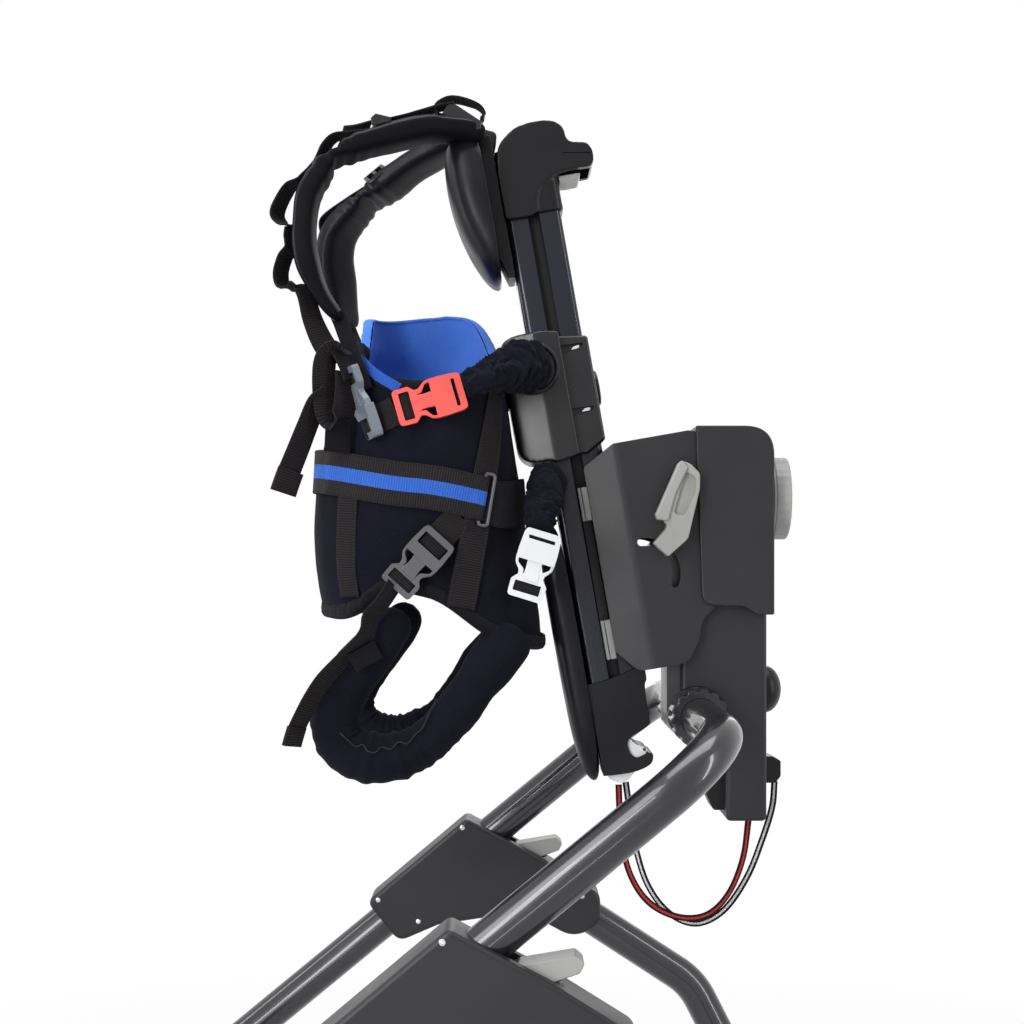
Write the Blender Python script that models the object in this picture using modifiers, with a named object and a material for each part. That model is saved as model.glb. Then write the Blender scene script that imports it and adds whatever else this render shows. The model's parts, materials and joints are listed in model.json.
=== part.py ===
"""Child's gait trainer: two tube side frames on casters, a folding column, a tilting mast and a harness.

Metres, +Z up. The origin is on the floor under the middle of the machine. The user faces -X, so +X is the
rear, and the user's left side is at -Y. Pieces on the mast are drawn in the mast's own axes: v to the rear,
u up along the mast, from the tilt pivot.
"""

import math

import bmesh
import bpy
from mathutils import Matrix, Vector

# Clearances and fineness
GAP = 0.0003
RUNNING_GAP = 0.0005
MERGE = 0.00002
ROUND_STEPS = 20
TUBE_SIDE_LEVEL = 4
SHARP_ANGLE = math.radians(35)
FACET_TURN = math.radians(7)

# Side frames
FRAME_Y = 0.270
TUBE_RADIUS = 0.0175
TUBE_WALL = 0.002
HUB_X = 0.183
HUB_Z = 0.632
MAIN_BEND = 0.070
MAIN_SLOPE = math.radians(39.4)
FRONT_SOCKET_X = -0.344
SOCKET_RADIUS = 0.021
SOCKET_LOW = 0.166
SOCKET_HIGH = 0.226
LEG_PIVOT_X = 0.084
LEG_PIVOT_Z = 0.402
LEG_TOP_SLOPE = math.radians(33)
LEG_LOW_SLOPE = math.radians(63)
LEG_BEND = 0.075
REAR_SOCKET_X = 0.274
LEG_SLEEVE_RADIUS = 0.0195
LEG_SLEEVE_HALF = 0.0183
LEG_PIN_RADIUS = 0.006
VENT_RADIUS = 0.0025
LEG_FOLD = math.radians(65)

# Housings on the side frames
HOUSING_HALF = 0.027
HOUSING_BEVEL = 0.004
LEVER_HALF = 0.013
LEVER_EYE_X = 0.012
LEVER_EYE_Z = 0.452
LEVER_EYE_RADIUS = 0.007
LEVER_PIN_RADIUS = 0.0025

# Casters
WHEEL_RADIUS = 0.075
TYRE_WIDTH = 0.030
TYRE_DEPTH = 0.017
RIM_WIDTH = 0.026
CASTER_TRAIL = 0.035
AXLE_RADIUS = 0.006
STEM_RADIUS = 0.006
STEM_LENGTH = 0.048
FORK_WALL = 0.004
FORK_SIDE_GAP = 0.003
CROWN_THICKNESS = 0.011
CROWN_TO_TYRE = 0.0047
FORK_BOSS_RADIUS = 0.013
AXLE_Z = SOCKET_LOW - GAP - CROWN_THICKNESS - CROWN_TO_TYRE - WHEEL_RADIUS

# Hub between the frames and the column
COLLAR_RADIUS = 0.026
COLLAR_RIB = 0.0022
COLLAR_RIBS = 14
COLLAR_LENGTH = 0.030
COLLAR_SEAT = 0.012
AXLE_HUB_RADIUS = 0.010
AXLE_HUB_HALF = 0.072

# Column
COLUMN_HALF = 0.038
COLUMN_FRONT_X = 0.169
COLUMN_UPPER_FRONT_X = 0.191
COLUMN_FOOT_FRONT_X = 0.209
COLUMN_REAR_X = 0.245
COLUMN_TOP_Z = 0.884
COLUMN_FOOT_Z = 0.538
POST_FRONT_X = 0.157
POST_TOP_Z = 0.800
POST_HALF = 0.030
HEAD_WALL = 0.004
HEAD_FRONT_X = 0.180
HEAD_LOW_Z = 0.722
TENSION_KNOB_Z = 0.826
TENSION_KNOB_RADIUS = 0.038
TENSION_KNOB_RIBS = 16
TENSION_KNOB_DEPTH = 0.016
DOME_KNOB_Z = 0.653
DOME_KNOB_RADIUS = 0.0215
DOME_KNOB_DEPTH = 0.018
CLIP_LOW_Z = 0.569
CLIP_HEIGHT = 0.024
CLIP_DEPTH = 0.016
CLIP_HALF = 0.013

# Tilt pivot, clamp and carrier
PIVOT_X = 0.136
PIVOT_Z = 0.758
LEAN = math.radians(10)
PIVOT_PIN_RADIUS = 0.005
ARM_EYE_RADIUS = 0.014
SLOT_RADIUS = 0.028
SLOT_HALF = 0.0034
SLOT_FROM = math.radians(-18)
SLOT_TO = math.radians(97)
BOLT_ANGLE = math.radians(52)
BOLT_RADIUS = 0.003
BOLT_EYE_RADIUS = 0.009
CARRIER_HALF = 0.048
CARRIER_WALL = 0.004
CARRIER_FRONT_V = -0.037
CARRIER_CREASE_V = -0.007
CARRIER_FRONT_INSET = 0.008
CARRIER_TOP_U = 0.118
CARRIER_LOW_U = -0.084
CARRIER_REAR_V = 0.095
RAIL_LOW_U = -0.070
RAIL_TOP_U = 0.085
LOW_SHOE_LENGTH = 0.035
TOP_SHOE_LENGTH = 0.030
HEAD_TO_CARRIER = 0.002
HEAD_INNER_HALF = CARRIER_HALF + HEAD_TO_CARRIER
TILT_LEVER_OFFSET = CARRIER_HALF + RUNNING_GAP
TILT_LEVER_ROOT = 0.008
TILT_LEVER_BODY = 0.013

# Mast
MAST_FRONT_V = -0.066
MAST_REAR_V = -0.016
MAST_HALF = 0.023
MAST_LOW_U = -0.132
MAST_TOP_U = 0.395
T_SLOT_V = -0.041
T_SLOT_HALF = 0.0065
T_SLOT_UNDER_HALF = 0.011
T_SLOT_LIP = 0.003
T_SLOT_DEPTH = 0.008
CORE_HALF_V = 0.009
CORE_HALF_Y = 0.011
MAST_CORNER = 0.004
CAP_HALF = 0.030
CAP_REACH = 0.083
GRIP_LEVER_HALF = 0.020
FOOT_CAP_HALF = 0.027
PAD_HALF = 0.032
BACK_PAD_HALF = 0.062

# Chest bracket
BRACKET_LOW_U = 0.112
BRACKET_TOP_U = 0.226
BRACKET_HALF = 0.042
BRACKET_REAR_HALF = 0.0335
BRACKET_REAR_V = -0.0125
BRACKET_KNOB_U = 0.173
BRACKET_KNOB_RADIUS = 0.016
BRACKET_KNOB_DEPTH = 0.004

# Harness
VEST_HALF_WIDTH = 0.100
VEST_LOW_Z = 0.700
VEST_TOP_Z = 0.966
VEST_WALL = 0.008
VEST_COLUMNS = 28
VEST_ROWS = 6
STRAP_WIDTH = 0.044
STRAP_THICKNESS = 0.017
LOOP_Y = 0.088
LOOP_RADIUS = 0.025
SLEEVE_RADIUS = 0.019
BUCKLE_LENGTH = 0.060
BUCKLE_WIDTH = 0.034
BUCKLE_THICKNESS = 0.010

# Cords
CORD_WIDTH = 0.006

LEFT = -1
RIGHT = 1
SIDE_NAMES = {LEFT: "left", RIGHT: "right"}

COLOURS = {
    "tube_paint": ((0.075, 0.078, 0.088), 0.22, 0.75),
    "charcoal_plastic": ((0.045, 0.045, 0.048), 0.55, 0.0),
    "black_plastic": ((0.012, 0.012, 0.014), 0.45, 0.0),
    "grey_plastic": ((0.52, 0.53, 0.51), 0.5, 0.0),
    "black_steel": ((0.02, 0.02, 0.022), 0.4, 0.6),
    "steel": ((0.5, 0.5, 0.5), 0.3, 1.0),
    "anodised": ((0.018, 0.019, 0.035), 0.3, 0.7),
    "tyre_rubber": ((0.06, 0.06, 0.062), 0.8, 0.0),
    "vinyl": ((0.012, 0.012, 0.015), 0.28, 0.0),
    "fabric": ((0.008, 0.008, 0.010), 0.9, 0.0),
    "red_plastic": ((0.85, 0.09, 0.08), 0.4, 0.0),
    "white_plastic": ((0.85, 0.85, 0.85), 0.4, 0.0),
    "dark_grey_plastic": ((0.045, 0.05, 0.055), 0.4, 0.0),
    "cord_weave": ((0.10, 0.02, 0.02), 0.85, 0.0),
}


def clear_scene():
    for thing in list(bpy.data.objects):
        bpy.data.objects.remove(thing)


def new_collection(name):
    group = bpy.data.collections.new(name)
    bpy.context.scene.collection.children.link(group)
    return group


clear_scene()
PARTS = new_collection("gait_trainer")
CUTTERS = new_collection("cutters")
GUIDES = new_collection("axes")


def finish_of(slot):
    """The Principled material of a slot, made once."""
    found = bpy.data.materials.get(slot)
    if found:
        return found
    colour, roughness, metallic = COLOURS[slot]
    made = bpy.data.materials.new(slot)
    made.use_nodes = True
    shader = made.node_tree.nodes["Principled BSDF"]
    shader.inputs["Base Color"].default_value = (*colour, 1.0)
    shader.inputs["Roughness"].default_value = roughness
    shader.inputs["Metallic"].default_value = metallic
    return made


def axis_at(name, location, lean=0.0):
    """An empty on a joint's axis, which carries the pieces that move on it."""
    axis = bpy.data.objects.new(name, None)
    axis.location = location
    axis.rotation_euler = (0.0, -lean, 0.0)
    GUIDES.objects.link(axis)
    return axis


WORLD = Matrix.Identity(4)
MAST = Matrix.Translation((PIVOT_X, 0.0, PIVOT_Z)) @ Matrix.Rotation(-LEAN, 4, "Y")
MAST_HEAD = MAST @ Matrix.Translation((0.0, 0.0, MAST_TOP_U))
MAST_FOOT = MAST @ Matrix.Translation((0.0, 0.0, MAST_LOW_U))


def carry(thing, axis):
    """Hangs a piece on its axis and leaves it where it is."""
    bpy.context.view_layer.update()
    thing.parent = axis
    thing.matrix_parent_inverse = axis.matrix_world.inverted()


def as_part(mesh, name, slot, frame=WORLD):
    part = bpy.data.objects.new(name, mesh)
    part.matrix_world = frame
    part.data.materials.clear()
    part.data.materials.append(finish_of(slot))
    PARTS.objects.link(part)
    return part


def as_cutter(mesh, name, frame=WORLD):
    cutter = bpy.data.objects.new(name, mesh)
    cutter.matrix_world = frame
    cutter.hide_render = True
    cutter.display_type = "WIRE"
    CUTTERS.objects.link(cutter)
    return cutter


def smooth(part, angle=SHARP_ANGLE):
    part.data.shade_smooth()
    part.data.set_sharp_from_angle(angle=angle)


def evaluated_mesh(thing, name):
    """A welded mesh of a curve, whose caps are loose until then."""
    bpy.context.view_layer.update()
    graph = bpy.context.evaluated_depsgraph_get()
    mesh = bpy.data.meshes.new_from_object(thing.evaluated_get(graph))
    mesh.name = name
    shape = bmesh.new()
    shape.from_mesh(mesh)
    bmesh.ops.remove_doubles(shape, verts=shape.verts, dist=MERGE)
    bmesh.ops.recalc_face_normals(shape, faces=shape.faces)
    shape.to_mesh(mesh)
    shape.free()
    return mesh


def bevelled(part, width, segments=1, angle=SHARP_ANGLE):
    bevel = part.modifiers.new("edges", "BEVEL")
    bevel.width = width
    bevel.segments = segments
    bevel.limit_method = "ANGLE"
    bevel.angle_limit = angle
    bevel.use_clamp_overlap = True
    return part


def shaped(part, tool, operation):
    step = part.modifiers.new(tool.name, "BOOLEAN")
    step.operation = operation
    step.object = tool
    step.solver = "EXACT"
    return part


def cut(part, *tools):
    for tool in tools:
        shaped(part, tool, "DIFFERENCE")
    return part


def joined(part, *tools):
    for tool in tools:
        shaped(part, tool, "UNION")
    return part


def arc(centre, radius, start, end, steps):
    """Points on an arc from the start angle to the end angle, both included."""
    turns = [start + (end - start) * index / steps for index in range(steps + 1)]
    return [(centre[0] + radius * math.cos(a), centre[1] + radius * math.sin(a)) for a in turns]


def rounded(corners, steps=2):
    """An outline from corners (x, z, radius), each corner turned into an arc."""
    outline = []
    count = len(corners)
    for index, (x, z, radius) in enumerate(corners):
        here = Vector((x, z))
        before = Vector(corners[index - 1][:2]) - here
        after = Vector(corners[(index + 1) % count][:2]) - here
        if radius <= 0.0:
            outline.append((x, z))
            continue
        half = before.angle(after) / 2.0
        reach = min(radius / math.tan(half), 0.49 * before.length, 0.49 * after.length)
        start = here + before.normalized() * reach
        end = here + after.normalized() * reach
        for step in range(steps + 1):
            t = step / steps
            point = start * (1 - t) ** 2 + here * 2 * t * (1 - t) + end * t ** 2
            outline.append((point.x, point.y))
    return outline


def outline_curve(name, outlines, thickness):
    """A flat filled outline, the first one with any others as holes, given a thickness."""
    curve = bpy.data.curves.new(name, "CURVE")
    curve.dimensions = "2D"
    curve.fill_mode = "BOTH"
    curve.extrude = thickness / 2.0
    for outline in outlines:
        spline = curve.splines.new("POLY")
        spline.points.add(len(outline) - 1)
        for point, (x, y) in zip(spline.points, outline):
            point.co = (x, y, 0.0, 1.0)
        spline.use_cyclic_u = True
    return curve


def outline_mesh(name, outlines, thickness, frame):
    """The welded mesh of an extruded outline, with its points moved into the piece's frame."""
    curve = outline_curve(name + "_outline", outlines, thickness)
    thing = bpy.data.objects.new(name + "_outline", curve)
    CUTTERS.objects.link(thing)
    mesh = evaluated_mesh(thing, name)
    bpy.data.objects.remove(thing)
    mesh.transform(frame)
    return mesh


def side_mesh(name, outline, near_y, far_y, holes=()):
    """A side view outline in x and z, as thick as the stretch from near_y to far_y."""
    turn = Matrix.Translation((0.0, (near_y + far_y) / 2.0, 0.0)) @ Matrix.Rotation(math.pi / 2, 4, "X")
    return outline_mesh(name, [outline, *holes], abs(far_y - near_y), turn)


def side_part(name, outline, near_y, far_y, slot, frame=WORLD, holes=()):
    return as_part(side_mesh(name, outline, near_y, far_y, holes), name, slot, frame)


def side_cutter(name, outline, near_y, far_y, frame=WORLD):
    return as_cutter(side_mesh(name, outline, near_y, far_y), name, frame)


def bar_mesh(name, outlines, low, high):
    """A section in x and y, drawn along z from low to high."""
    return outline_mesh(name, outlines, high - low, Matrix.Translation((0.0, 0.0, (low + high) / 2.0)))


def box_mesh(name, low, high):
    shape = bmesh.new()
    bmesh.ops.create_cube(shape, size=1.0)
    size = [b - a for a, b in zip(low, high)]
    middle = [(a + b) / 2.0 for a, b in zip(low, high)]
    bmesh.ops.transform(shape, matrix=Matrix.Diagonal((*size, 1.0)), verts=shape.verts)
    bmesh.ops.transform(shape, matrix=Matrix.Translation(middle), verts=shape.verts)
    mesh = bpy.data.meshes.new(name)
    shape.to_mesh(mesh)
    shape.free()
    return mesh


def rod_mesh(name, start, end, radius, steps=ROUND_STEPS, twist=0.0):
    """A round bar from one point to another, its facets turned by twist."""
    shape = bmesh.new()
    start = Vector(start)
    along = Vector(end) - start
    bmesh.ops.create_cone(shape, cap_ends=True, segments=steps, radius1=radius, radius2=radius,
                          depth=along.length)
    turn = along.to_track_quat("Z", "Y").to_matrix().to_4x4() @ Matrix.Rotation(twist, 4, "Z")
    bmesh.ops.transform(shape, matrix=Matrix.Translation(start + along / 2.0) @ turn, verts=shape.verts)
    mesh = bpy.data.meshes.new(name)
    shape.to_mesh(mesh)
    shape.free()
    return mesh


def turned_part(name, profile, slot, frame, steps=ROUND_STEPS):
    """A turned piece: a profile of (radius, height) runs down its outer side and is spun round Z."""
    mesh = bpy.data.meshes.new(name)
    points = [(radius, 0.0, height) for radius, height in profile]
    edges = [(index, index + 1) for index in range(len(points) - 1)]
    mesh.from_pydata(points, edges, [])
    part = as_part(mesh, name, slot, frame)
    spin = part.modifiers.new("turn", "SCREW")
    spin.axis = "Z"
    spin.steps = steps
    spin.render_steps = steps
    spin.use_merge_vertices = True
    spin.merge_threshold = MERGE
    spin.use_normal_calculate = False
    return part


def ring_profile(points):
    """A closed profile for a ring: the first point is repeated at the end."""
    return [*points, points[0]]


def bend_path(corners, radii, steps=5):
    """A centre line through corners, with a round bend at each inner one."""
    points = [Vector(corners[0])]
    for index in range(1, len(corners) - 1):
        here = Vector(corners[index])
        before = (Vector(corners[index - 1]) - here).normalized()
        after = (Vector(corners[index + 1]) - here).normalized()
        half = before.angle(after) / 2.0
        radius = radii[index - 1]
        middle = here + (before + after).normalized() * (radius / math.sin(half))
        start = here + before * (radius / math.tan(half)) - middle
        end = here + after * (radius / math.tan(half)) - middle
        turn = start.rotation_difference(end)
        for step in range(steps + 1):
            part_turn = turn.copy()
            part_turn.angle = turn.angle * step / steps
            points.append(middle + part_turn @ start)
    points.append(Vector(corners[-1]))
    return points


def tube_mesh(name, points, radius, level, radii=None, capped=True):
    """A round tube along a path; radii scale the radius at each point."""
    curve = bpy.data.curves.new(name, "CURVE")
    curve.dimensions = "3D"
    curve.bevel_depth = radius
    curve.bevel_resolution = level
    curve.use_fill_caps = capped
    spline = curve.splines.new("POLY")
    spline.points.add(len(points) - 1)
    for index, point in enumerate(points):
        spline.points[index].co = (*point, 1.0)
        if radii:
            spline.points[index].radius = radii[index]
    thing = bpy.data.objects.new(name, curve)
    CUTTERS.objects.link(thing)
    mesh = evaluated_mesh(thing, name)
    bpy.data.objects.remove(thing)
    return mesh


def hollow_tube(name, points, slot):
    """A thin walled frame tube, open at its ends."""
    part = as_part(tube_mesh(name, points, TUBE_RADIUS, TUBE_SIDE_LEVEL, capped=False), name, slot)
    wall = part.modifiers.new("wall", "SOLIDIFY")
    wall.thickness = TUBE_WALL
    wall.offset = -1.0
    return part


def smooth_path(knots, count):
    """A Catmull-Rom curve through the knots, with evenly spaced points."""
    knots = [Vector(knot) for knot in knots]
    ends = [knots[0] * 2 - knots[1], *knots, knots[-1] * 2 - knots[-2]]
    fine = []
    for index in range(len(knots) - 1):
        a, b, c, d = ends[index:index + 4]
        for step in range(20):
            t = step / 20.0
            fine.append(0.5 * (2 * b + (c - a) * t + (2 * a - 5 * b + 4 * c - d) * t * t
                               + (3 * b - a - 3 * c + d) * t ** 3))
    fine.append(knots[-1])
    travelled = [0.0]
    for before, after in zip(fine, fine[1:]):
        travelled.append(travelled[-1] + (after - before).length)
    points = []
    place = 0
    for index in range(count):
        wanted = travelled[-1] * index / (count - 1)
        while place < len(fine) - 2 and travelled[place + 1] < wanted:
            place += 1
        span = travelled[place + 1] - travelled[place]
        points.append(fine[place].lerp(fine[place + 1], (wanted - travelled[place]) / span))
    return points


def pad_along(name, points, widths, thicknesses, slot, across=Vector((0.0, 1.0, 0.0)), sides=10):
    """A soft pad swept along a path: oval sections, wide across and thin along the path's normal."""
    shape = bmesh.new()
    rings = []
    last = len(points) - 1
    for index, point in enumerate(points):
        along = (points[min(index + 1, last)] - points[max(index - 1, 0)]).normalized()
        normal = along.cross(across).normalized()
        wide = normal.cross(along).normalized()
        ring = []
        for side in range(sides):
            angle = 2 * math.pi * side / sides
            flat = math.copysign(abs(math.cos(angle)) ** 0.6, math.cos(angle))
            tall = math.copysign(abs(math.sin(angle)) ** 0.8, math.sin(angle))
            offset = wide * (flat * widths[index] / 2) + normal * (tall * thicknesses[index] / 2)
            ring.append(shape.verts.new(point + offset))
        rings.append(ring)
    for ring, following in zip(rings, rings[1:]):
        for side in range(sides):
            other = (side + 1) % sides
            shape.faces.new((ring[side], ring[other], following[other], following[side]))
    shape.faces.new(list(reversed(rings[0])))
    shape.faces.new(rings[-1])
    bmesh.ops.recalc_face_normals(shape, faces=shape.faces)
    mesh = bpy.data.meshes.new(name)
    shape.to_mesh(mesh)
    shape.free()
    part = as_part(mesh, name, slot)
    smooth(part, math.radians(60))
    return part


def main_tube(side):
    """One bent tube from the hub to the front caster socket, which is welded to its end."""
    name = "main_tube_" + SIDE_NAMES[side]
    y = side * FRAME_Y
    drop = (HUB_X - FRONT_SOCKET_X) * math.tan(MAIN_SLOPE)
    start_y = side * (COLUMN_HALF + GAP + COLLAR_SEAT + GAP)
    corners = [(HUB_X, start_y, HUB_Z), (HUB_X, y, HUB_Z), (FRONT_SOCKET_X, y, HUB_Z - drop)]
    tube = hollow_tube(name, bend_path(corners, [MAIN_BEND], steps=7), "tube_paint")
    joined(tube, socket_body(name, FRONT_SOCKET_X, y))
    cut(tube, stem_bore(name, FRONT_SOCKET_X, y))
    smooth(tube)
    return tube


def socket_body(name, x, y):
    """The caster socket, its facets turned off the tube's own plane."""
    body = rod_mesh(name + "_socket", (x, y, SOCKET_LOW), (x, y, SOCKET_HIGH), SOCKET_RADIUS,
                    twist=FACET_TURN)
    return as_cutter(body, name + "_socket")


def stem_bore(name, x, y):
    top = SOCKET_LOW + STEM_LENGTH + RUNNING_GAP
    low = SOCKET_LOW - STEM_LENGTH
    return as_cutter(rod_mesh(name + "_bore", (x, y, low), (x, y, top), STEM_RADIUS + GAP, 16),
                     name + "_bore")


def leg_corners(y):
    """The rear leg's centre line: from its pivot, down to the rear, then steeper to its socket."""
    top = Vector((LEG_PIVOT_X, LEG_PIVOT_Z))
    socket_z = (SOCKET_LOW + SOCKET_HIGH) / 2.0
    run = REAR_SOCKET_X - LEG_PIVOT_X
    fall = LEG_PIVOT_Z - socket_z
    steep = math.tan(LEG_LOW_SLOPE)
    shallow = math.tan(LEG_TOP_SLOPE)
    first = (steep * run - fall) / (steep - shallow)
    knee = top + Vector((first, -first * shallow))
    return [(top.x, y, top.y), (knee.x, y, knee.y), (REAR_SOCKET_X, y, socket_z)]


def rear_leg(side, axis):
    """The folding rear leg: a bent tube with a pivot sleeve at its top and a caster socket at its foot."""
    name = "rear_leg_" + SIDE_NAMES[side]
    y = side * FRAME_Y
    leg = hollow_tube(name, bend_path(leg_corners(y), [LEG_BEND], steps=5), "tube_paint")
    sleeve = rod_mesh(name + "_sleeve", (LEG_PIVOT_X, y - LEG_SLEEVE_HALF, LEG_PIVOT_Z),
                      (LEG_PIVOT_X, y + LEG_SLEEVE_HALF, LEG_PIVOT_Z), LEG_SLEEVE_RADIUS,
                      twist=FACET_TURN)
    joined(leg, as_cutter(sleeve, name + "_sleeve"), socket_body(name, REAR_SOCKET_X, y))
    bore = rod_mesh(name + "_pin_bore", (LEG_PIVOT_X, y - 2 * TUBE_RADIUS, LEG_PIVOT_Z),
                    (LEG_PIVOT_X, y + 2 * TUBE_RADIUS, LEG_PIVOT_Z), LEG_PIN_RADIUS + GAP, 16)
    knee, foot = (Vector(corner) for corner in leg_corners(y)[1:])
    weep = knee.lerp(foot, 0.55)
    vent = rod_mesh(name + "_vent", weep, weep - Vector((0.003, side * 2 * TUBE_RADIUS, 0.0)), VENT_RADIUS, 8)
    cut(leg, as_cutter(bore, name + "_pin_bore"), stem_bore(name, REAR_SOCKET_X, y),
        as_cutter(vent, name + "_vent"))
    smooth(leg)
    carry(leg, axis)
    return leg


def housing_outline():
    """Side view of the moulded housing round the main tube, with an arch over the folded leg."""
    return rounded([
        (-0.029, 0.498, 0.008), (-0.134, 0.410, 0.010), (-0.100, 0.368, 0.014), (-0.058, 0.386, 0.020),
        (-0.004, 0.394, 0.020), (0.054, 0.388, 0.014), (0.084, 0.372, 0.030), (0.113, 0.386, 0.024),
        (0.112, 0.418, 0.014), (0.054, 0.454, 0.010), (0.020, 0.472, 0.010),
    ])


def leg_pocket(name, near_y, far_y):
    """The space that the leg's top sweeps as it folds."""
    reach = 0.075
    radius = LEG_SLEEVE_RADIUS + RUNNING_GAP
    first = -LEG_TOP_SLOPE
    last = first - LEG_FOLD
    pivot = Vector((LEG_PIVOT_X, LEG_PIVOT_Z))

    def on_side(angle, offset):
        along = Vector((math.cos(angle), math.sin(angle)))
        across = Vector((math.cos(angle + offset), math.sin(angle + offset)))
        return tuple(pivot + along * reach + across * radius)

    middle = (first + last) / 2.0
    outline = arc(pivot, radius, first + math.pi / 2, last + 1.5 * math.pi, 8)
    outline.append(on_side(last, -math.pi / 2))
    outline.append(tuple(pivot + Vector((math.cos(middle), math.sin(middle))) * reach * 1.3))
    outline.append(on_side(first, math.pi / 2))
    return side_cutter(name + "_leg_pocket", outline, near_y, far_y)


def lever_pocket(name, near_y, far_y):
    """The notch that the fold lever sits in, open at the housing's rear edge."""
    outline = [
        (0.002, 0.442), (0.028, 0.4425), (0.052, 0.4515), (0.090, 0.455),
        (0.090, 0.500), (0.022, 0.487), (0.002, 0.466),
    ]
    return side_cutter(name + "_lever_pocket", outline, near_y, far_y)


def tube_channel(name, y):
    """The round channel that the main tube runs through."""
    along = Vector((math.cos(MAIN_SLOPE), 0.0, math.sin(MAIN_SLOPE)))
    middle = Vector((-0.060, y, HUB_Z - (HUB_X + 0.060) * math.tan(MAIN_SLOPE)))
    return as_cutter(rod_mesh(name + "_channel", middle - along * 0.18, middle + along * 0.18,
                              TUBE_RADIUS + GAP, 20), name + "_channel")


def housing_shell(side, outer):
    """One moulded half; the outer one carries the leg's pivot pin and the lever's pin."""
    name = "housing_" + ("outer_" if outer else "inner_") + SIDE_NAMES[side]
    away = side if outer else -side
    middle = side * FRAME_Y
    seam = middle + away * GAP / 2
    face = middle + away * HOUSING_HALF
    shell = side_part(name, housing_outline(), seam, face, "charcoal_plastic")
    keep_seam_sharp(shell, seam)
    pocket_y = middle + away * (LEG_SLEEVE_HALF + RUNNING_GAP)
    lever_y = middle + away * (LEVER_HALF + RUNNING_GAP)
    cut(shell, tube_channel(name, middle), leg_pocket(name, middle, pocket_y),
        lever_pocket(name, middle, lever_y))
    pins = (("leg_pin", LEG_PIVOT_X, LEG_PIVOT_Z, LEG_PIN_RADIUS, LEG_SLEEVE_HALF),
            ("lever_pin", LEVER_EYE_X, LEVER_EYE_Z, LEVER_PIN_RADIUS, LEVER_HALF))
    for label, x, z, radius, half in pins:
        root = middle + side * (half + 0.002)
        tip = middle - side * (half + 0.004)
        if outer:
            pin = rod_mesh(name + "_" + label, (x, root, z), (x, tip, z), radius, 16)
            joined(shell, as_cutter(pin, name + "_" + label))
        else:
            bore = rod_mesh(name + "_" + label, (x, middle, z), (x, tip - side * GAP, z), radius + GAP, 16)
            cut(shell, as_cutter(bore, name + "_" + label))
    smooth(shell)
    return shell


def keep_seam_sharp(shell, seam_y):
    """Rounds the housing's outer edge and leaves the seam between the halves crisp."""
    weights = shell.data.attributes.new("bevel_weight_edge", "FLOAT", "EDGE")
    for edge in shell.data.edges:
        ends = [shell.data.vertices[index].co.y for index in edge.vertices]
        on_face = all(abs(y - seam_y) > HOUSING_HALF / 2 for y in ends)
        weights.data[edge.index].value = 1.0 if on_face else 0.0
    bevel = shell.modifiers.new("edges", "BEVEL")
    bevel.width = HOUSING_BEVEL
    bevel.segments = 1
    bevel.limit_method = "WEIGHT"


def fold_lever(side, axis):
    """The paddle that frees the rear leg."""
    name = "fold_lever_" + SIDE_NAMES[side]
    outline = rounded([
        (0.004, 0.447, 0.007), (0.004, 0.459, 0.007), (0.014, 0.463, 0.004), (0.024, 0.469, 0.004),
        (0.066, 0.476, 0.004), (0.073, 0.470, 0.004), (0.069, 0.462, 0.004), (0.047, 0.4545, 0.006),
        (0.028, 0.4465, 0.006), (0.012, 0.4445, 0.004),
    ])
    y = side * FRAME_Y
    lever = side_part(name, outline, y - LEVER_HALF, y + LEVER_HALF, "grey_plastic")
    bore = rod_mesh(name + "_bore", (LEVER_EYE_X, y - 2 * LEVER_HALF, LEVER_EYE_Z),
                    (LEVER_EYE_X, y + 2 * LEVER_HALF, LEVER_EYE_Z), LEVER_PIN_RADIUS + GAP, 16)
    cut(lever, as_cutter(bore, name + "_bore"))
    smooth(lever)
    carry(lever, axis)
    return lever


def caster_fork(name, stem_x, y, axis):
    """The swivelling fork with its stem and its axle."""
    wheel_x = stem_x + CASTER_TRAIL
    crown_top = SOCKET_LOW - GAP
    crown_low = crown_top - CROWN_THICKNESS
    boss = arc((wheel_x, AXLE_Z), FORK_BOSS_RADIUS, -math.pi * 0.95, 0.0, 6)
    outline = [
        *boss, (stem_x + 0.046, AXLE_Z + 0.035), (stem_x + 0.033, crown_low), (stem_x + 0.022, crown_top),
        (stem_x - 0.018, crown_top), (stem_x - 0.021, crown_low + 0.002), (stem_x - 0.006, AXLE_Z + 0.040),
    ]
    inner = TYRE_WIDTH / 2 + FORK_SIDE_GAP
    outer = inner + FORK_WALL
    fork = side_part(name, outline, y - outer, y + outer, "black_steel")
    reach = WHEEL_RADIUS * 2
    slot = box_mesh(name + "_slot", (stem_x - reach, y - inner, -reach),
                    (stem_x + reach, y + inner, crown_low))
    cut(fork, as_cutter(slot, name + "_slot"))
    stem = rod_mesh(name + "_stem", (stem_x, y, crown_low + 0.003), (stem_x, y, SOCKET_LOW + STEM_LENGTH),
                    STEM_RADIUS, 16)
    axle = rod_mesh(name + "_axle", (wheel_x, y - outer - 0.003, AXLE_Z),
                    (wheel_x, y + outer + 0.003, AXLE_Z), AXLE_RADIUS, 16)
    joined(fork, as_cutter(stem, name + "_stem"), as_cutter(axle, name + "_axle"))
    smooth(fork)
    carry(fork, axis)
    return fork


def wheel_frame(wheel_x, y):
    """The wheel's axis along Y, turned so that a flat facet of the tread rests on the floor."""
    half_step = math.pi / ROUND_STEPS
    return (Matrix.Translation((wheel_x, y, AXLE_Z)) @ Matrix.Rotation(-math.pi / 2, 4, "X")
            @ Matrix.Rotation(half_step, 4, "Z"))


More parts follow.
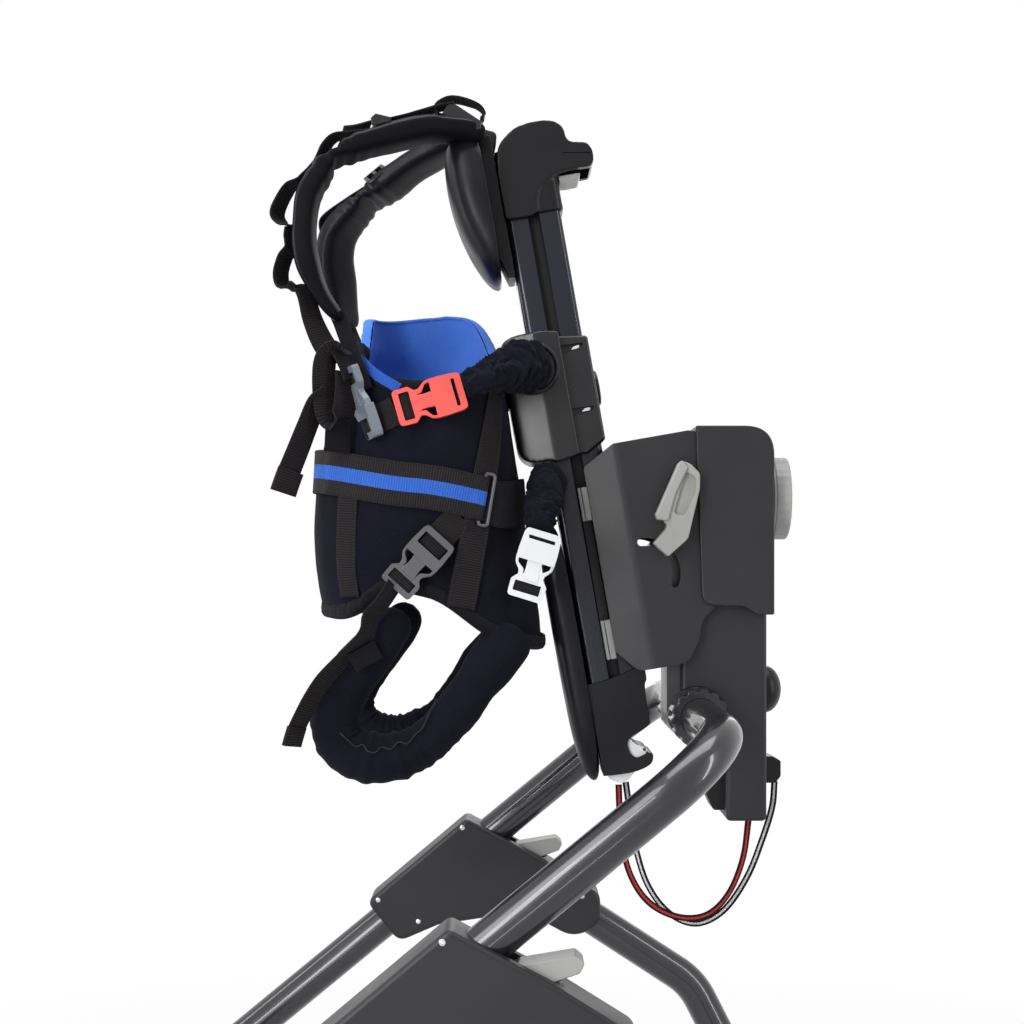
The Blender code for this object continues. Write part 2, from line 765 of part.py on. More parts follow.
def caster_wheel(number, wheel_x, y, axis):
    """A tyre on a moulded rim that runs on the fork's axle."""
    tread = WHEEL_RADIUS / math.cos(math.pi / ROUND_STEPS)
    inside = WHEEL_RADIUS - TYRE_DEPTH
    half = TYRE_WIDTH / 2
    frame = wheel_frame(wheel_x, y)
    tyre = turned_part("tyre_" + number, ring_profile([
        (inside, half * 0.8), (tread - 0.006, half), (tread, half * 0.62), (tread, -half * 0.62),
        (tread - 0.006, -half), (inside, -half * 0.8),
    ]), "tyre_rubber", frame)
    rim = inside - GAP
    half_rim = RIM_WIDTH / 2
    web = 0.004
    bore = AXLE_RADIUS + GAP
    wheel = turned_part("wheel_" + number, ring_profile([
        (bore, half + FORK_SIDE_GAP - GAP), (bore + 0.008, half + FORK_SIDE_GAP - GAP), (bore + 0.010, web),
        (rim - 0.008, web), (rim - 0.006, half_rim - 0.002), (rim, half_rim - 0.002),
        (rim, 0.002 - half_rim), (rim - 0.006, 0.002 - half_rim), (rim - 0.008, -web),
        (bore + 0.010, -web), (bore + 0.008, GAP - half - FORK_SIDE_GAP), (bore, GAP - half - FORK_SIDE_GAP),
    ]), "grey_plastic", frame)
    for part in (tyre, wheel):
        smooth(part)
        carry(part, axis)


def hub_collar(side):
    """The ribbed collar that clamps a side frame to the column's axle."""
    name = "hub_collar_" + SIDE_NAMES[side]
    outline = []
    for rib in range(COLLAR_RIBS):
        for share, radius in ((0.0, COLLAR_RADIUS), (0.45, COLLAR_RADIUS), (0.6, COLLAR_RADIUS - COLLAR_RIB),
                              (0.85, COLLAR_RADIUS - COLLAR_RIB)):
            angle = 2 * math.pi * (rib + share) / COLLAR_RIBS
            outline.append((HUB_X + radius * math.cos(angle), HUB_Z + radius * math.sin(angle)))
    inner = side * (COLUMN_HALF + GAP)
    outer = side * (COLUMN_HALF + GAP + COLLAR_LENGTH)
    collar = side_part(name, outline, inner, outer, "black_plastic")
    seat = side * (COLUMN_HALF + GAP + COLLAR_SEAT)
    socket = rod_mesh(name + "_socket", (HUB_X, seat, HUB_Z), (HUB_X, 2 * outer, HUB_Z), TUBE_RADIUS + GAP)
    bore = rod_mesh(name + "_bore", (HUB_X, 0.0, HUB_Z), (HUB_X, 2 * outer, HUB_Z), AXLE_HUB_RADIUS + GAP)
    cut(collar, as_cutter(socket, name + "_socket"), as_cutter(bore, name + "_bore"))
    smooth(collar)
    return collar


def hub_axle():
    half = AXLE_HUB_HALF
    axle = as_part(rod_mesh("hub_axle", (HUB_X, -half, HUB_Z), (HUB_X, half, HUB_Z), AXLE_HUB_RADIUS),
                   "hub_axle", "steel")
    smooth(axle)
    return axle


def axle_bore(name, half=0.1):
    return as_cutter(rod_mesh(name, (HUB_X, -half, HUB_Z), (HUB_X, half, HUB_Z), AXLE_HUB_RADIUS + GAP), name)


def column_cover(axis):
    """The charcoal column: a broad upper part, stepped back to a slim foot behind the frame tubes."""
    outline = rounded([
        (COLUMN_UPPER_FRONT_X, COLUMN_TOP_Z, 0.006), (COLUMN_UPPER_FRONT_X, HEAD_LOW_Z + 0.040, 0.0),
        (COLUMN_FRONT_X, HEAD_LOW_Z + 0.024, 0.0), (COLUMN_FRONT_X, 0.645, 0.010),
        (COLUMN_FOOT_FRONT_X, 0.598, 0.010), (COLUMN_FOOT_FRONT_X, COLUMN_FOOT_Z, 0.005),
        (COLUMN_REAR_X, COLUMN_FOOT_Z, 0.005), (COLUMN_REAR_X, COLUMN_TOP_Z, 0.012),
    ])
    cover = side_part("column_cover", outline, -COLUMN_HALF, COLUMN_HALF, "charcoal_plastic")
    bevelled(cover, 0.003)
    boss = rod_mesh("post_boss_space", (HUB_X, -0.1, HUB_Z), (HUB_X, 0.1, HUB_Z), COLLAR_RADIUS + GAP)
    joined(cover, foot_lug())
    cut(cover, as_cutter(boss, "post_boss_space"))
    smooth(cover)
    carry(cover, axis)
    return cover


def column_post(axis):
    """The black steel post: hub boss at its foot, and the tilt arm with its two eyes at its top."""
    rear = COLUMN_FRONT_X - GAP
    strip = side_part("column_post", [
        (POST_FRONT_X, HUB_Z), (rear, HUB_Z), (rear, POST_TOP_Z), (POST_FRONT_X, POST_TOP_Z),
    ], -POST_HALF, POST_HALF, "black_steel")
    boss = rod_mesh("post_boss", (HUB_X, -COLUMN_HALF, HUB_Z), (HUB_X, COLUMN_HALF, HUB_Z), COLLAR_RADIUS)
    bolt_x, bolt_z = clamp_bolt_place()
    arm = side_mesh("tilt_arm", [
        *arc((PIVOT_X, PIVOT_Z), ARM_EYE_RADIUS, math.radians(120), math.radians(275), 8),
        (POST_FRONT_X + 0.004, PIVOT_Z - 0.024), (POST_FRONT_X + 0.004, bolt_z + 0.012),
        *arc((bolt_x, bolt_z), BOLT_EYE_RADIUS, math.radians(70), math.radians(140), 4),
    ], -COLUMN_HALF, COLUMN_HALF)
    joined(strip, as_cutter(boss, "post_boss"), as_cutter(arm, "tilt_arm"))
    pin = rod_mesh("pivot_bore", (PIVOT_X, -0.1, PIVOT_Z), (PIVOT_X, 0.1, PIVOT_Z),
                   PIVOT_PIN_RADIUS + GAP, 20)
    bolt = rod_mesh("bolt_bore", (bolt_x, -0.1, bolt_z), (bolt_x, 0.1, bolt_z), BOLT_RADIUS + GAP, 16)
    cut(strip, axle_bore("post_axle_bore"), as_cutter(pin, "pivot_bore"), as_cutter(bolt, "bolt_bore"))
    smooth(strip)
    carry(strip, axis)
    return strip


def clamp_bolt_place():
    return (PIVOT_X + SLOT_RADIUS * math.cos(BOLT_ANGLE), PIVOT_Z + SLOT_RADIUS * math.sin(BOLT_ANGLE))


def head_cover_outline():
    top = COLUMN_TOP_Z + GAP + HEAD_WALL
    rear = COLUMN_REAR_X + GAP + HEAD_WALL
    return rounded([
        (HEAD_FRONT_X, top, 0.002), (HEAD_FRONT_X + 0.006, 0.731, 0.012), (0.206, 0.7295, 0.010),
        (0.222, 0.7295, 0.010), (0.234, HEAD_LOW_Z, 0.008), (rear, HEAD_LOW_Z, 0.002), (rear, top, 0.026),
    ], 4)


def head_cover(axis):
    """The cap over the column's head, open at the front and below, with a wavy lower edge."""
    half = HEAD_INNER_HALF + HEAD_WALL
    cover = side_part("head_cover", head_cover_outline(), -half, half, "charcoal_plastic")
    bevelled(cover, 0.004)
    inside = side_mesh("head_space", rounded([
        (HEAD_FRONT_X - 0.05, COLUMN_TOP_Z + GAP, 0.0), (HEAD_FRONT_X - 0.05, 0.60, 0.0),
        (COLUMN_REAR_X + GAP, 0.60, 0.0), (COLUMN_REAR_X + GAP, COLUMN_TOP_Z + GAP, 0.012),
    ]), -HEAD_INNER_HALF, HEAD_INNER_HALF)
    rear = COLUMN_REAR_X + GAP + HEAD_WALL
    stem = rod_mesh("knob_stem_hole", (COLUMN_REAR_X - 0.02, 0.0, TENSION_KNOB_Z),
                    (rear + 0.02, 0.0, TENSION_KNOB_Z), 0.012 + GAP)
    cut(cover, as_cutter(inside, "head_space"), as_cutter(stem, "knob_stem_hole"))
    smooth(cover)
    carry(cover, axis)
    return cover


def along_x(x, z):
    """A frame whose Z runs to the rear, for knobs that turn about X."""
    return Matrix.Translation((x, 0.0, z)) @ Matrix.Rotation(math.pi / 2, 4, "Y")


def tension_knob(axis):
    """The large ribbed knob behind the head cover, on a stem that bears in the cover's wall."""
    name = "tension_knob"
    rear = COLUMN_REAR_X + GAP + HEAD_WALL
    outline = []
    depth = 0.0008
    for rib in range(TENSION_KNOB_RIBS):
        for share, radius in ((0.0, TENSION_KNOB_RADIUS), (0.35, TENSION_KNOB_RADIUS),
                              (0.5, TENSION_KNOB_RADIUS - depth), (0.85, TENSION_KNOB_RADIUS - depth)):
            angle = 2 * math.pi * (rib + share) / TENSION_KNOB_RIBS
            outline.append((radius * math.cos(angle), radius * math.sin(angle)))
    mesh = bar_mesh(name, [outline], 0.003, 0.003 + TENSION_KNOB_DEPTH)
    knob = as_part(mesh, name, "grey_plastic", along_x(rear, TENSION_KNOB_Z))
    stem = rod_mesh(name + "_stem", (0.0, 0.0, -HEAD_WALL), (0.0, 0.0, 0.008), 0.012)
    collar = rod_mesh(name + "_collar", (0.0, 0.0, GAP), (0.0, 0.0, 0.008), 0.026)
    place = along_x(rear, TENSION_KNOB_Z)
    joined(knob, as_cutter(collar, name + "_collar", place), as_cutter(stem, name + "_stem", place))
    smooth(knob)
    carry(knob, axis)
    return knob


def dome_knob(axis):
    """The low round knob on the column's back, which locks the column upright."""
    steps = 4
    profile = []
    for index in range(steps + 1):
        angle = math.pi / 2 * (1 - index / steps)
        height = 0.003 + (DOME_KNOB_DEPTH - 0.003) * math.sin(angle)
        profile.append((DOME_KNOB_RADIUS * math.cos(angle), height))
    profile[0] = (0.0, DOME_KNOB_DEPTH)
    profile.append((DOME_KNOB_RADIUS, GAP))
    profile.append((0.0, GAP))
    knob = turned_part("dome_knob", profile, "black_plastic", along_x(COLUMN_REAR_X, DOME_KNOB_Z))
    smooth(knob)
    carry(knob, axis)
    return knob


def cord_clip(axis):
    """The clip on the column's back that holds the end of the striped cord."""
    front = COLUMN_REAR_X + GAP
    top = CLIP_LOW_Z + CLIP_HEIGHT
    outline = rounded([
        (front, CLIP_LOW_Z, 0.001), (front + CLIP_DEPTH * 0.7, CLIP_LOW_Z, 0.003),
        (front + CLIP_DEPTH, CLIP_LOW_Z + 0.006, 0.004), (front + CLIP_DEPTH, top - 0.004, 0.003),
        (front + CLIP_DEPTH * 0.5, top, 0.002), (front, top, 0.001),
    ])
    clip = side_part("cord_clip", outline, -CLIP_HALF, CLIP_HALF, "black_plastic")
    bevelled(clip, 0.001)
    smooth(clip)
    carry(clip, axis)
    return clip


def foot_lug():
    """The small bumper moulded on the front of the column's foot."""
    outline = rounded([
        (COLUMN_FOOT_FRONT_X + 0.004, 0.587, 0.0), (0.196, 0.583, 0.006), (0.193, 0.560, 0.004),
        (0.200, 0.545, 0.004), (COLUMN_FOOT_FRONT_X + 0.004, 0.545, 0.0),
    ])
    return side_cutter("foot_lug", outline, -0.018, 0.018)


def pivot_pin(axis):
    """The hidden tilt pin: its ends stop in blind bores in the carrier's walls."""
    half = CARRIER_HALF - 0.0015
    mesh = rod_mesh("tilt_pin", (PIVOT_X, -half, PIVOT_Z), (PIVOT_X, half, PIVOT_Z), PIVOT_PIN_RADIUS, 20)
    pin = as_part(mesh, "tilt_pin", "steel")
    smooth(pin)
    carry(pin, axis)
    return pin


def clamp_bolt(axis):
    """The bolt through both arc slots, with a nut on the user's right."""
    x, z = clamp_bolt_place()
    lever_end = TILT_LEVER_OFFSET + TILT_LEVER_ROOT
    nut_from = CARRIER_HALF + GAP
    shank = rod_mesh("clamp_bolt", (x, -lever_end - 0.002, z), (x, nut_from + 0.002, z), BOLT_RADIUS, 16)
    bolt = as_part(shank, "clamp_bolt", "steel")
    nut = rod_mesh("clamp_nut", (x, nut_from, z), (x, nut_from + 0.007, z), 0.008, 6)
    joined(bolt, as_cutter(nut, "clamp_nut"))
    smooth(bolt)
    carry(bolt, axis)
    return bolt


def tilt_lever(axis):
    """The light lever that clamps the tilt: a root block on the bolt and a broad finger paddle."""
    x, z = clamp_bolt_place()
    root = rounded([
        (x - 0.009, z + 0.003, 0.002), (x + 0.004, z - 0.011, 0.003), (x + 0.020, z + 0.010, 0.004),
        (x + 0.0275, z + 0.040, 0.004), (x + 0.030, z + 0.060, 0.006), (x + 0.018, z + 0.078, 0.003),
        (x + 0.009, z + 0.080, 0.003), (x - 0.008, z + 0.030, 0.003), (x - 0.005, z + 0.025, 0.002),
        (x + 0.001, z + 0.020, 0.002),
    ])
    inner = -TILT_LEVER_OFFSET
    outer = inner - TILT_LEVER_ROOT
    lever = side_part("tilt_lever", root, inner - 0.006, outer - TILT_LEVER_BODY, "grey_plastic")
    bevelled(lever, 0.0015)
    block = side_mesh("lever_root", rounded([
        (x - 0.0085, z + 0.003, 0.002), (x + 0.004, z - 0.0105, 0.003), (x + 0.0135, z + 0.004, 0.003),
        (x + 0.001, z + 0.0195, 0.002),
    ]), inner, outer)
    joined(lever, as_cutter(block, "lever_root"))
    relief = side_mesh("lever_relief", rounded([
        (x - 0.020, z - 0.020, 0.0), (x + 0.006, z - 0.020, 0.0), (x + 0.018, z + 0.012, 0.008),
        (x - 0.020, z + 0.024, 0.0),
    ]), outer, outer - 0.04)
    bore = rod_mesh("lever_bore", (x, inner + 0.02, z), (x, outer - 0.04, z), BOLT_RADIUS + GAP, 16)
    cut(lever, as_cutter(relief, "lever_relief"), as_cutter(bore, "lever_bore"))
    smooth(lever)
    carry(lever, axis)
    return lever


def carrier_outline():
    """Side view of the tilt carrier in the mast's axes; its rear edge stays inside the head cover."""
    return rounded([
        (CARRIER_FRONT_V, CARRIER_TOP_U - 0.016, 0.004), (CARRIER_FRONT_V, CARRIER_LOW_U + 0.020, 0.006),
        (-0.020, CARRIER_LOW_U, 0.012), (0.024, CARRIER_LOW_U, 0.014), (0.037, CARRIER_LOW_U + 0.018, 0.010),
        (0.043, CARRIER_LOW_U + 0.035, 0.012), (0.058, CARRIER_LOW_U + 0.046, 0.006),
        (0.080, CARRIER_LOW_U + 0.047, 0.006), (CARRIER_REAR_V, -0.010, 0.012),
        (CARRIER_REAR_V, 0.050, 0.020), (0.072, CARRIER_TOP_U - 0.006, 0.010),
        (0.060, CARRIER_TOP_U, 0.006), (-0.008, CARRIER_TOP_U, 0.006),
    ])


def carrier_wall(side, frame):
    """A side wall: flat behind the crease, and turned in towards the mast in front of it."""
    outer = CARRIER_HALF
    inner = CARRIER_HALF - CARRIER_WALL
    nose = CARRIER_FRONT_INSET
    far = 0.2
    section = [
        (CARRIER_FRONT_V - 0.001, side * (inner - nose)), (CARRIER_FRONT_V - 0.001, side * (outer - nose)),
        (CARRIER_CREASE_V, side * outer), (far, side * outer), (far, side * inner),
        (CARRIER_CREASE_V, side * inner),
    ]
    return bar_mesh("carrier_wall_" + SIDE_NAMES[side], [section], -far, far)


def slot_outline():
    """The arc slot about the tilt pivot, with round ends, in the mast's axes."""
    first = SLOT_FROM - LEAN
    last = SLOT_TO - LEAN
    low = arc((0, 0), SLOT_RADIUS, first, first, 1)[0]
    high = arc((0, 0), SLOT_RADIUS, last, last, 1)[0]
    return [
        *arc((0, 0), SLOT_RADIUS + SLOT_HALF, first, last, 9),
        *arc(high, SLOT_HALF, last, last + math.pi, 4)[1:-1],
        *arc((0, 0), SLOT_RADIUS - SLOT_HALF, last, first, 9),
        *arc(low, SLOT_HALF, first - math.pi, first, 4)[1:-1],
    ]


def carrier(axis):
    """The tilting carrier: two walls with arc slots, joined by an upper and a lower web."""
    body = as_part(carrier_wall(LEFT, MAST), "carrier", "charcoal_plastic", MAST)
    inner = CARRIER_HALF - CARRIER_WALL
    side_view = side_cutter("carrier_side", carrier_outline(), -0.06, 0.06, MAST)
    joined(body, as_cutter(carrier_wall(RIGHT, MAST), "carrier_wall_right", MAST))
    shaped(body, side_view, "INTERSECT")
    webs = (("carrier_top_web", -0.0085, 0.026, CARRIER_TOP_U - 0.014, CARRIER_TOP_U - 0.001),
            ("carrier_low_web", -0.0120, 0.000, CARRIER_LOW_U + 0.001, CARRIER_LOW_U + 0.012))
    for label, front, rear, low, high in webs:
        web = box_mesh(label, (front, -inner - 0.002, low), (rear, inner + 0.002, high))
        joined(body, as_cutter(web, label, MAST))
    cut(body, side_cutter("arc_slot", slot_outline(), -0.06, 0.06, MAST))
    depth = CARRIER_HALF - 0.0015 + GAP
    pin = rod_mesh("blind_pin_bore", (0.0, -depth, 0.0), (0.0, depth, 0.0), PIVOT_PIN_RADIUS + GAP, 20)
    cut(body, as_cutter(pin, "blind_pin_bore", MAST))
    smooth(body)
    carry(body, axis)
    return body


def slide_rail(side, axis):
    """A light slide rail: its tongue runs in the mast's side slot, and its two shoes seat on the carrier."""
    name = "slide_rail_" + SIDE_NAMES[side]
    tongue = (MAST_HALF - T_SLOT_DEPTH + RUNNING_GAP) * side
    strip = (MAST_HALF - 0.001) * side
    face = (CARRIER_HALF - CARRIER_WALL - CARRIER_FRONT_INSET - GAP) * side
    outline = [
        (tongue, RAIL_LOW_U), (face, RAIL_LOW_U), (face, RAIL_LOW_U + LOW_SHOE_LENGTH),
        (strip, RAIL_LOW_U + LOW_SHOE_LENGTH), (strip, RAIL_TOP_U - TOP_SHOE_LENGTH),
        (face, RAIL_TOP_U - TOP_SHOE_LENGTH), (face, RAIL_TOP_U), (tongue, RAIL_TOP_U),
    ]
    width = 2 * (T_SLOT_HALF - RUNNING_GAP)
    upright = Matrix(((0, 0, 1, T_SLOT_V), (1, 0, 0, 0), (0, 1, 0, 0), (0, 0, 0, 1)))
    rail = as_part(outline_mesh(name, [outline], width, upright), name, "grey_plastic", MAST)
    smooth(rail)
    carry(rail, axis)
    return rail


def mast_section():
    """The extrusion's section: round corners, a T slot in each side and three hollow chambers."""
    corner = MAST_CORNER
    soft = 0.3 * corner
    half = MAST_HALF
    outline = []
    for side, edge in ((1, MAST_REAR_V), (-1, MAST_FRONT_V)):
        mouth = side * T_SLOT_HALF
        under = side * T_SLOT_UNDER_HALF
        face = side * half
        lip = side * (half - T_SLOT_LIP)
        floor = side * (half - T_SLOT_DEPTH)
        outline += [
            (T_SLOT_V - mouth, face), (T_SLOT_V - mouth, lip), (T_SLOT_V - under, lip),
            (T_SLOT_V - under, floor), (T_SLOT_V + under, floor), (T_SLOT_V + under, lip),
            (T_SLOT_V + mouth, lip), (T_SLOT_V + mouth, face),
            (edge - side * corner, face), (edge - side * soft, side * (half - soft)),
            (edge, side * (half - corner)), (edge, -side * (half - corner)),
            (edge - side * soft, -side * (half - soft)), (edge - side * corner, -face),
        ]
    core = [
        (T_SLOT_V - CORE_HALF_V, -CORE_HALF_Y), (T_SLOT_V + CORE_HALF_V, -CORE_HALF_Y),
        (T_SLOT_V + CORE_HALF_V, CORE_HALF_Y), (T_SLOT_V - CORE_HALF_V, CORE_HALF_Y),
    ]
    wall = 0.0025
    chambers = []
    for low, high in ((MAST_FRONT_V + wall, T_SLOT_V - T_SLOT_UNDER_HALF - wall),
                      (T_SLOT_V + T_SLOT_UNDER_HALF + wall, MAST_REAR_V - wall)):
        chambers.append([(low, -half + 2 * wall), (high, -half + 2 * wall),
                         (high, half - 2 * wall), (low, half - 2 * wall)])
    return [outline, core, *chambers]


def mast_extrusion(axis):
    mesh = bar_mesh("mast", mast_section(), MAST_LOW_U, MAST_TOP_U)
    mast = as_part(mesh, "mast", "anodised", MAST)
    smooth(mast, math.radians(25))
    carry(mast, axis)
    return mast


def mast_space(name, low, high, gap=GAP):
    """The space that the extrusion takes, with a clearance."""
    return as_cutter(box_mesh(name, (MAST_FRONT_V - gap, -MAST_HALF - gap, low),
                              (MAST_REAR_V + gap, MAST_HALF + gap, high)), name, MAST)


def top_cap(axis):
    """The moulded cap with its rearward grip."""
    outline = rounded([
        (-0.0662, -0.083, 0.003), (-0.0662, -0.023, 0.012), (-0.058, 0.012, 0.012), (-0.040, 0.021, 0.010),
        (-0.015, 0.023, 0.008), (-0.003, 0.016, 0.006), (0.001, 0.003, 0.006), (0.017, -0.001, 0.006),
        (0.022, -0.013, 0.006), (0.018, -0.026, 0.006), (-0.010, -0.0285, 0.008), (-0.0125, -0.061, 0.004),
        (-0.046, -0.069, 0.010),
    ])
    cap = side_part("top_cap", outline, -CAP_HALF, CAP_HALF, "black_plastic", MAST_HEAD)
    bevelled(cap, 0.004)
    lever_room = box_mesh("grip_lever_room", (-0.0155, -GRIP_LEVER_HALF - RUNNING_GAP, -0.055),
                          (0.0165, GRIP_LEVER_HALF + RUNNING_GAP, -0.018))
    cut(cap, mast_space("top_cap_space", MAST_TOP_U - 2 * CAP_REACH, MAST_TOP_U + GAP),
        as_cutter(lever_room, "grip_lever_room", MAST_HEAD))
    smooth(cap)
    carry(cap, axis)
    return cap


def grip_lever(axis):
    """The squeeze lever under the grip."""
    outline = rounded([
        (-0.015, -0.040, 0.001), (-0.006, -0.0405, 0.002), (0.012, -0.0375, 0.002), (0.0135, -0.0335, 0.002),
        (0.011, -0.031, 0.002), (-0.006, -0.0325, 0.002), (-0.015, -0.0335, 0.001),
    ])
    half = GRIP_LEVER_HALF
    lever = side_part("grip_lever", outline, -half, half, "grey_plastic", MAST_HEAD)
    smooth(lever)
    carry(lever, axis)
    return lever


def foot_cap(axis):
    """The cap on the mast's lower end, with a hook notch that faces the column."""
    outline = rounded([
        (-0.0662, 0.043, 0.002), (-0.0662, -0.040, 0.006), (-0.062, -0.051, 0.004), (-0.040, -0.055, 0.004),
        (-0.026, -0.048, 0.004), (-0.018, -0.038, 0.003), (-0.018, -0.029, 0.003), (-0.036, -0.026, 0.006),
        (-0.036, -0.011, 0.006), (-0.018, -0.001, 0.003), (-0.020, 0.012, 0.004), (-0.0135, 0.032, 0.004),
        (-0.0135, 0.043, 0.002),
    ])
    cap = side_part("foot_cap", outline, -FOOT_CAP_HALF, FOOT_CAP_HALF, "black_plastic", MAST_FOOT)
    bevelled(cap, 0.002)
    cut(cap, mast_space("foot_cap_space", MAST_LOW_U - GAP, MAST_LOW_U + 2 * CAP_REACH))
    cut(cap, cord_way("foot_cord_way"))
    smooth(cap)
    carry(cap, axis)
    return cap


def cord_way(name):
    """The passage for the cords, from the foot cap's underside into the mast's core."""
    return as_cutter(box_mesh(name, (T_SLOT_V - CORE_HALF_V, -CORE_HALF_Y, -2 * CAP_REACH),
                              (T_SLOT_V + CORE_HALF_V - 0.006, CORE_HALF_Y, CAP_REACH)), name, MAST_FOOT)


def egg_pad(name, outline, half_width, slot, frame, levels=1):
    """A moulded pad: a side outline drawn in towards its two flanks, then smoothed."""
    shape = bmesh.new()
    rings = []
    stations = (-1.0, -0.82, -0.35, 0.35, 0.82, 1.0)
    middle = Vector((sum(p[0] for p in outline) / len(outline), sum(p[1] for p in outline) / len(outline)))
    back = max(p[0] for p in outline)
    for station in stations:
        shrink = {1.0: 0.55, 0.82: 0.86, 0.35: 1.0}[abs(station)]
        ring = []
        for v, u in outline:
            squeezed = back - (back - v) * shrink
            ring.append(shape.verts.new((squeezed, station * half_width, middle.y + (u - middle.y) * shrink)))
        rings.append(ring)
    count = len(outline)
    for ring, following in zip(rings, rings[1:]):
        for index in range(count):
            other = (index + 1) % count
            shape.faces.new((ring[index], ring[other], following[other], following[index]))
    shape.faces.new(rings[0])
    shape.faces.new(rings[-1])
    bmesh.ops.recalc_face_normals(shape, faces=shape.faces)
    mesh = bpy.data.meshes.new(name)
    shape.to_mesh(mesh)
    shape.free()
    pad = as_part(mesh, name, slot, frame)
    soften = pad.modifiers.new("soften", "SUBSURF")
    soften.levels = levels
    soften.render_levels = levels
    smooth(pad, math.radians(80))
    return pad


def back_pad(axis):
    """The egg shaped pad behind the shoulders, on its plate in front of the mast's top."""
    outline = [
        (-0.0778, -0.119), (-0.0778, -0.065), (-0.0778, 0.010), (-0.092, 0.019), (-0.111, 0.005),
        (-0.113, -0.040), (-0.104, -0.080), (-0.090, -0.113),
    ]
    pad = egg_pad("back_pad", outline, BACK_PAD_HALF, "vinyl", MAST_HEAD)
    carry(pad, axis)
    return pad


def back_plate(axis):
    """The plate that carries the back pad on the mast."""
    rear = MAST_FRONT_V - GAP - 0.0002
    outline = rounded([
        (rear, -0.114, 0.001), (rear, 0.015, 0.003), (-0.0755, 0.017, 0.003), (-0.0775, 0.010, 0.002),
        (-0.0775, -0.095, 0.002), (-0.072, -0.114, 0.002),
    ])
    plate = side_part("back_plate", outline, -0.026, 0.026, "black_plastic", MAST_HEAD)
    bevelled(plate, 0.001)
    smooth(plate)
    carry(plate, axis)
    return plate


def pelvic_pad(axis):
    """The glossy bar pad down the mast's lower front."""
    outline = [
        (-0.0665, -0.044), (-0.0665, 0.012), (-0.0665, 0.132), (-0.0665, 0.188), (-0.078, 0.190),
        (-0.0885, 0.172), (-0.0885, 0.072), (-0.0885, -0.018), (-0.080, -0.048),
    ]
    pad = egg_pad("pelvic_pad", outline, PAD_HALF, "vinyl", MAST_FOOT)
    carry(pad, axis)
    return pad


def chest_bracket(axis):
    """The moulded bracket that slides on the mast and carries the harness."""
    name = "chest_bracket"
    outline = rounded([
        (-0.091, BRACKET_LOW_U + 0.004, 0.008), (-0.092, BRACKET_TOP_U, 0.008),
        (-0.055, BRACKET_TOP_U + 0.002, 0.006), (-0.040, BRACKET_TOP_U - 0.002, 0.0),
        (-0.040, BRACKET_LOW_U + 0.002, 0.0), (-0.056, BRACKET_LOW_U, 0.006),
    ])
    body = side_part(name, outline, -BRACKET_HALF, BRACKET_HALF, "charcoal_plastic", MAST)
    bevelled(body, 0.005)
    rear = side_mesh(name + "_rear", rounded([
        (-0.052, BRACKET_LOW_U + 0.002, 0.0), (-0.052, BRACKET_TOP_U, 0.0),
        (BRACKET_REAR_V, BRACKET_TOP_U - 0.008, 0.004), (BRACKET_REAR_V, BRACKET_LOW_U + 0.012, 0.004),
        (-0.030, BRACKET_LOW_U + 0.002, 0.004),
    ]), -BRACKET_REAR_HALF, BRACKET_REAR_HALF)
    joined(body, as_cutter(rear, name + "_rear", MAST))
    for side in (LEFT, RIGHT):
        boss = rod_mesh(name + "_boss", (-0.068, side * (BRACKET_HALF - 0.006), 0.196),
                        (-0.068, side * (BRACKET_HALF + 0.008), 0.196), 0.023, 20)
        joined(body, as_cutter(boss, name + "_boss_" + SIDE_NAMES[side], MAST))
        mouth = rod_mesh(name + "_mouth", (-0.068, side * (BRACKET_HALF - 0.004), 0.196),
                         (-0.068, side * (BRACKET_HALF + 0.02), 0.196), 0.020, 20)
        cut(body, as_cutter(mouth, name + "_mouth_" + SIDE_NAMES[side], MAST))
    cut(body, mast_space(name + "_space", 0.0, 0.3, RUNNING_GAP))
    smooth(body)
    carry(body, axis)
    return body


def bracket_knob(axis):
    """The flat clamp knob on the bracket's back."""
    place = (MAST @ Matrix.Translation((BRACKET_REAR_V + GAP, 0.0, BRACKET_KNOB_U))
             @ Matrix.Rotation(math.pi / 2, 4, "Y"))
    radius = BRACKET_KNOB_RADIUS
    depth = BRACKET_KNOB_DEPTH
    knob = turned_part("bracket_knob", [
        (0.0, depth), (radius - 0.003, depth), (radius, depth - 0.001), (radius, 0.0), (0.0, 0.0),
    ], "black_plastic", place)
    smooth(knob)
    carry(knob, axis)
    return knob


def vest_section(z):
    """Front and back of the vest at a height: a full front over a straight back."""
    share = (z - VEST_LOW_Z) / (VEST_TOP_Z - VEST_LOW_Z)
    front = -0.146 - 0.070 * share + 0.095 * share ** 2
    back = 0.046 - share * 0.040
    half = VEST_HALF_WIDTH - 0.006 * abs(share - 0.4)
    return front, back, half


def vest_edges(angle):
    """Lower and upper edge heights round the vest: angle 0 is the front, a quarter turn is the left."""
    toward_back = (1 - math.cos(angle)) / 2.0
    leftness = math.sin(angle)
    dip = abs(leftness) ** 2.0
    top = VEST_TOP_Z - 0.002 - 0.012 * toward_back
    top += dip * (-0.036 if leftness > 0 else 0.034)
    arch = 0.036 * math.exp(-((toward_back - 0.45) / 0.20) ** 2)
    low = VEST_LOW_Z + 0.022 - 0.030 * toward_back + arch
    return low, top


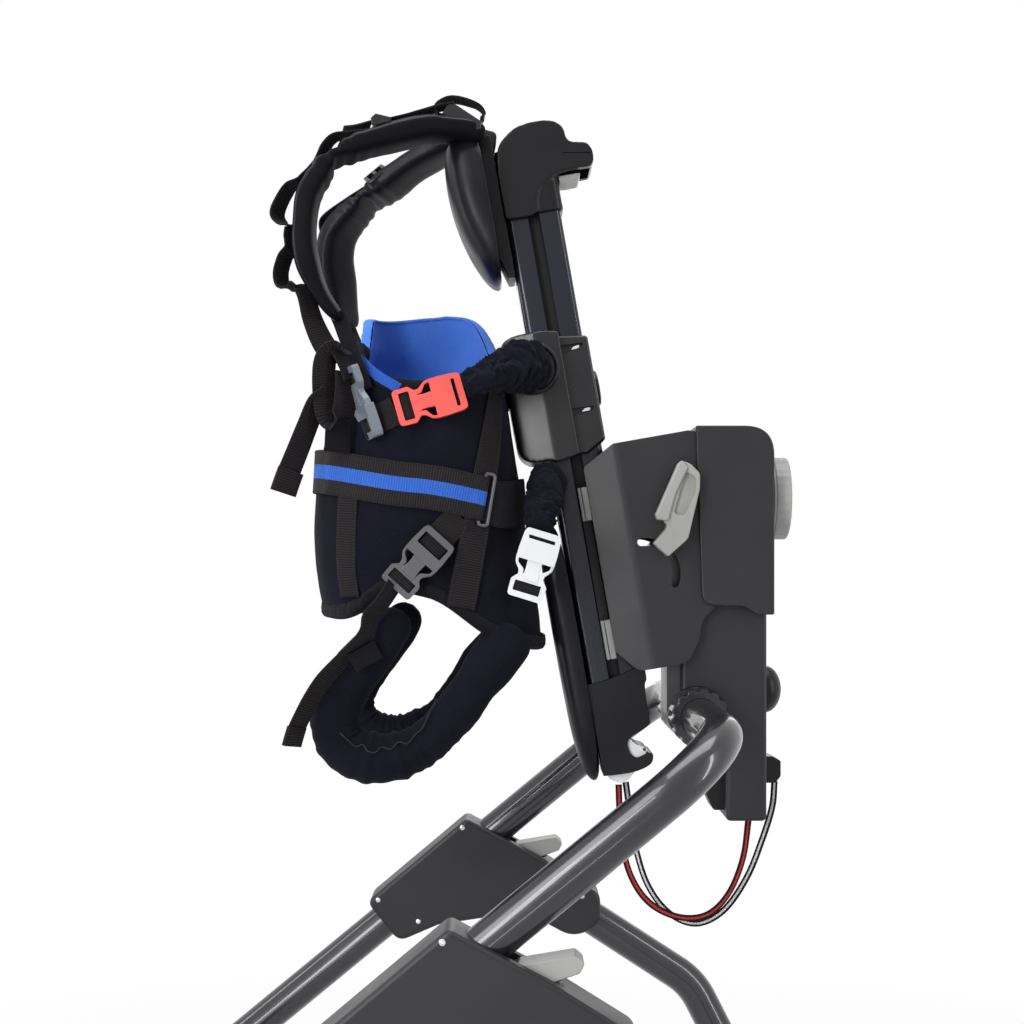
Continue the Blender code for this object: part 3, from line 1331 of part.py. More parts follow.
def vest(axis):
    """The padded vest: an oval wall, open above and below, with lowered armholes."""
    shape = bmesh.new()
    grid = []
    for row in range(VEST_ROWS + 1):
        ring = []
        for column in range(VEST_COLUMNS):
            angle = 2 * math.pi * column / VEST_COLUMNS
            low, top = vest_edges(angle)
            z = low + (top - low) * row / VEST_ROWS
            front, back, half = vest_section(z)
            reach = (back - front) / 2.0
            across = math.copysign(abs(math.sin(angle)) ** 0.75, math.sin(angle))
            along = math.copysign(abs(math.cos(angle)) ** 0.75, math.cos(angle))
            bulge = 1.0 + 0.03 * math.sin(math.pi * row / VEST_ROWS)
            ring.append(shape.verts.new(((front + back) / 2 - reach * along, -half * across * bulge, z)))
        grid.append(ring)
    for lower, upper in zip(grid, grid[1:]):
        for column in range(VEST_COLUMNS):
            other = (column + 1) % VEST_COLUMNS
            shape.faces.new((lower[column], lower[other], upper[other], upper[column]))
    bmesh.ops.recalc_face_normals(shape, faces=shape.faces)
    mesh = bpy.data.meshes.new("vest")
    shape.to_mesh(mesh)
    shape.free()
    body = as_part(mesh, "vest", "fabric")
    wall = body.modifiers.new("wall", "SOLIDIFY")
    wall.thickness = VEST_WALL
    wall.offset = -1.0
    smooth(body, math.radians(60))
    carry(body, axis)
    return body


def shoulder_strap(side, axis):
    """A padded strap from the back pad's top, over the shoulder, down to the front of the vest."""
    knots = [
        (-0.006, 0.033, 1.1540), (-0.040, 0.044, 1.163), (-0.076, 0.058, 1.156), (-0.111, 0.070, 1.137),
        (-0.137, 0.078, 1.114), (-0.152, 0.083, 1.088), (-0.158, 0.086, 1.060), (-0.157, 0.087, 1.034),
        (-0.152, 0.086, 1.006), (-0.145, 0.083, 0.982), (-0.1400, 0.078, 0.960), (-0.1370, 0.072, 0.940),
    ]
    path = smooth_path([(x, side * y, z) for x, y, z in knots], 16)
    widths = [STRAP_WIDTH * (0.62 if index in (0, 15) else 1.0) for index in range(16)]
    depths = [STRAP_THICKNESS * (0.6 if index in (0, 15) else 1.0) for index in range(16)]
    strap = pad_along("shoulder_strap_" + SIDE_NAMES[side], path, widths, depths, "vinyl", sides=8)
    carry(strap, axis)
    return strap


def leg_loop(side, axis):
    """A gathered padded roll under the thigh, from the vest's rear hem to its front."""
    knots = [
        (0.0115, 0.6944), (-0.012, 0.664), (-0.036, 0.632), (-0.064, 0.608), (-0.097, 0.600), (-0.126, 0.611),
        (-0.133, 0.640), (-0.119, 0.670), (-0.093, 0.701), (-0.076, 0.727),
    ]
    path = smooth_path([(x, side * LOOP_Y, z) for x, z in knots], 16)
    sizes = [2 * LOOP_RADIUS * (0.72 if index == 0 else 0.5 if index == 15 else 0.75 if index == 14 else 1.0)
             for index in range(16)]
    loop = pad_along("leg_loop_" + SIDE_NAMES[side], path, sizes, sizes, "fabric", sides=10)
    carry(loop, axis)
    return loop


def arm_sleeve(side, axis):
    """The gathered fabric sleeve from the bracket's side mouth to the side buckle."""
    knots = [(0.0352, 0.0495, 0.9395), (0.031, 0.070, 0.941), (0.014, 0.097, 0.943), (-0.010, 0.122, 0.942)]
    path = smooth_path([(x, side * y, z) for x, y, z in knots], 8)
    sizes = [2 * SLEEVE_RADIUS * share for share in (0.85, 1.0, 1.0, 1.0, 1.0, 1.0, 0.95, 0.7)]
    sleeve = pad_along("arm_sleeve_" + SIDE_NAMES[side], path, sizes, sizes, "fabric",
                       across=Vector((0.0, 0.0, 1.0)), sides=8)
    carry(sleeve, axis)
    return sleeve


def hip_sleeve(side, axis):
    """The gathered sleeve that hangs from the bracket's underside to the hip buckle."""
    knots = [(0.050, 0.036, 0.8458), (0.049, 0.054, 0.836), (0.046, 0.074, 0.818), (0.042, 0.092, 0.800)]
    path = smooth_path([(x, side * y, z) for x, y, z in knots], 8)
    sizes = [2 * SLEEVE_RADIUS * 0.8 * share for share in (0.85, 1.0, 1.0, 1.0, 1.0, 1.0, 0.9, 0.7)]
    sleeve = pad_along("hip_sleeve_" + SIDE_NAMES[side], path, sizes, sizes, "fabric",
                       across=Vector((1.0, 0.0, 0.0)), sides=8)
    carry(sleeve, axis)
    return sleeve


def buckle_outline(length, width):
    """Top view of a side release buckle: a socket half with finger notches and a frame half."""
    a = length / 2
    b = width / 2
    return rounded([
        (-a, -b * 0.8, 0.002), (-a, b * 0.8, 0.002), (-a * 0.55, b * 0.86, 0.002),
        (-a * 0.28, b * 0.55, 0.002), (a * 0.12, b * 0.95, 0.003), (a, b, 0.002), (a, -b, 0.002),
        (a * 0.12, -b * 0.95, 0.003), (-a * 0.28, -b * 0.55, 0.002), (-a * 0.55, -b * 0.86, 0.002),
    ])


def buckle(name, slot, centre, tilt, length, width, axis):
    """A side release buckle lying flat against the vest's left side, with its two webbing slots."""
    turn = Matrix.Rotation(-tilt, 4, "Y") @ Matrix.Rotation(math.pi / 2, 4, "X")
    frame = Matrix.Translation(centre) @ turn
    a = length / 2
    b = width / 2
    half_slot = 0.0028
    holes = []
    for middle in (-a * 0.80, a * 0.80):
        holes.append([(middle - half_slot, -b * 0.62), (middle + half_slot, -b * 0.62),
                      (middle + half_slot, b * 0.62), (middle - half_slot, b * 0.62)])
    mesh = outline_mesh(name, [buckle_outline(length, width), *holes], BUCKLE_THICKNESS, WORLD)
    part = as_part(mesh, name, slot, frame)
    smooth(part)
    carry(part, axis)
    return part


BUCKLES = [
    ("side_buckle_left", "red_plastic", (-0.051, -0.1052, 0.9060), 16),
    ("thigh_buckle_left", "dark_grey_plastic", (-0.061, -0.1076, 0.7680), 48),
    ("hip_buckle_left", "white_plastic", (0.0375, -0.0928, 0.7640), 72),
]


def cord(name, knots, axis):
    """A flat woven cord, plain here: a round tube along the route that hangs in a U."""
    path = smooth_path(knots, 26)
    part = as_part(tube_mesh(name, path, CORD_WIDTH / 2, TUBE_SIDE_LEVEL // 2), name, "cord_weave")
    smooth(part)
    carry(part, axis)
    return part


RED_CORD_ROUTE = [
    (0.1155, -0.005, 0.5665), (0.1160, -0.005, 0.550), (0.1175, -0.006, 0.520), (0.1260, -0.006, 0.485),
    (0.1430, -0.007, 0.460), (0.1690, -0.007, 0.447), (0.1950, -0.007, 0.449), (0.2150, -0.006, 0.468),
    (0.2280, -0.006, 0.500), (0.2335, -0.005, 0.5373),
]
WHITE_CORD_ROUTE = [
    (0.1225, 0.005, 0.5675), (0.1250, 0.005, 0.550), (0.1300, 0.006, 0.515), (0.1420, 0.006, 0.475),
    (0.1620, 0.007, 0.448), (0.1870, 0.007, 0.438), (0.2120, 0.007, 0.450), (0.2330, 0.006, 0.480),
    (0.2470, 0.005, 0.515), (0.2560, 0.004, 0.545), (0.2580, 0.003, 0.5685),
]


def side_frames():
    for side in (LEFT, RIGHT):
        label = SIDE_NAMES[side]
        y = side * FRAME_Y
        main_tube(side)
        hub_collar(side)
        for outer in (True, False):
            housing_shell(side, outer)
        leg_axis = axis_at("rear_leg_axis_" + label, (LEG_PIVOT_X, y, LEG_PIVOT_Z))
        rear_leg(side, leg_axis)
        lever_axis = axis_at("fold_lever_axis_" + label, (LEVER_EYE_X, y, LEVER_EYE_Z))
        fold_lever(side, lever_axis)
        for place, stem_x in (("front", FRONT_SOCKET_X), ("rear", REAR_SOCKET_X)):
            number = place + "_" + label
            swivel = axis_at("swivel_axis_" + number, (stem_x, y, SOCKET_LOW))
            caster_fork("fork_" + number, stem_x, y, swivel)
            spin = axis_at("wheel_axis_" + number, (stem_x + CASTER_TRAIL, y, AXLE_Z))
            caster_wheel(number, stem_x + CASTER_TRAIL, y, spin)
    hub_axle()


def column():
    axis = axis_at("column_fold_axis", (HUB_X, 0.0, HUB_Z))
    column_cover(axis)
    column_post(axis)
    head_cover(axis)
    cord_clip(axis)
    pivot_pin(axis)
    clamp_bolt(axis)
    tension_knob(axis_at("tension_knob_axis", (COLUMN_REAR_X, 0.0, TENSION_KNOB_Z)))
    dome_knob(axis_at("dome_knob_axis", (COLUMN_REAR_X, 0.0, DOME_KNOB_Z)))
    bolt_x, bolt_z = clamp_bolt_place()
    tilt_lever(axis_at("tilt_lever_axis", (bolt_x, -TILT_LEVER_OFFSET, bolt_z)))


def mast_and_carrier():
    tilt = axis_at("tilt_axis", (PIVOT_X, 0.0, PIVOT_Z), LEAN)
    carrier(tilt)
    for side in (LEFT, RIGHT):
        slide_rail(side, tilt)
    height = axis_at("mast_slide_axis", (PIVOT_X, 0.0, PIVOT_Z), LEAN)
    mast_extrusion(height)
    top_cap(height)
    foot_cap(height)
    back_plate(height)
    back_pad(height)
    pelvic_pad(height)
    lever_root = MAST_HEAD @ Vector((-0.0145, 0.0, -0.0365))
    grip_lever(axis_at("grip_lever_axis", lever_root, LEAN))


def harness():
    slide = axis_at("chest_bracket_axis", (PIVOT_X, 0.0, PIVOT_Z), LEAN)
    chest_bracket(slide)
    knob_place = MAST @ Vector((BRACKET_REAR_V, 0.0, BRACKET_KNOB_U))
    bracket_knob(axis_at("bracket_knob_axis", knob_place, LEAN))
    vest(slide)
    for side in (LEFT, RIGHT):
        shoulder_strap(side, slide)
        leg_loop(side, slide)
        arm_sleeve(side, slide)
        hip_sleeve(side, slide)
    for name, slot, centre, tilt in BUCKLES:
        buckle(name, slot, centre, math.radians(tilt), BUCKLE_LENGTH, BUCKLE_WIDTH, slide)


def cords():
    foot = axis_at("cord_axis", (PIVOT_X, 0.0, PIVOT_Z), LEAN)
    cord("red_cord", RED_CORD_ROUTE, foot)
    cord("white_cord", WHITE_CORD_ROUTE, foot)


side_frames()
column()
mast_and_carrier()
harness()
cords()
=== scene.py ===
"""Looks of the standing frame: finishes, fine hard parts, cords and harness.

Metres, in the row frame. The user faces -X, and the user's left side is at -Y, towards the camera.
Points with V and U lie in the mast's own frame: V across it towards the rear, U up along it from the tilt pin.
"""

import json
import math

import bmesh
import bpy
from mathutils import Matrix, Vector, noise


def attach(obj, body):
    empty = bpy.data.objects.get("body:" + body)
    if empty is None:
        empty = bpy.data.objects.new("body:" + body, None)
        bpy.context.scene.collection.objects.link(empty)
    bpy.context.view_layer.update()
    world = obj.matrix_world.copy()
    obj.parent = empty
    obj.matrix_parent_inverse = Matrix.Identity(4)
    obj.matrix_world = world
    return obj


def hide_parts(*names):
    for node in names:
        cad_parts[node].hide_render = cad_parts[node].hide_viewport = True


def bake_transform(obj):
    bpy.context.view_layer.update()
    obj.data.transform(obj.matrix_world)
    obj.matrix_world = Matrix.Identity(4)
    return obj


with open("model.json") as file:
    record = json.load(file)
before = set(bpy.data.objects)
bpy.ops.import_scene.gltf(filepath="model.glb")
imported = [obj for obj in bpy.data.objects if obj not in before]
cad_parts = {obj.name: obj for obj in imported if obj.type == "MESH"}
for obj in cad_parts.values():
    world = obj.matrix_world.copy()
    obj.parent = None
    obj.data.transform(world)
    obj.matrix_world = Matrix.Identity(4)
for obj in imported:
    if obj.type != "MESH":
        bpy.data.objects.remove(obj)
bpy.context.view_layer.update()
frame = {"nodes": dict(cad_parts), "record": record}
noise.seed_set(3)  # the vector noise of the sleeves' folds is the same in each run

# Main sizes, as in the solids
GAP = 0.0003
RUNNING_GAP = 0.0005
FRAME_Y = 0.270
TUBE_RADIUS = 0.0175
HUB_X = 0.183
HUB_Z = 0.632
MAIN_BEND = 0.070
MAIN_SLOPE = math.radians(39.4)
FRONT_SOCKET_X = -0.344
REAR_SOCKET_X = 0.274
SOCKET_RADIUS = 0.021
SOCKET_LOW = 0.166
SOCKET_HIGH = 0.226
LEG_PIVOT_X = 0.084
LEG_PIVOT_Z = 0.402
LEG_TOP_SLOPE = math.radians(33)
LEG_LOW_SLOPE = math.radians(63)
LEG_BEND = 0.075
LEG_SLEEVE_RADIUS = 0.0195
LEG_SLEEVE_HALF = 0.0183
LEG_FOLD = math.radians(65)
HOUSING_HALF = 0.027
LEVER_HALF = 0.013
WHEEL_RADIUS = 0.075
TYRE_WIDTH = 0.030
TYRE_DEPTH = 0.017
RIM_WIDTH = 0.026
CASTER_TRAIL = 0.035
AXLE_RADIUS = 0.006
FORK_SIDE_GAP = 0.003
FORK_WALL = 0.004
CROWN_THICKNESS = 0.011
COLLAR_RADIUS = 0.026
COLLAR_LENGTH = 0.030
COLLAR_SEAT = 0.012
COLUMN_HALF = 0.038
COLUMN_FRONT_X = 0.169
COLUMN_UPPER_FRONT_X = 0.191
COLUMN_FOOT_FRONT_X = 0.209
COLUMN_REAR_X = 0.245
COLUMN_TOP_Z = 0.884
COLUMN_FOOT_Z = 0.538
HEAD_WALL = 0.004
HEAD_INNER_HALF = 0.050
HEAD_FRONT_X = 0.180
HEAD_LOW_Z = 0.722
TENSION_KNOB_Z = 0.826
DOME_KNOB_Z = 0.653
PIVOT_X = 0.136
PIVOT_Z = 0.758
LEAN = math.radians(10)
SLOT_RADIUS = 0.028
SLOT_HALF = 0.0034
SLOT_FROM = math.radians(-18)
SLOT_TO = math.radians(97)
BOLT_ANGLE = math.radians(52)
CARRIER_HALF = 0.048
CARRIER_WALL = 0.004
CARRIER_FRONT_V = -0.037
CARRIER_CREASE_V = -0.007
CARRIER_FRONT_INSET = 0.008
CARRIER_TOP_U = 0.118
CARRIER_LOW_U = -0.084
CARRIER_REAR_V = 0.095
TILT_LEVER_OFFSET = 0.0485
TILT_LEVER_ROOT = 0.008
TILT_LEVER_BODY = 0.013
MAST_FRONT_V = -0.066
MAST_REAR_V = -0.016
MAST_HALF = 0.023
MAST_LOW_U = -0.132
MAST_TOP_U = 0.395
T_SLOT_V = -0.041
T_MOUTH_HALF = 0.0047
CAP_HALF = 0.030
FOOT_CAP_HALF = 0.027
GRIP_LEVER_HALF = 0.020
PAD_HALF = 0.032
BACK_PAD_HALF = 0.062
BRACKET_LOW_U = 0.112
BRACKET_TOP_U = 0.226
BRACKET_HALF = 0.042
BRACKET_REAR_HALF = 0.0335
BRACKET_REAR_V = -0.0125
BRACKET_KNOB_U = 0.173

LEFT = -1
RIGHT = 1
SIDE_NAMES = {LEFT: "left", RIGHT: "right"}
WORLD = Matrix.Identity(4)
MAST = Matrix.Translation((PIVOT_X, 0.0, PIVOT_Z)) @ Matrix.Rotation(-LEAN, 4, "Y")


# Camera, floor and light

def add_object(name, data, place=WORLD):
    thing = bpy.data.objects.new(name, data)
    thing.matrix_world = place
    bpy.context.scene.collection.objects.link(thing)
    return thing


def add_node(tree, kind, inputs=(), **settings):
    """A node whose inputs get values, or links from the outputs that are given for them."""
    made = tree.nodes.new(kind)
    for key, value in settings.items():
        setattr(made, key, value)
    for socket, value in dict(inputs).items():
        if isinstance(value, bpy.types.NodeSocket):
            tree.links.new(value, made.inputs[socket])
        else:
            made.inputs[socket].default_value = value
    return made


def set_camera():
    """Level, along +Y, with its axis a little below the middle of the picture."""
    lens = bpy.data.cameras.new("camera")
    lens.lens = 60.1
    lens.sensor_width = 36.0
    lens.shift_x = 0.003
    lens.shift_y = 0.047
    camera = add_object("camera", lens)
    camera.location = (0.016, -1.555, 0.770)
    camera.rotation_euler = (math.pi / 2, 0.0, 0.0)
    bpy.context.scene.camera = camera


def softbox(name, place, target, size, power):
    lamp = bpy.data.lights.new(name, "AREA")
    lamp.shape = "RECTANGLE"
    lamp.size, lamp.size_y = size
    lamp.energy = power
    holder = add_object(name, lamp)
    holder.location = place
    holder.rotation_euler = (Vector(target) - Vector(place)).to_track_quat("-Z", "Y").to_euler()
    holder.visible_camera = False


def seen_share(tree, share):
    """How much of a background shows as it is: to the camera, and in what mirrors it or lets it through."""
    rays = add_node(tree, "ShaderNodeLightPath").outputs
    total = rays["Is Camera Ray"]
    for name in ("Is Glossy Ray", "Is Transmission Ray"):
        total = add_node(tree, "ShaderNodeMath", {0: total, 1: rays[name]}, operation="MAXIMUM").outputs[0]
    return add_node(tree, "ShaderNodeMath", {0: total, 1: share}, operation="MULTIPLY").outputs[0]


def set_studio():
    """A white room seen by the camera and by reflections, and soft boxes round the object."""
    scene = bpy.context.scene
    scene.view_settings.view_transform = "Standard"
    scene.world = bpy.data.worlds.new("studio")
    scene.world.use_nodes = True
    tree = scene.world.node_tree
    tree.nodes.clear()
    fill = add_node(tree, "ShaderNodeBackground", {"Color": (0.92, 0.95, 1.0, 1.0), "Strength": 0.32})
    seen = add_node(tree, "ShaderNodeBackground", {"Color": (1.0, 1.0, 1.0, 1.0), "Strength": 1.0})
    room = add_node(tree, "ShaderNodeMixShader",
                    {"Fac": seen_share(tree, 1.0), 1: fill.outputs[0], 2: seen.outputs[0]})
    add_node(tree, "ShaderNodeOutputWorld", {"Surface": room.outputs[0]})
    softbox("key", (-1.12, -1.95, 1.15), (0.08, 0.0, 0.78), (0.55, 1.5), 34.0)
    softbox("high_key", (-1.3, -1.3, 2.1), (0.0, 0.0, 0.75), (1.0, 1.0), 20.0)
    softbox("top", (0.1, -0.2, 2.6), (0.05, 0.0, 0.7), (2.0, 1.0), 34.0)
    softbox("rim", (1.9, -0.9, 1.2), (0.1, 0.0, 0.75), (0.20, 1.8), 15.0)
    softbox("front_rim", (-2.0, 0.3, 1.0), (0.0, 0.0, 0.75), (0.25, 1.8), 12.0)
    softbox("low_card", (-0.4, -2.3, 0.15), (0.0, 0.0, 0.6), (1.6, 0.12), 4.0)
    softbox("back", (0.4, 2.2, 1.5), (0.0, 0.0, 0.75), (1.4, 1.2), 9.0)


def set_floor():
    """A pale floor that keeps the object's shadow and reads white where nothing shades it."""
    mesh = bpy.data.meshes.new("floor")
    reach = 14.0
    mesh.from_pydata([(-reach, -reach, 0), (reach, -reach, 0), (reach, reach, 0), (-reach, reach, 0)], [],
                     [(0, 1, 2, 3)])
    floor = add_object("floor", mesh)
    pale = bpy.data.materials.new("floor_white")
    pale.use_nodes = True
    tree = pale.node_tree
    tree.nodes.clear()
    matt = add_node(tree, "ShaderNodeBsdfDiffuse", {"Color": (0.86, 0.86, 0.86, 1.0)})
    glow = add_node(tree, "ShaderNodeEmission", {"Strength": 1.02})
    here = add_node(tree, "ShaderNodeTexCoord").outputs["Object"]
    away = add_node(tree, "ShaderNodeVectorMath", {0: here}, operation="LENGTH").outputs["Value"]
    fade = add_node(tree, "ShaderNodeMapRange",
                    {"Value": away, "From Min": 0.6, "From Max": 1.9, "To Min": 0.45, "To Max": 1.0})
    mix = add_node(tree, "ShaderNodeMixShader",
                   {"Fac": seen_share(tree, fade.outputs["Result"]), 1: matt.outputs[0], 2: glow.outputs[0]})
    add_node(tree, "ShaderNodeOutputMaterial", {"Surface": mix.outputs[0]})
    mesh.materials.append(pale)


set_camera()
set_studio()
set_floor()


# Finishes

class Finish:
    """A procedural finish: one principled shader, with patterns linked to its colour, roughness and normal."""

    def __init__(self, name, colour, roughness, **sockets):
        self.material = bpy.data.materials.new(name)
        self.material.use_nodes = True
        self.inputs = self.material.node_tree.nodes["Principled BSDF"].inputs
        self.inputs["Base Color"].default_value = (*colour, 1.0)
        self.inputs["Roughness"].default_value = roughness
        for socket, value in sockets.items():
            self.inputs[socket.replace("_", " ")].default_value = value
        self.place = self.node("ShaderNodeTexCoord").outputs["Object"]
        self.normal = None

    def node(self, kind, inputs=(), **settings):
        return add_node(self.material.node_tree, kind, inputs, **settings)

    def drive(self, socket, source):
        self.material.node_tree.links.new(source, self.inputs[socket])

    def speckle(self, scale, detail=2.0, place=None):
        return self.node("ShaderNodeTexNoise", {"Scale": scale, "Detail": detail,
                                                "Vector": self.place if place is None else place}).outputs["Fac"]

    def cells(self, scale, feature="F1"):
        return self.node("ShaderNodeTexVoronoi", {"Scale": scale, "Vector": self.place},
                         feature=feature).outputs["Distance"]

    def sums(self, operation, first, second=0.0):
        return self.node("ShaderNodeMath", {0: first, 1: second}, operation=operation).outputs[0]

    def spread(self, value, low=0.0, high=1.0, from_low=0.3, from_high=0.7):
        """The value's range, stretched to run from low to high."""
        return self.node("ShaderNodeMapRange", {"Value": value, "From Min": from_low, "From Max": from_high,
                                                "To Min": low, "To Max": high}).outputs["Result"]

    def mixed(self, share, first, second):
        return self.node("ShaderNodeMix", {"A": first, "B": second, "Factor": share},
                         data_type="RGBA").outputs["Result"]

    def tones(self, share, dark, light):
        """Colour that runs from dark to light with a share from 0 to 1."""
        colour = self.mixed(share, (*dark, 1.0), (*light, 1.0))
        self.drive("Base Color", colour)
        return colour

    def shade(self, share, low, high):
        self.drive("Roughness", self.spread(share, low, high))

    def relief(self, height, distance, strength):
        inputs = {"Distance": distance, "Strength": strength, "Height": height}
        if self.normal is not None:
            inputs["Normal"] = self.normal
        self.normal = self.node("ShaderNodeBump", inputs).outputs["Normal"]
        self.drive("Normal", self.normal)

    def run(self):
        """The piece's own map: U across it or round it, V along it in metres."""
        uv = self.node("ShaderNodeUVMap", uv_map="run").outputs["UV"]
        parts = self.node("ShaderNodeSeparateXYZ", {"Vector": uv}).outputs
        return parts["X"], parts["Y"]

    def ribs(self, value, period):
        """A soft wave along a value, from 0 to 1."""
        wave = self.sums("SINE", self.sums("MULTIPLY", value, 2 * math.pi / period))
        return self.spread(wave, 0.0, 1.0, -1.0, 1.0)


def clouded(name, colour, roughness, cloud, dark, light, sheen, smooth, rough, *grains, **sockets):
    """Cloudy tones, an uneven sheen and grains of (scale, detail, depth, strength) over each other."""
    finish = Finish(name, colour, roughness, **sockets)
    finish.tones(finish.spread(finish.speckle(*cloud)), dark, light)
    finish.shade(finish.speckle(*sheen), smooth, rough)
    for scale, detail, depth, strength in grains:
        finish.relief(finish.speckle(scale, detail), depth, strength)
    return finish


def tube_paint():
    """Dark grey metallic paint under a clear coat, with fine flakes."""
    finish = Finish("tube_paint", (0.042, 0.042, 0.046), 0.28, Metallic=0.85, Coat_Weight=0.6, Coat_Roughness=0.05)
    flakes = finish.cells(2600.0)
    finish.tones(finish.spread(flakes, 0.0, 1.0, 0.2, 0.7), (0.022, 0.022, 0.025), (0.038, 0.038, 0.042))
    finish.shade(finish.speckle(60.0, 3.0), 0.27, 0.36)
    finish.relief(finish.speckle(420.0), 0.00001, 0.15)
    return finish.material


def moulded(name, colour, roughness, grain, depth, gloss):
    """Injection moulded plastic: spark eroded grain, faint cloudiness and a rubbed sheen."""
    dark, light = (tuple(min(1.0, channel * factor) for channel in colour) for factor in (0.86, 1.16))
    finish = clouded(name, colour, roughness, (9.0, 3.0), dark, light, (24.0, 4.0), roughness - 0.05,
                     roughness + 0.05, (grain, 2.0, depth, 0.5), Specular_IOR_Level=gloss)
    finish.relief(finish.cells(grain * 0.9), depth * 0.6, 0.4)
    return finish.material


def anodised():
    """Black anodised extrusion with a blue cast and fine drawn lines along it."""
    finish = Finish("anodised_black", (0.010, 0.0104, 0.019), 0.25, Metallic=0.6, Coat_Weight=0.16,
                    Coat_Roughness=0.12)
    drawn = finish.node("ShaderNodeMapping", {"Rotation": (0.0, -LEAN, 0.0), "Vector": finish.place,
                                              "Scale": (1 / 1400.0, 1 / 1400.0, 1 / 5.0)}, vector_type="TEXTURE")
    streaks = finish.speckle(1.0, 2.0, drawn.outputs["Vector"])
    finish.tones(finish.spread(streaks), (0.0096, 0.0100, 0.0182), (0.0106, 0.0110, 0.0198))
    finish.shade(streaks, 0.25, 0.29)
    finish.relief(streaks, 0.00001, 0.04)
    return finish.material


def bare_steel():
    return clouded("bright_steel", (0.55, 0.56, 0.58), 0.25, (90.0, 4.0), (0.45, 0.46, 0.48), (0.66, 0.67, 0.69),
                   (300.0, 3.0), 0.18, 0.34, (900.0, 2.0, 0.00003, 0.3), Metallic=1.0).material


def black_enamel():
    return clouded("black_enamel", (0.020, 0.020, 0.023), 0.38, (14.0, 3.0), (0.012, 0.012, 0.014),
                   (0.024, 0.024, 0.028), (40.0, 3.0), 0.32, 0.46, (650.0, 2.0, 0.00006, 0.4),
                   Coat_Weight=0.2, Coat_Roughness=0.2).material


def tyre_rubber():
    return clouded("tyre_rubber", (0.060, 0.060, 0.063), 0.78, (30.0, 4.0), (0.045, 0.045, 0.048),
                   (0.085, 0.085, 0.088), (80.0, 3.0), 0.68, 0.88, (700.0, 3.0, 0.00015, 0.5)).material


def padded_vinyl():
    """Coated cloth over foam: fine leather grain, gloss, and soft creases."""
    finish = clouded("padded_vinyl", (0.004, 0.004, 0.006), 0.34, (18.0, 4.0), (0.003, 0.003, 0.005),
                     (0.007, 0.007, 0.010), (35.0, 4.0), 0.30, 0.44, (22.0, 3.0, 0.0014, 0.35),
                     Specular_IOR_Level=0.13)
    finish.relief(finish.cells(1100.0, "DISTANCE_TO_EDGE"), 0.00005, 0.30)
    return finish.material


def knitted_cloth(name, colour, light, sheen):
    """A soft napped knit: tiny loops, a fuzzy sheen and slow changes of tone."""
    finish = Finish(name, colour, 0.94, Sheen_Weight=sheen, Sheen_Roughness=0.5, Specular_IOR_Level=0.04)
    loops = finish.cells(1500.0)
    slow = finish.speckle(28.0, 4.0)
    both = finish.sums("ADD", finish.sums("MULTIPLY", loops, 0.6), finish.sums("MULTIPLY", slow, 0.7))
    finish.tones(finish.spread(both, 0.0, 1.0, 0.35, 0.95), colour, light)
    finish.shade(slow, 0.88, 0.99)
    finish.relief(slow, 0.0012, 0.35)
    finish.relief(loops, 0.00025, 0.5)
    return finish.material


def woven_band(name, dark, light, stripe_dark=None, stripe_light=None, period=0.0022):
    """Ribbed webbing: weft ribs across it and fine warp threads along it."""
    finish = Finish(name, dark, 0.78, Sheen_Weight=0.03, Specular_IOR_Level=0.06)
    across, along = finish.run()
    ribs = finish.ribs(along, period)
    threads = finish.ribs(across, 0.045)
    weave = finish.sums("MULTIPLY", ribs, finish.spread(threads, 0.55, 1.0, 0.0, 1.0))
    share = finish.sums("ADD", finish.sums("MULTIPLY", weave, 0.8),
                        finish.sums("MULTIPLY", finish.speckle(60.0, 3.0), 0.25))
    base = finish.tones(share, dark, light)
    if stripe_light:
        inside = finish.sums("MULTIPLY", finish.sums("GREATER_THAN", across, STRIPE_FROM),
                             finish.sums("LESS_THAN", across, STRIPE_TO))
        stripe = finish.mixed(share, (*stripe_dark, 1.0), (*stripe_light, 1.0))
        finish.drive("Base Color", finish.mixed(inside, base, stripe))
    finish.shade(share, 0.68, 0.88)
    finish.relief(weave, 0.00040, 1.0)
    return finish.material


# A stripe's edges, as shares of a band's width
STRIPE_FROM = 0.34
STRIPE_TO = 0.66
# Grains of moulded plastic: scale and depth
COARSE = (1600.0, 0.00006)
FINE = (900.0, 0.00003)
CORD_BLACK = ((0.006, 0.006, 0.007), (0.020, 0.020, 0.022))

FINISHES = {name: moulded(name, colour, roughness, *grain, gloss) for name, colour, roughness, grain, gloss in (
    ("charcoal_plastic", (0.0130, 0.0125, 0.0146), 0.42, COARSE, 0.28),
    ("black_plastic", (0.0050, 0.0047, 0.0058), 0.36, COARSE, 0.20),
    ("satin_black", (0.0066, 0.0062, 0.0076), 0.30, FINE, 0.34),
    ("worn_grey", (0.20, 0.20, 0.185), 0.5, COARSE, 0.5),
    ("slot_shadow", (0.004, 0.004, 0.005), 0.5, COARSE, 0.2),
    ("gloss_black", (0.008, 0.008, 0.010), 0.14, (700.0, 0.00003), 0.5),
    ("grey_plastic", (0.265, 0.265, 0.252), 0.42, COARSE, 0.4),
    ("coated_nylon", (0.0035, 0.0033, 0.0042), 0.60, (1500.0, 0.00012), 0.05),
    ("red_plastic", (0.62, 0.070, 0.058), 0.36, FINE, 0.45),
    ("white_plastic", (0.52, 0.53, 0.54), 0.36, FINE, 0.4),
    ("dark_grey_plastic", (0.060, 0.060, 0.066), 0.34, FINE, 0.4),
    ("blue_grey_plastic", (0.115, 0.130, 0.155), 0.38, FINE, 0.5),
)}
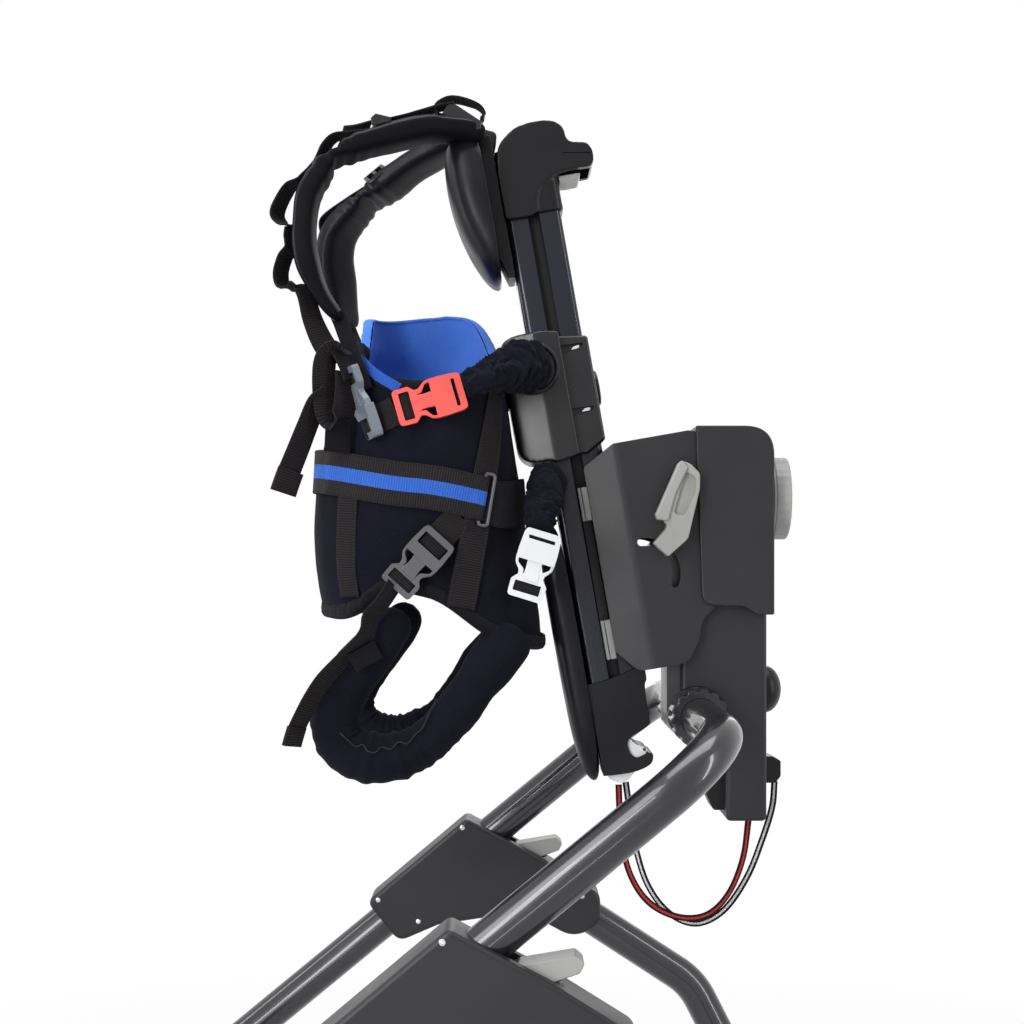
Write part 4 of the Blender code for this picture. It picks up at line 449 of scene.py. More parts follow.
FINISHES.update({
    "tube_paint": tube_paint(),
    "black_steel": black_enamel(),
    "steel": bare_steel(),
    "anodised": anodised(),
    "tyre_rubber": tyre_rubber(),
    "vinyl": padded_vinyl(),
    "fabric": knitted_cloth("black_knit", (0.0035, 0.0035, 0.0070), (0.0085, 0.0085, 0.0150), 0.02),
    "lining": knitted_cloth("blue_lining", (0.050, 0.150, 0.560), (0.085, 0.215, 0.700), 0.10),
    "webbing": woven_band("black_webbing", (0.0040, 0.0036, 0.0040), (0.024, 0.0205, 0.0225)),
    "belt": woven_band("striped_belt", (0.0045, 0.0041, 0.0045), (0.028, 0.0245, 0.026), (0.018, 0.070, 0.320),
                       (0.040, 0.128, 0.490)),
    "blue_webbing": woven_band("blue_webbing", (0.014, 0.055, 0.270), (0.035, 0.115, 0.480)),
    "binding": woven_band("binding_tape", (0.0040, 0.0040, 0.0065), (0.011, 0.0105, 0.014), period=0.0009),
    "piping_cord": woven_band("piping_cord", (0.016, 0.016, 0.019), (0.050, 0.050, 0.056), period=0.0008),
    "red_stripe": woven_band("red_cord_weave", *CORD_BLACK, (0.42, 0.025, 0.025), (0.60, 0.045, 0.045), 0.0010),
    "white_stripe": woven_band("white_cord_weave", *CORD_BLACK, (0.55, 0.55, 0.55), (0.80, 0.80, 0.80), 0.0010),
})


# Making tools

SMOOTH_ANGLE = math.radians(34)


def link_piece(mesh, name, slot, place=WORLD):
    mesh.materials.clear()
    mesh.materials.append(FINISHES[slot])
    return add_object(name, mesh, place)


def shape_tool(mesh, place=WORLD):
    """A shape that cuts a piece or joins it, and goes when the piece settles."""
    return add_object(mesh.name, mesh, place)


def evaluated_mesh(thing):
    bpy.context.view_layer.update()
    return bpy.data.meshes.new_from_object(thing.evaluated_get(bpy.context.evaluated_depsgraph_get()))


def mesh_of(shape, name):
    """The plain mesh of a bmesh, which is then freed."""
    mesh = bpy.data.meshes.new(name)
    shape.to_mesh(mesh)
    shape.free()
    return mesh


def smooth_skin(shape, name):
    bmesh.ops.recalc_face_normals(shape, faces=shape.faces)
    mesh = mesh_of(shape, name)
    mesh.shade_smooth()
    return mesh


def cut(piece, *tools):
    return combine(piece, "DIFFERENCE", tools)


def joined(piece, *tools):
    return combine(piece, "UNION", tools)


def combine(piece, operation, tools):
    for tool in tools:
        step = piece.modifiers.new(tool.name, "BOOLEAN")
        step.operation = operation
        step.object = tool
        step.solver = "EXACT"
    return piece


def round_edges(piece, width, steps=3, angle=math.radians(32)):
    bevel = piece.modifiers.new("edges", "BEVEL")
    bevel.width = width
    bevel.segments = steps
    bevel.limit_method = "ANGLE"
    bevel.angle_limit = angle
    return piece


def melt(piece, grain, rounds):
    """Blends the forms of a moulding into each other, as a toolmaker's fillets do."""
    remesh = piece.modifiers.new("grain", "REMESH")
    remesh.mode = "VOXEL"
    remesh.voxel_size = grain
    remesh.use_smooth_shade = True
    smooth = piece.modifiers.new("blend", "SMOOTH")
    smooth.factor = 0.5
    smooth.iterations = rounds
    return piece


def settle(piece, angle=SMOOTH_ANGLE, tidy=True):
    """Makes the piece a plain mesh in the row frame, with smooth shading and even normals."""
    mesh = evaluated_mesh(piece)
    mesh.transform(piece.matrix_world)
    tools = [step.object for step in piece.modifiers if step.type == "BOOLEAN"]
    piece.modifiers.clear()
    piece.data = mesh
    piece.matrix_world = WORLD
    for tool in tools:
        bpy.data.objects.remove(tool)
    if tidy:
        shape = bmesh.new()
        shape.from_mesh(mesh)
        bmesh.ops.remove_doubles(shape, verts=shape.verts, dist=0.00001)
        bmesh.ops.recalc_face_normals(shape, faces=shape.faces)
        shape.to_mesh(mesh)
        shape.free()
    mesh.shade_smooth()
    mesh.set_sharp_from_angle(angle=angle)
    return piece


def even_normals(piece):
    """Weights the normals by face size, so that flat faces stay flat beside their rounded edges."""
    weigh = piece.modifiers.new("even", "WEIGHTED_NORMAL")
    weigh.keep_sharp = True
    weigh.weight = 100
    mesh = evaluated_mesh(piece)
    piece.modifiers.clear()
    piece.data = mesh
    return piece


def finished(piece, body, nodes=(), angle=SMOOTH_ANGLE):
    """A hard piece that is complete: it rides on its body and stands for its solids."""
    settle(piece, angle)
    even_normals(piece)
    return dressed(piece, body, nodes)


def dressed(piece, body, nodes=()):
    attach(piece, body)
    if nodes:
        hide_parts(*nodes)
    return piece


def arc(centre, radius, start, end, steps):
    turns = [start + (end - start) * index / steps for index in range(steps + 1)]
    return [(centre[0] + radius * math.cos(a), centre[1] + radius * math.sin(a)) for a in turns]


def spline_point(a, b, c, d, t):
    """A smooth curve from b to c, with a before them and d after them."""
    return 0.5 * (2 * b + (c - a) * t + (2 * a - 5 * b + 4 * c - d) * t * t + (3 * b - a - 3 * c + d) * t ** 3)


def rounded(corners, steps=7):
    """An outline from corners (x, z, radius), each corner turned into a smooth arc."""
    outline = []
    count = len(corners)
    for index, (x, z, radius) in enumerate(corners):
        here = Vector((x, z))
        before = Vector(corners[index - 1][:2]) - here
        after = Vector(corners[(index + 1) % count][:2]) - here
        if radius <= 0.0:
            outline.append((x, z))
            continue
        half = before.angle(after) / 2.0
        reach = min(radius / math.tan(half), 0.49 * before.length, 0.49 * after.length)
        start = here + before.normalized() * reach
        end = here + after.normalized() * reach
        for step in range(steps + 1):
            t = step / steps
            point = start * (1 - t) ** 2 + here * 2 * t * (1 - t) + end * t ** 2
            outline.append((point.x, point.y))
    return outline


def flowing(knots, steps=8):
    """A closed outline that flows through its knots; a knot with a third value is a corner."""
    points = []
    for knot in knots:
        points.extend([Vector(knot[:2])] * (2 if len(knot) > 2 else 1))
    count = len(points)
    outline = []
    for index in range(count):
        a, b, c, d = (points[(index + shift) % count] for shift in (-1, 0, 1, 2))
        if (c - b).length < 1e-9:
            continue
        for step in range(steps):
            here = spline_point(a, b, c, d, step / steps)
            outline.append((here.x, here.y))
    return outline


def outline_mesh(name, outlines, thickness, place):
    """An extruded outline, the first one with any others as holes."""
    curve = bpy.data.curves.new(name, "CURVE")
    curve.dimensions = "2D"
    curve.fill_mode = "BOTH"
    curve.extrude = thickness / 2.0
    for outline in outlines:
        spline = curve.splines.new("POLY")
        spline.points.add(len(outline) - 1)
        for point, (x, y) in zip(spline.points, outline):
            point.co = (x, y, 0.0, 1.0)
        spline.use_cyclic_u = True
    thing = add_object(name, curve)
    mesh = evaluated_mesh(thing)
    bpy.data.objects.remove(thing)
    shape = bmesh.new()
    shape.from_mesh(mesh)
    bmesh.ops.remove_doubles(shape, verts=shape.verts, dist=0.00002)
    bmesh.ops.dissolve_limit(shape, angle_limit=math.radians(0.5), verts=shape.verts, edges=shape.edges)
    bmesh.ops.recalc_face_normals(shape, faces=shape.faces)
    shape.to_mesh(mesh)
    shape.free()
    mesh.transform(place)
    return mesh


def facing_y(x, y, z, quarters=1):
    """A place whose own Z lies along the row frame's Y."""
    return Matrix.Translation((x, y, z)) @ Matrix.Rotation(quarters * math.pi / 2, 4, "X")


def side_mesh(name, outline, near_y, far_y):
    """A side view outline in x and z, as thick as the stretch from near_y to far_y."""
    return outline_mesh(name, [outline], abs(far_y - near_y), facing_y(0.0, (near_y + far_y) / 2.0, 0.0))


def side_piece(name, outline, near_y, far_y, slot, place=WORLD, edge=None, steps=3):
    """A piece cut from a side view outline, with its edges rounded by the width edge."""
    piece = link_piece(side_mesh(name, outline, near_y, far_y), name, slot, place)
    return round_edges(piece, edge, steps) if edge else piece


def side_tool(name, outline, near_y, far_y, place=WORLD):
    return shape_tool(side_mesh(name, outline, near_y, far_y), place)


def bar_mesh(name, outlines, low, high):
    return outline_mesh(name, outlines, high - low, Matrix.Translation((0.0, 0.0, (low + high) / 2.0)))


def box_mesh(name, low, high):
    shape = bmesh.new()
    bmesh.ops.create_cube(shape, size=1.0)
    size = [b - a for a, b in zip(low, high)]
    middle = [(a + b) / 2.0 for a, b in zip(low, high)]
    bmesh.ops.transform(shape, matrix=Matrix.Diagonal((*size, 1.0)), verts=shape.verts)
    bmesh.ops.transform(shape, matrix=Matrix.Translation(middle), verts=shape.verts)
    return mesh_of(shape, name)


def box_tool(name, low, high, place=WORLD):
    return shape_tool(box_mesh(name, low, high), place)


def box_piece(name, low, high, slot, place, edge):
    return round_edges(link_piece(box_mesh(name, low, high), name, slot, place), edge, 2)


def rod_mesh(name, start, end, radius, steps=48):
    shape = bmesh.new()
    start = Vector(start)
    along = Vector(end) - start
    bmesh.ops.create_cone(shape, cap_ends=True, segments=steps, radius1=radius, radius2=radius, depth=along.length)
    turn = along.to_track_quat("Z", "Y").to_matrix().to_4x4()
    bmesh.ops.transform(shape, matrix=Matrix.Translation(start + along / 2.0) @ turn, verts=shape.verts)
    return mesh_of(shape, name)


def rod_piece(name, start, end, radius, slot, steps, place=WORLD):
    return link_piece(rod_mesh(name, start, end, radius, steps), name, slot, place)


def rod_tool(name, start, end, radius):
    return shape_tool(rod_mesh(name, start, end, radius))


def circle(radius, steps=48):
    return [(radius * math.cos(2 * math.pi * i / steps), radius * math.sin(2 * math.pi * i / steps))
            for i in range(steps)]


def turned(name, profile, slot, place=WORLD, steps=64):
    """A turned piece: a profile of (radius, height) down its outer side, spun round Z."""
    rings = []
    shape = bmesh.new()
    for radius, height in profile:
        points = circle(radius, steps) if radius > 0.0 else [(0.0, 0.0)]
        rings.append([shape.verts.new((x, y, height)) for x, y in points])
    for ring, following in zip(rings, rings[1:]):
        for i in range(steps):
            j = (i + 1) % steps
            corners = [ring[i % len(ring)], ring[j % len(ring)], following[j % len(following)],
                       following[i % len(following)]]
            distinct = list(dict.fromkeys(corners))
            if len(distinct) > 2:
                shape.faces.new(distinct)
    bmesh.ops.remove_doubles(shape, verts=shape.verts, dist=0.000005)
    bmesh.ops.recalc_face_normals(shape, faces=shape.faces)
    return link_piece(mesh_of(shape, name), name, slot, place)


def bend_path(corners, radii, steps=18):
    """A centre line through corners, with a round bend at each inner one."""
    points = [Vector(corners[0])]
    for index in range(1, len(corners) - 1):
        here = Vector(corners[index])
        before = (Vector(corners[index - 1]) - here).normalized()
        after = (Vector(corners[index + 1]) - here).normalized()
        half = before.angle(after) / 2.0
        radius = radii[index - 1]
        middle = here + (before + after).normalized() * (radius / math.sin(half))
        start = here + before * (radius / math.tan(half)) - middle
        end = here + after * (radius / math.tan(half)) - middle
        turn = start.rotation_difference(end)
        for step in range(steps + 1):
            part_turn = turn.copy()
            part_turn.angle = turn.angle * step / steps
            points.append(middle + part_turn @ start)
    points.append(Vector(corners[-1]))
    return points


def running_lengths(path):
    lengths = [0.0]
    for before, after in zip(path, path[1:]):
        lengths.append(lengths[-1] + (after - before).length)
    return lengths


def heading(path, index):
    """A path's direction at one of its points."""
    return (path[min(index + 1, len(path) - 1)] - path[max(index - 1, 0)]).normalized()


def smooth_path(knots, count):
    """A curve through the knots, with evenly spaced points."""
    knots = [Vector(knot) for knot in knots]
    ends = [knots[0] * 2 - knots[1], *knots, knots[-1] * 2 - knots[-2]]
    fine = []
    for index in range(len(knots) - 1):
        fine.extend(spline_point(*ends[index:index + 4], step / 20.0) for step in range(20))
    fine.append(knots[-1])
    travelled = running_lengths(fine)
    points = []
    place = 0
    for index in range(count):
        wanted = travelled[-1] * index / (count - 1)
        while place < len(fine) - 2 and travelled[place + 1] < wanted:
            place += 1
        span = travelled[place + 1] - travelled[place]
        points.append(fine[place].lerp(fine[place + 1], (wanted - travelled[place]) / span))
    return points


def frames_along(path, across=None):
    """For each point: the direction along, the wide direction and the thick direction."""
    found = []
    guide = None
    for index in range(len(path)):
        along = heading(path, index)
        if across is not None:
            guide = across[index] if isinstance(across, list) else across
        elif guide is None:
            guide = Vector((0, 1, 0)) if abs(along.y) < 0.9 else Vector((1, 0, 0))
        wide = (guide - along * guide.dot(along)).normalized()
        if across is None:
            guide = wide
        found.append((along, wide, along.cross(wide)))
    return found


def skin_over(shape, rings, uv=None, mark=None, closed=False):
    """Faces from each ring of vertices to the next; mark(side, row) is a corner's place on the map."""
    count = len(rings[0])
    for row in range(len(rings) - (0 if closed else 1)):
        ring = rings[row]
        following = rings[(row + 1) % len(rings)]
        for i in range(count):
            j = (i + 1) % count
            face = shape.faces.new((ring[i], ring[j], following[j], following[i]))
            if mark:
                for loop, corner in zip(face.loops, ((i, row), (i + 1, row), (i + 1, row + 1), (i, row + 1))):
                    loop[uv].uv = mark(*corner)


def fan_over(shape, ring, point):
    """Closes a ring of vertices with faces that meet at a point."""
    centre = shape.verts.new(point)
    for i in range(len(ring)):
        shape.faces.new((ring[i], ring[(i + 1) % len(ring)], centre))


def swept_mesh(name, path, section, across=None):
    """A skin of closed sections along a path; the section is a ring of (wide, thick) offsets.

    The map "run" has U round or across the section and V along it in metres.
    """
    shape = bmesh.new()
    uv = shape.loops.layers.uv.new("run")
    lengths = running_lengths(path)
    rings = [[shape.verts.new(point + wide * a + thick * b) for a, b in section]
             for point, (_, wide, thick) in zip(path, frames_along(path, across))]
    reach = max(abs(a) for a, b in section)
    skin_over(shape, rings, uv, lambda side, row: (0.5 + section[side % len(section)][0] / (2 * reach), lengths[row]))
    for ring, height in ((list(reversed(rings[0])), 0.0), (rings[-1], lengths[-1])):
        for loop in shape.faces.new(ring).loops:
            loop[uv].uv = (0.5, height)
    return smooth_skin(shape, name)


def round_tube(name, path, radius, slot, steps=48):
    return link_piece(swept_mesh(name, path, circle(radius, steps)), name, slot)


def flat_section(width, thickness):
    """A flat band's section, with soft edges."""
    a = width / 2
    b = thickness / 2
    lip = min(b, a * 0.4)
    return [(-a, 0.0), (-a + lip * 0.3, -b * 0.8), (-a + lip, -b), (-a * 0.33, -b), (a * 0.33, -b), (a - lip, -b),
            (a - lip * 0.3, -b * 0.8), (a, 0.0), (a - lip * 0.3, b * 0.8), (a - lip, b), (a * 0.33, b),
            (-a * 0.33, b), (-a + lip, b), (-a + lip * 0.3, b * 0.8)]


def band(name, path, width, thickness, slot, across):
    """A strip of webbing along a path, lying flat to the direction across."""
    return link_piece(swept_mesh(name, path, flat_section(width, thickness), across), name, slot)


# Cords

RED_CORD_ROUTE = [
    (0.1155, -0.005, 0.5665), (0.1160, -0.005, 0.550), (0.1175, -0.006, 0.520), (0.1260, -0.006, 0.485),
    (0.1430, -0.007, 0.460), (0.1690, -0.007, 0.447), (0.1950, -0.007, 0.449), (0.2150, -0.006, 0.468),
    (0.2280, -0.006, 0.500), (0.2335, -0.005, 0.5373)
]
WHITE_CORD_ROUTE = [
    (0.1225, 0.005, 0.5675), (0.1250, 0.005, 0.550), (0.1300, 0.006, 0.515), (0.1420, 0.006, 0.475),
    (0.1620, 0.007, 0.448), (0.1870, 0.007, 0.438), (0.2120, 0.007, 0.450), (0.2330, 0.006, 0.480),
    (0.2470, 0.005, 0.515), (0.2560, 0.004, 0.545), (0.2580, 0.003, 0.5685)
]
CORD_WIDTH = 0.006
CORD_THICKNESS = 0.0016


def stretch_of(mesh, name, first, end):
    """The part of a swept mesh between two of its points' numbers, closed again at the cuts."""
    shape = bmesh.new()
    shape.from_mesh(mesh)
    shape.verts.ensure_lookup_table()
    outside = [vertex for vertex in shape.verts if not first <= vertex.index < end]
    bmesh.ops.delete(shape, geom=outside, context="VERTS")
    bmesh.ops.holes_fill(shape, edges=[edge for edge in shape.edges if edge.is_boundary])
    return smooth_skin(shape, name)


def striped_cord(name, knots, slot, twist, node):
    """A flat elastic cord that hangs in a U between the mast's foot and the column, its face to the side.

    It is made in two stretches that meet at the lowest point.
    """
    path = smooth_path(knots, 90)
    last = len(path) - 1
    across = []
    for index in range(len(path)):
        flat = heading(path, index).cross(Vector((0.0, 1.0, 0.0))).normalized()
        turn = twist * math.sin(2 * math.pi * index / last)
        across.append(flat * math.cos(turn) + Vector((0.0, math.sin(turn), 0.0)))
    section = flat_section(CORD_WIDTH, CORD_THICKNESS)
    whole = swept_mesh(name, path, section, across)
    ring = len(section)
    low = min(range(len(path)), key=lambda index: path[index].z)
    halves = (("_front", 0, low, "carrier", "mast", path[low], path[0]),
              ("_rear", low, last, "column", "carrier", path[last], path[low]))
    for ending, first, final, body, far_body, start, end in halves:
        mesh = stretch_of(whole, name + ending, first * ring, (final + 1) * ring)
        piece = link_piece(mesh, name + ending, slot)
        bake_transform(piece)
        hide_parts(node)
    bpy.data.meshes.remove(whole)


striped_cord("red_striped_cord", RED_CORD_ROUTE, "red_stripe", 0.4, "red_cord")
striped_cord("white_striped_cord", WHITE_CORD_ROUTE, "white_stripe", -0.4, "white_cord")


# Side frames

def socket_profile():
    """The caster socket with its turned lower ring and its domed cap."""
    low = SOCKET_LOW
    high = SOCKET_HIGH
    r = SOCKET_RADIUS
    return [(0.0, high), (r - 0.006, high), (r - 0.002, high - 0.001), (r, high - 0.004), (r, low + 0.008),
            (r - 0.0006, low + 0.0072), (r, low + 0.0064), (r, low + 0.002), (r - 0.001, low), (0.0, low)]


def leg_corners(y):
    top = Vector((LEG_PIVOT_X, LEG_PIVOT_Z))
    socket_z = (SOCKET_LOW + SOCKET_HIGH) / 2.0
    run = REAR_SOCKET_X - LEG_PIVOT_X
    fall = LEG_PIVOT_Z - socket_z
    steep = math.tan(LEG_LOW_SLOPE)
    shallow = math.tan(LEG_TOP_SLOPE)
    first = (steep * run - fall) / (steep - shallow)
    knee = top + Vector((first, -first * shallow))
    return [(top.x, y, top.y), (knee.x, y, knee.y), (REAR_SOCKET_X, y, socket_z)]


def join_meshes(piece, *others):
    """Adds other pieces' shells to a piece, all in the row frame."""
    shape = bmesh.new()
    for thing in (piece, *others):
        mesh = thing.data.copy()
        mesh.transform(thing.matrix_world)
        shape.from_mesh(mesh)
    for thing in others:
        bpy.data.objects.remove(thing)
    piece.matrix_world = WORLD
    shape.to_mesh(piece.data)
    shape.free()
    return piece


def bent_tube(name, corners, bend, steps, body, node, *fittings):
    """A painted tube with one bend and a caster socket at its lower end."""
    tube = round_tube(name, bend_path(corners, [bend], steps), TUBE_RADIUS, "tube_paint", 56)
    foot = Matrix.Translation((*corners[-1][:2], 0.0))
    join_meshes(tube, *fittings, turned(name + "_socket", socket_profile(), "tube_paint", foot, 56))
    settle(tube, math.radians(40), tidy=False)
    dressed(tube, body, [node])


def make_main_tube(side):
    y = side * FRAME_Y
    drop = (HUB_X - FRONT_SOCKET_X) * math.tan(MAIN_SLOPE)
    start_y = side * (COLUMN_HALF + GAP + COLLAR_SEAT + GAP)
    corners = [(HUB_X, start_y, HUB_Z), (HUB_X, y, HUB_Z), (FRONT_SOCKET_X, y, HUB_Z - drop)]
    bent_tube("frame_tube_" + SIDE_NAMES[side], corners, MAIN_BEND, 24, "base", "main_tube_" + SIDE_NAMES[side])


def make_rear_leg(side):
    y = side * FRAME_Y
    half = LEG_SLEEVE_HALF
    r = LEG_SLEEVE_RADIUS
    sleeve = turned("leg_sleeve", [(0.0, half), (r - 0.001, half), (r, half - 0.001), (r, 0.001 - half),
                                   (r - 0.001, -half), (0.0, -half)], "tube_paint",
                    facing_y(LEG_PIVOT_X, y, LEG_PIVOT_Z))
    leg = "rear_leg_" + SIDE_NAMES[side]
    bent_tube("folding_leg_" + SIDE_NAMES[side], leg_corners(y), LEG_BEND, 20, leg, leg, sleeve)


def housing_outline():
    return rounded([
        (-0.029, 0.498, 0.008), (-0.134, 0.410, 0.010), (-0.100, 0.368, 0.014), (-0.058, 0.386, 0.020),
        (-0.004, 0.394, 0.020), (0.054, 0.388, 0.014), (0.084, 0.372, 0.030), (0.113, 0.386, 0.024),
        (0.112, 0.418, 0.014), (0.054, 0.454, 0.010), (0.020, 0.472, 0.010)
    ])


def leg_pocket_outline():
    reach = 0.075
    radius = LEG_SLEEVE_RADIUS + RUNNING_GAP
    first = -LEG_TOP_SLOPE
    last = first - LEG_FOLD
    pivot = Vector((LEG_PIVOT_X, LEG_PIVOT_Z))

    def on_side(angle, offset):
        along = Vector((math.cos(angle), math.sin(angle)))
        aside = Vector((math.cos(angle + offset), math.sin(angle + offset)))
        return tuple(pivot + along * reach + aside * radius)

    middle = (first + last) / 2.0
    outline = arc(pivot, radius, first + math.pi / 2, last + 1.5 * math.pi, 16)
    outline.append(on_side(last, -math.pi / 2))
    outline.append(tuple(pivot + Vector((math.cos(middle), math.sin(middle))) * reach * 1.3))
    outline.append(on_side(first, math.pi / 2))
    return outline


def make_housing(side, outer):
    """One moulded half of the housing round the main tube."""
    label = ("outer_" if outer else "inner_") + SIDE_NAMES[side]
    name = "tube_housing_" + label
    away = side if outer else -side
    middle = side * FRAME_Y
    seam = middle + away * GAP / 2
    face = middle + away * HOUSING_HALF
    shell = side_piece(name, housing_outline(), seam, face, "charcoal_plastic")
    round_outer_edge(shell, seam, 0.0045)
    drop = HUB_Z - (HUB_X + 0.060) * math.tan(MAIN_SLOPE)
    run = Vector((math.cos(MAIN_SLOPE), 0.0, math.sin(MAIN_SLOPE)))
    centre = Vector((-0.060, middle, drop))
    pocket_y = middle + away * (LEG_SLEEVE_HALF + RUNNING_GAP)
    lever_y = middle + away * (LEVER_HALF + RUNNING_GAP)
    notch = [(0.002, 0.442), (0.028, 0.4425), (0.052, 0.4515), (0.090, 0.455), (0.090, 0.500), (0.022, 0.487),
             (0.002, 0.466)]
    cut(shell, rod_tool(name + "_channel", centre - run * 0.18, centre + run * 0.18, TUBE_RADIUS + GAP),
        side_tool(name + "_pocket", leg_pocket_outline(), middle, pocket_y),
        side_tool(name + "_notch", notch, middle, lever_y))
    finished(shell, "base", ["housing_" + label])
    for number, (x, z) in enumerate(((-0.0330, 0.4885), (-0.1215, 0.4125), (-0.0793, 0.3900), (0.0930, 0.4165))):
        make_screw("housing_screw_%s_%d" % (label, number + 1), (x, face, z), away)


def round_outer_edge(shell, seam_y, width):
    """Rounds the outer edge and leaves the seam crisp."""
    weights = shell.data.attributes.new("bevel_weight_edge", "FLOAT", "EDGE")
    for edge in shell.data.edges:
        ends = [shell.data.vertices[index].co.y for index in edge.vertices]
        outside = all(abs(y - seam_y) > HOUSING_HALF / 2 for y in ends)
        weights.data[edge.index].value = 1.0 if outside else 0.0
    bevel = shell.modifiers.new("edges", "BEVEL")
    bevel.width = width
    bevel.segments = 5
    bevel.limit_method = "WEIGHT"


def make_screw(name, place, away):
    """A pan head screw with a cross recess."""
    turn = facing_y(*place, -away)
    head = turned(name, [(0.0, 0.0014), (0.0014, 0.0013), (0.0024, 0.0009), (0.0030, 0.0), (0.0030, -0.0012),
                         (0.0, -0.0012)], "steel", turn, 28)
    spin = turn @ Matrix.Rotation(0.6, 4, "Z")
    cut(head, *[box_tool(name + "_slot", (-a, -b, 0.0003), (a, b, 0.003), spin)
                for a, b in ((0.0018, 0.00035), (0.00035, 0.0018))])
    finished(head, "base")


def plain_part(name, outline, near_y, far_y, slot, body, edge, steps=3, nodes=(), place=WORLD):
    """A hard piece that is one outline with rounded edges."""
    finished(side_piece(name, outline, near_y, far_y, slot, place, edge, steps), body, nodes)


def make_fold_lever(side):
    """The light paddle that releases the folding leg."""
    outline = rounded([
        (0.004, 0.447, 0.007), (0.004, 0.459, 0.007), (0.014, 0.463, 0.004), (0.024, 0.469, 0.004),
        (0.066, 0.476, 0.004), (0.073, 0.470, 0.004), (0.069, 0.462, 0.004), (0.047, 0.4545, 0.006),
        (0.028, 0.4465, 0.006), (0.012, 0.4445, 0.004)
    ])
    y = side * FRAME_Y
    lever = "fold_lever_" + SIDE_NAMES[side]
    plain_part("leg_release_" + SIDE_NAMES[side], outline, y - LEVER_HALF, y + LEVER_HALF, "grey_plastic", lever,
               0.0014, nodes=[lever])


def make_fork(label, stem_x, y):
    name = "caster_fork_" + label
    wheel_x = stem_x + CASTER_TRAIL
    crown_top = SOCKET_LOW - GAP
    crown_low = crown_top - CROWN_THICKNESS
    boss = arc((wheel_x, WHEEL_RADIUS), 0.013, -math.pi * 0.95, 0.0, 14)
    outline = [
        *boss, (stem_x + 0.046, 0.110), (stem_x + 0.033, crown_low), (stem_x + 0.022, crown_top),
        (stem_x - 0.018, crown_top), (stem_x - 0.021, crown_low + 0.002), (stem_x - 0.006, 0.115),
    ]
    inner = TYRE_WIDTH / 2 + FORK_SIDE_GAP
    outer = inner + FORK_WALL
    fork = side_piece(name, outline, y - outer, y + outer, "black_steel", edge=0.0012, steps=2)
    cut(fork, box_tool(name + "_slot", (stem_x - 0.15, y - inner, -0.15), (stem_x + 0.15, y + inner, crown_low)))
    settle(fork)
    stem = turned(name + "_stem", [(0.0, SOCKET_LOW + 0.047), (0.0058, SOCKET_LOW + 0.047), (0.0058, crown_low)],
                  "steel", Matrix.Translation((stem_x, y, 0.0)), 24)
    join_meshes(fork, stem)
    dressed(fork, "fork_" + label, ["fork_" + label])
    far = outer + 0.003
    axle = turned("caster_axle_" + label, [
        (0.0, far), (0.0045, far), (0.006, far - 0.001), (0.006, far - 0.003), (0.0055, far - 0.003),
        (0.0055, 0.003 - far), (0.006, 0.003 - far), (0.006, 0.001 - far), (0.0045, -far), (0.0, -far),
    ], "steel", facing_y(wheel_x, y, WHEEL_RADIUS), 24)
    finished(axle, "fork_" + label)


def there_and_back(line):
    """A closed profile from one half of it, mirrored in height."""
    return [*line, *[(radius, -height) for radius, height in reversed(line)], line[0]]


def make_wheel(label, wheel_x, y):
    """A tyre with a rounded tread on a moulded rim with ribs on both faces of its web."""
    place = facing_y(wheel_x, y, WHEEL_RADIUS)
    tread = WHEEL_RADIUS
    inside = tread - TYRE_DEPTH
    half = TYRE_WIDTH / 2
    cheek = [(inside, half * 0.80), (inside + 0.004, half * 0.93), (tread - 0.007, half),
             (tread - 0.003, half * 0.93), (tread - 0.0008, half * 0.80), (tread, half * 0.62)]
    tyre = turned("caster_tyre_" + label, there_and_back(cheek), "tyre_rubber", place, 96)
    settle(tyre, math.radians(50))
    dressed(tyre, "wheel_" + label, ["tyre_" + label])
    rim = inside - GAP
    half_rim = RIM_WIDTH / 2
    web = 0.004
    bore = AXLE_RADIUS + GAP
    hub = half + FORK_SIDE_GAP - GAP
    side_line = [(bore, hub), (bore + 0.007, hub), (bore + 0.008, hub - 0.001), (bore + 0.010, web + 0.002),
                 (bore + 0.012, web), (rim - 0.010, web), (rim - 0.008, web + 0.002), (rim - 0.006, half_rim - 0.003),
                 (rim - 0.005, half_rim - 0.002), (rim, half_rim - 0.002)]
    wheel = turned("caster_rim_" + label, there_and_back(side_line), "grey_plastic", place, 72)
    ribs = []
    for face in (1, -1):
        for index in range(6):
            spin = place @ Matrix.Rotation(math.pi * index / 3, 4, "Z")
            low, high = sorted((face * (web - 0.001), face * (web + 0.0045)))
            ribs.append(settle(box_piece("rib", (bore + 0.008, -0.0018, low), (rim - 0.006, 0.0018, high),
                                         "grey_plastic", spin, 0.0008)))
    settle(wheel)
    join_meshes(wheel, *ribs)
    even_normals(wheel)
    dressed(wheel, "wheel_" + label, ["wheel_" + label])


def ribbed_outline(radius, count, rib, x=0.0, z=0.0):
    """A round outline with ribs, each drawn by (share of its turn, how far it drops in)."""
    outline = []
    for number in range(count):
        for share, drop in rib:
            angle = 2 * math.pi * (number + share) / count
            outline.append((x + (radius - drop) * math.cos(angle), z + (radius - drop) * math.sin(angle)))
    return outline


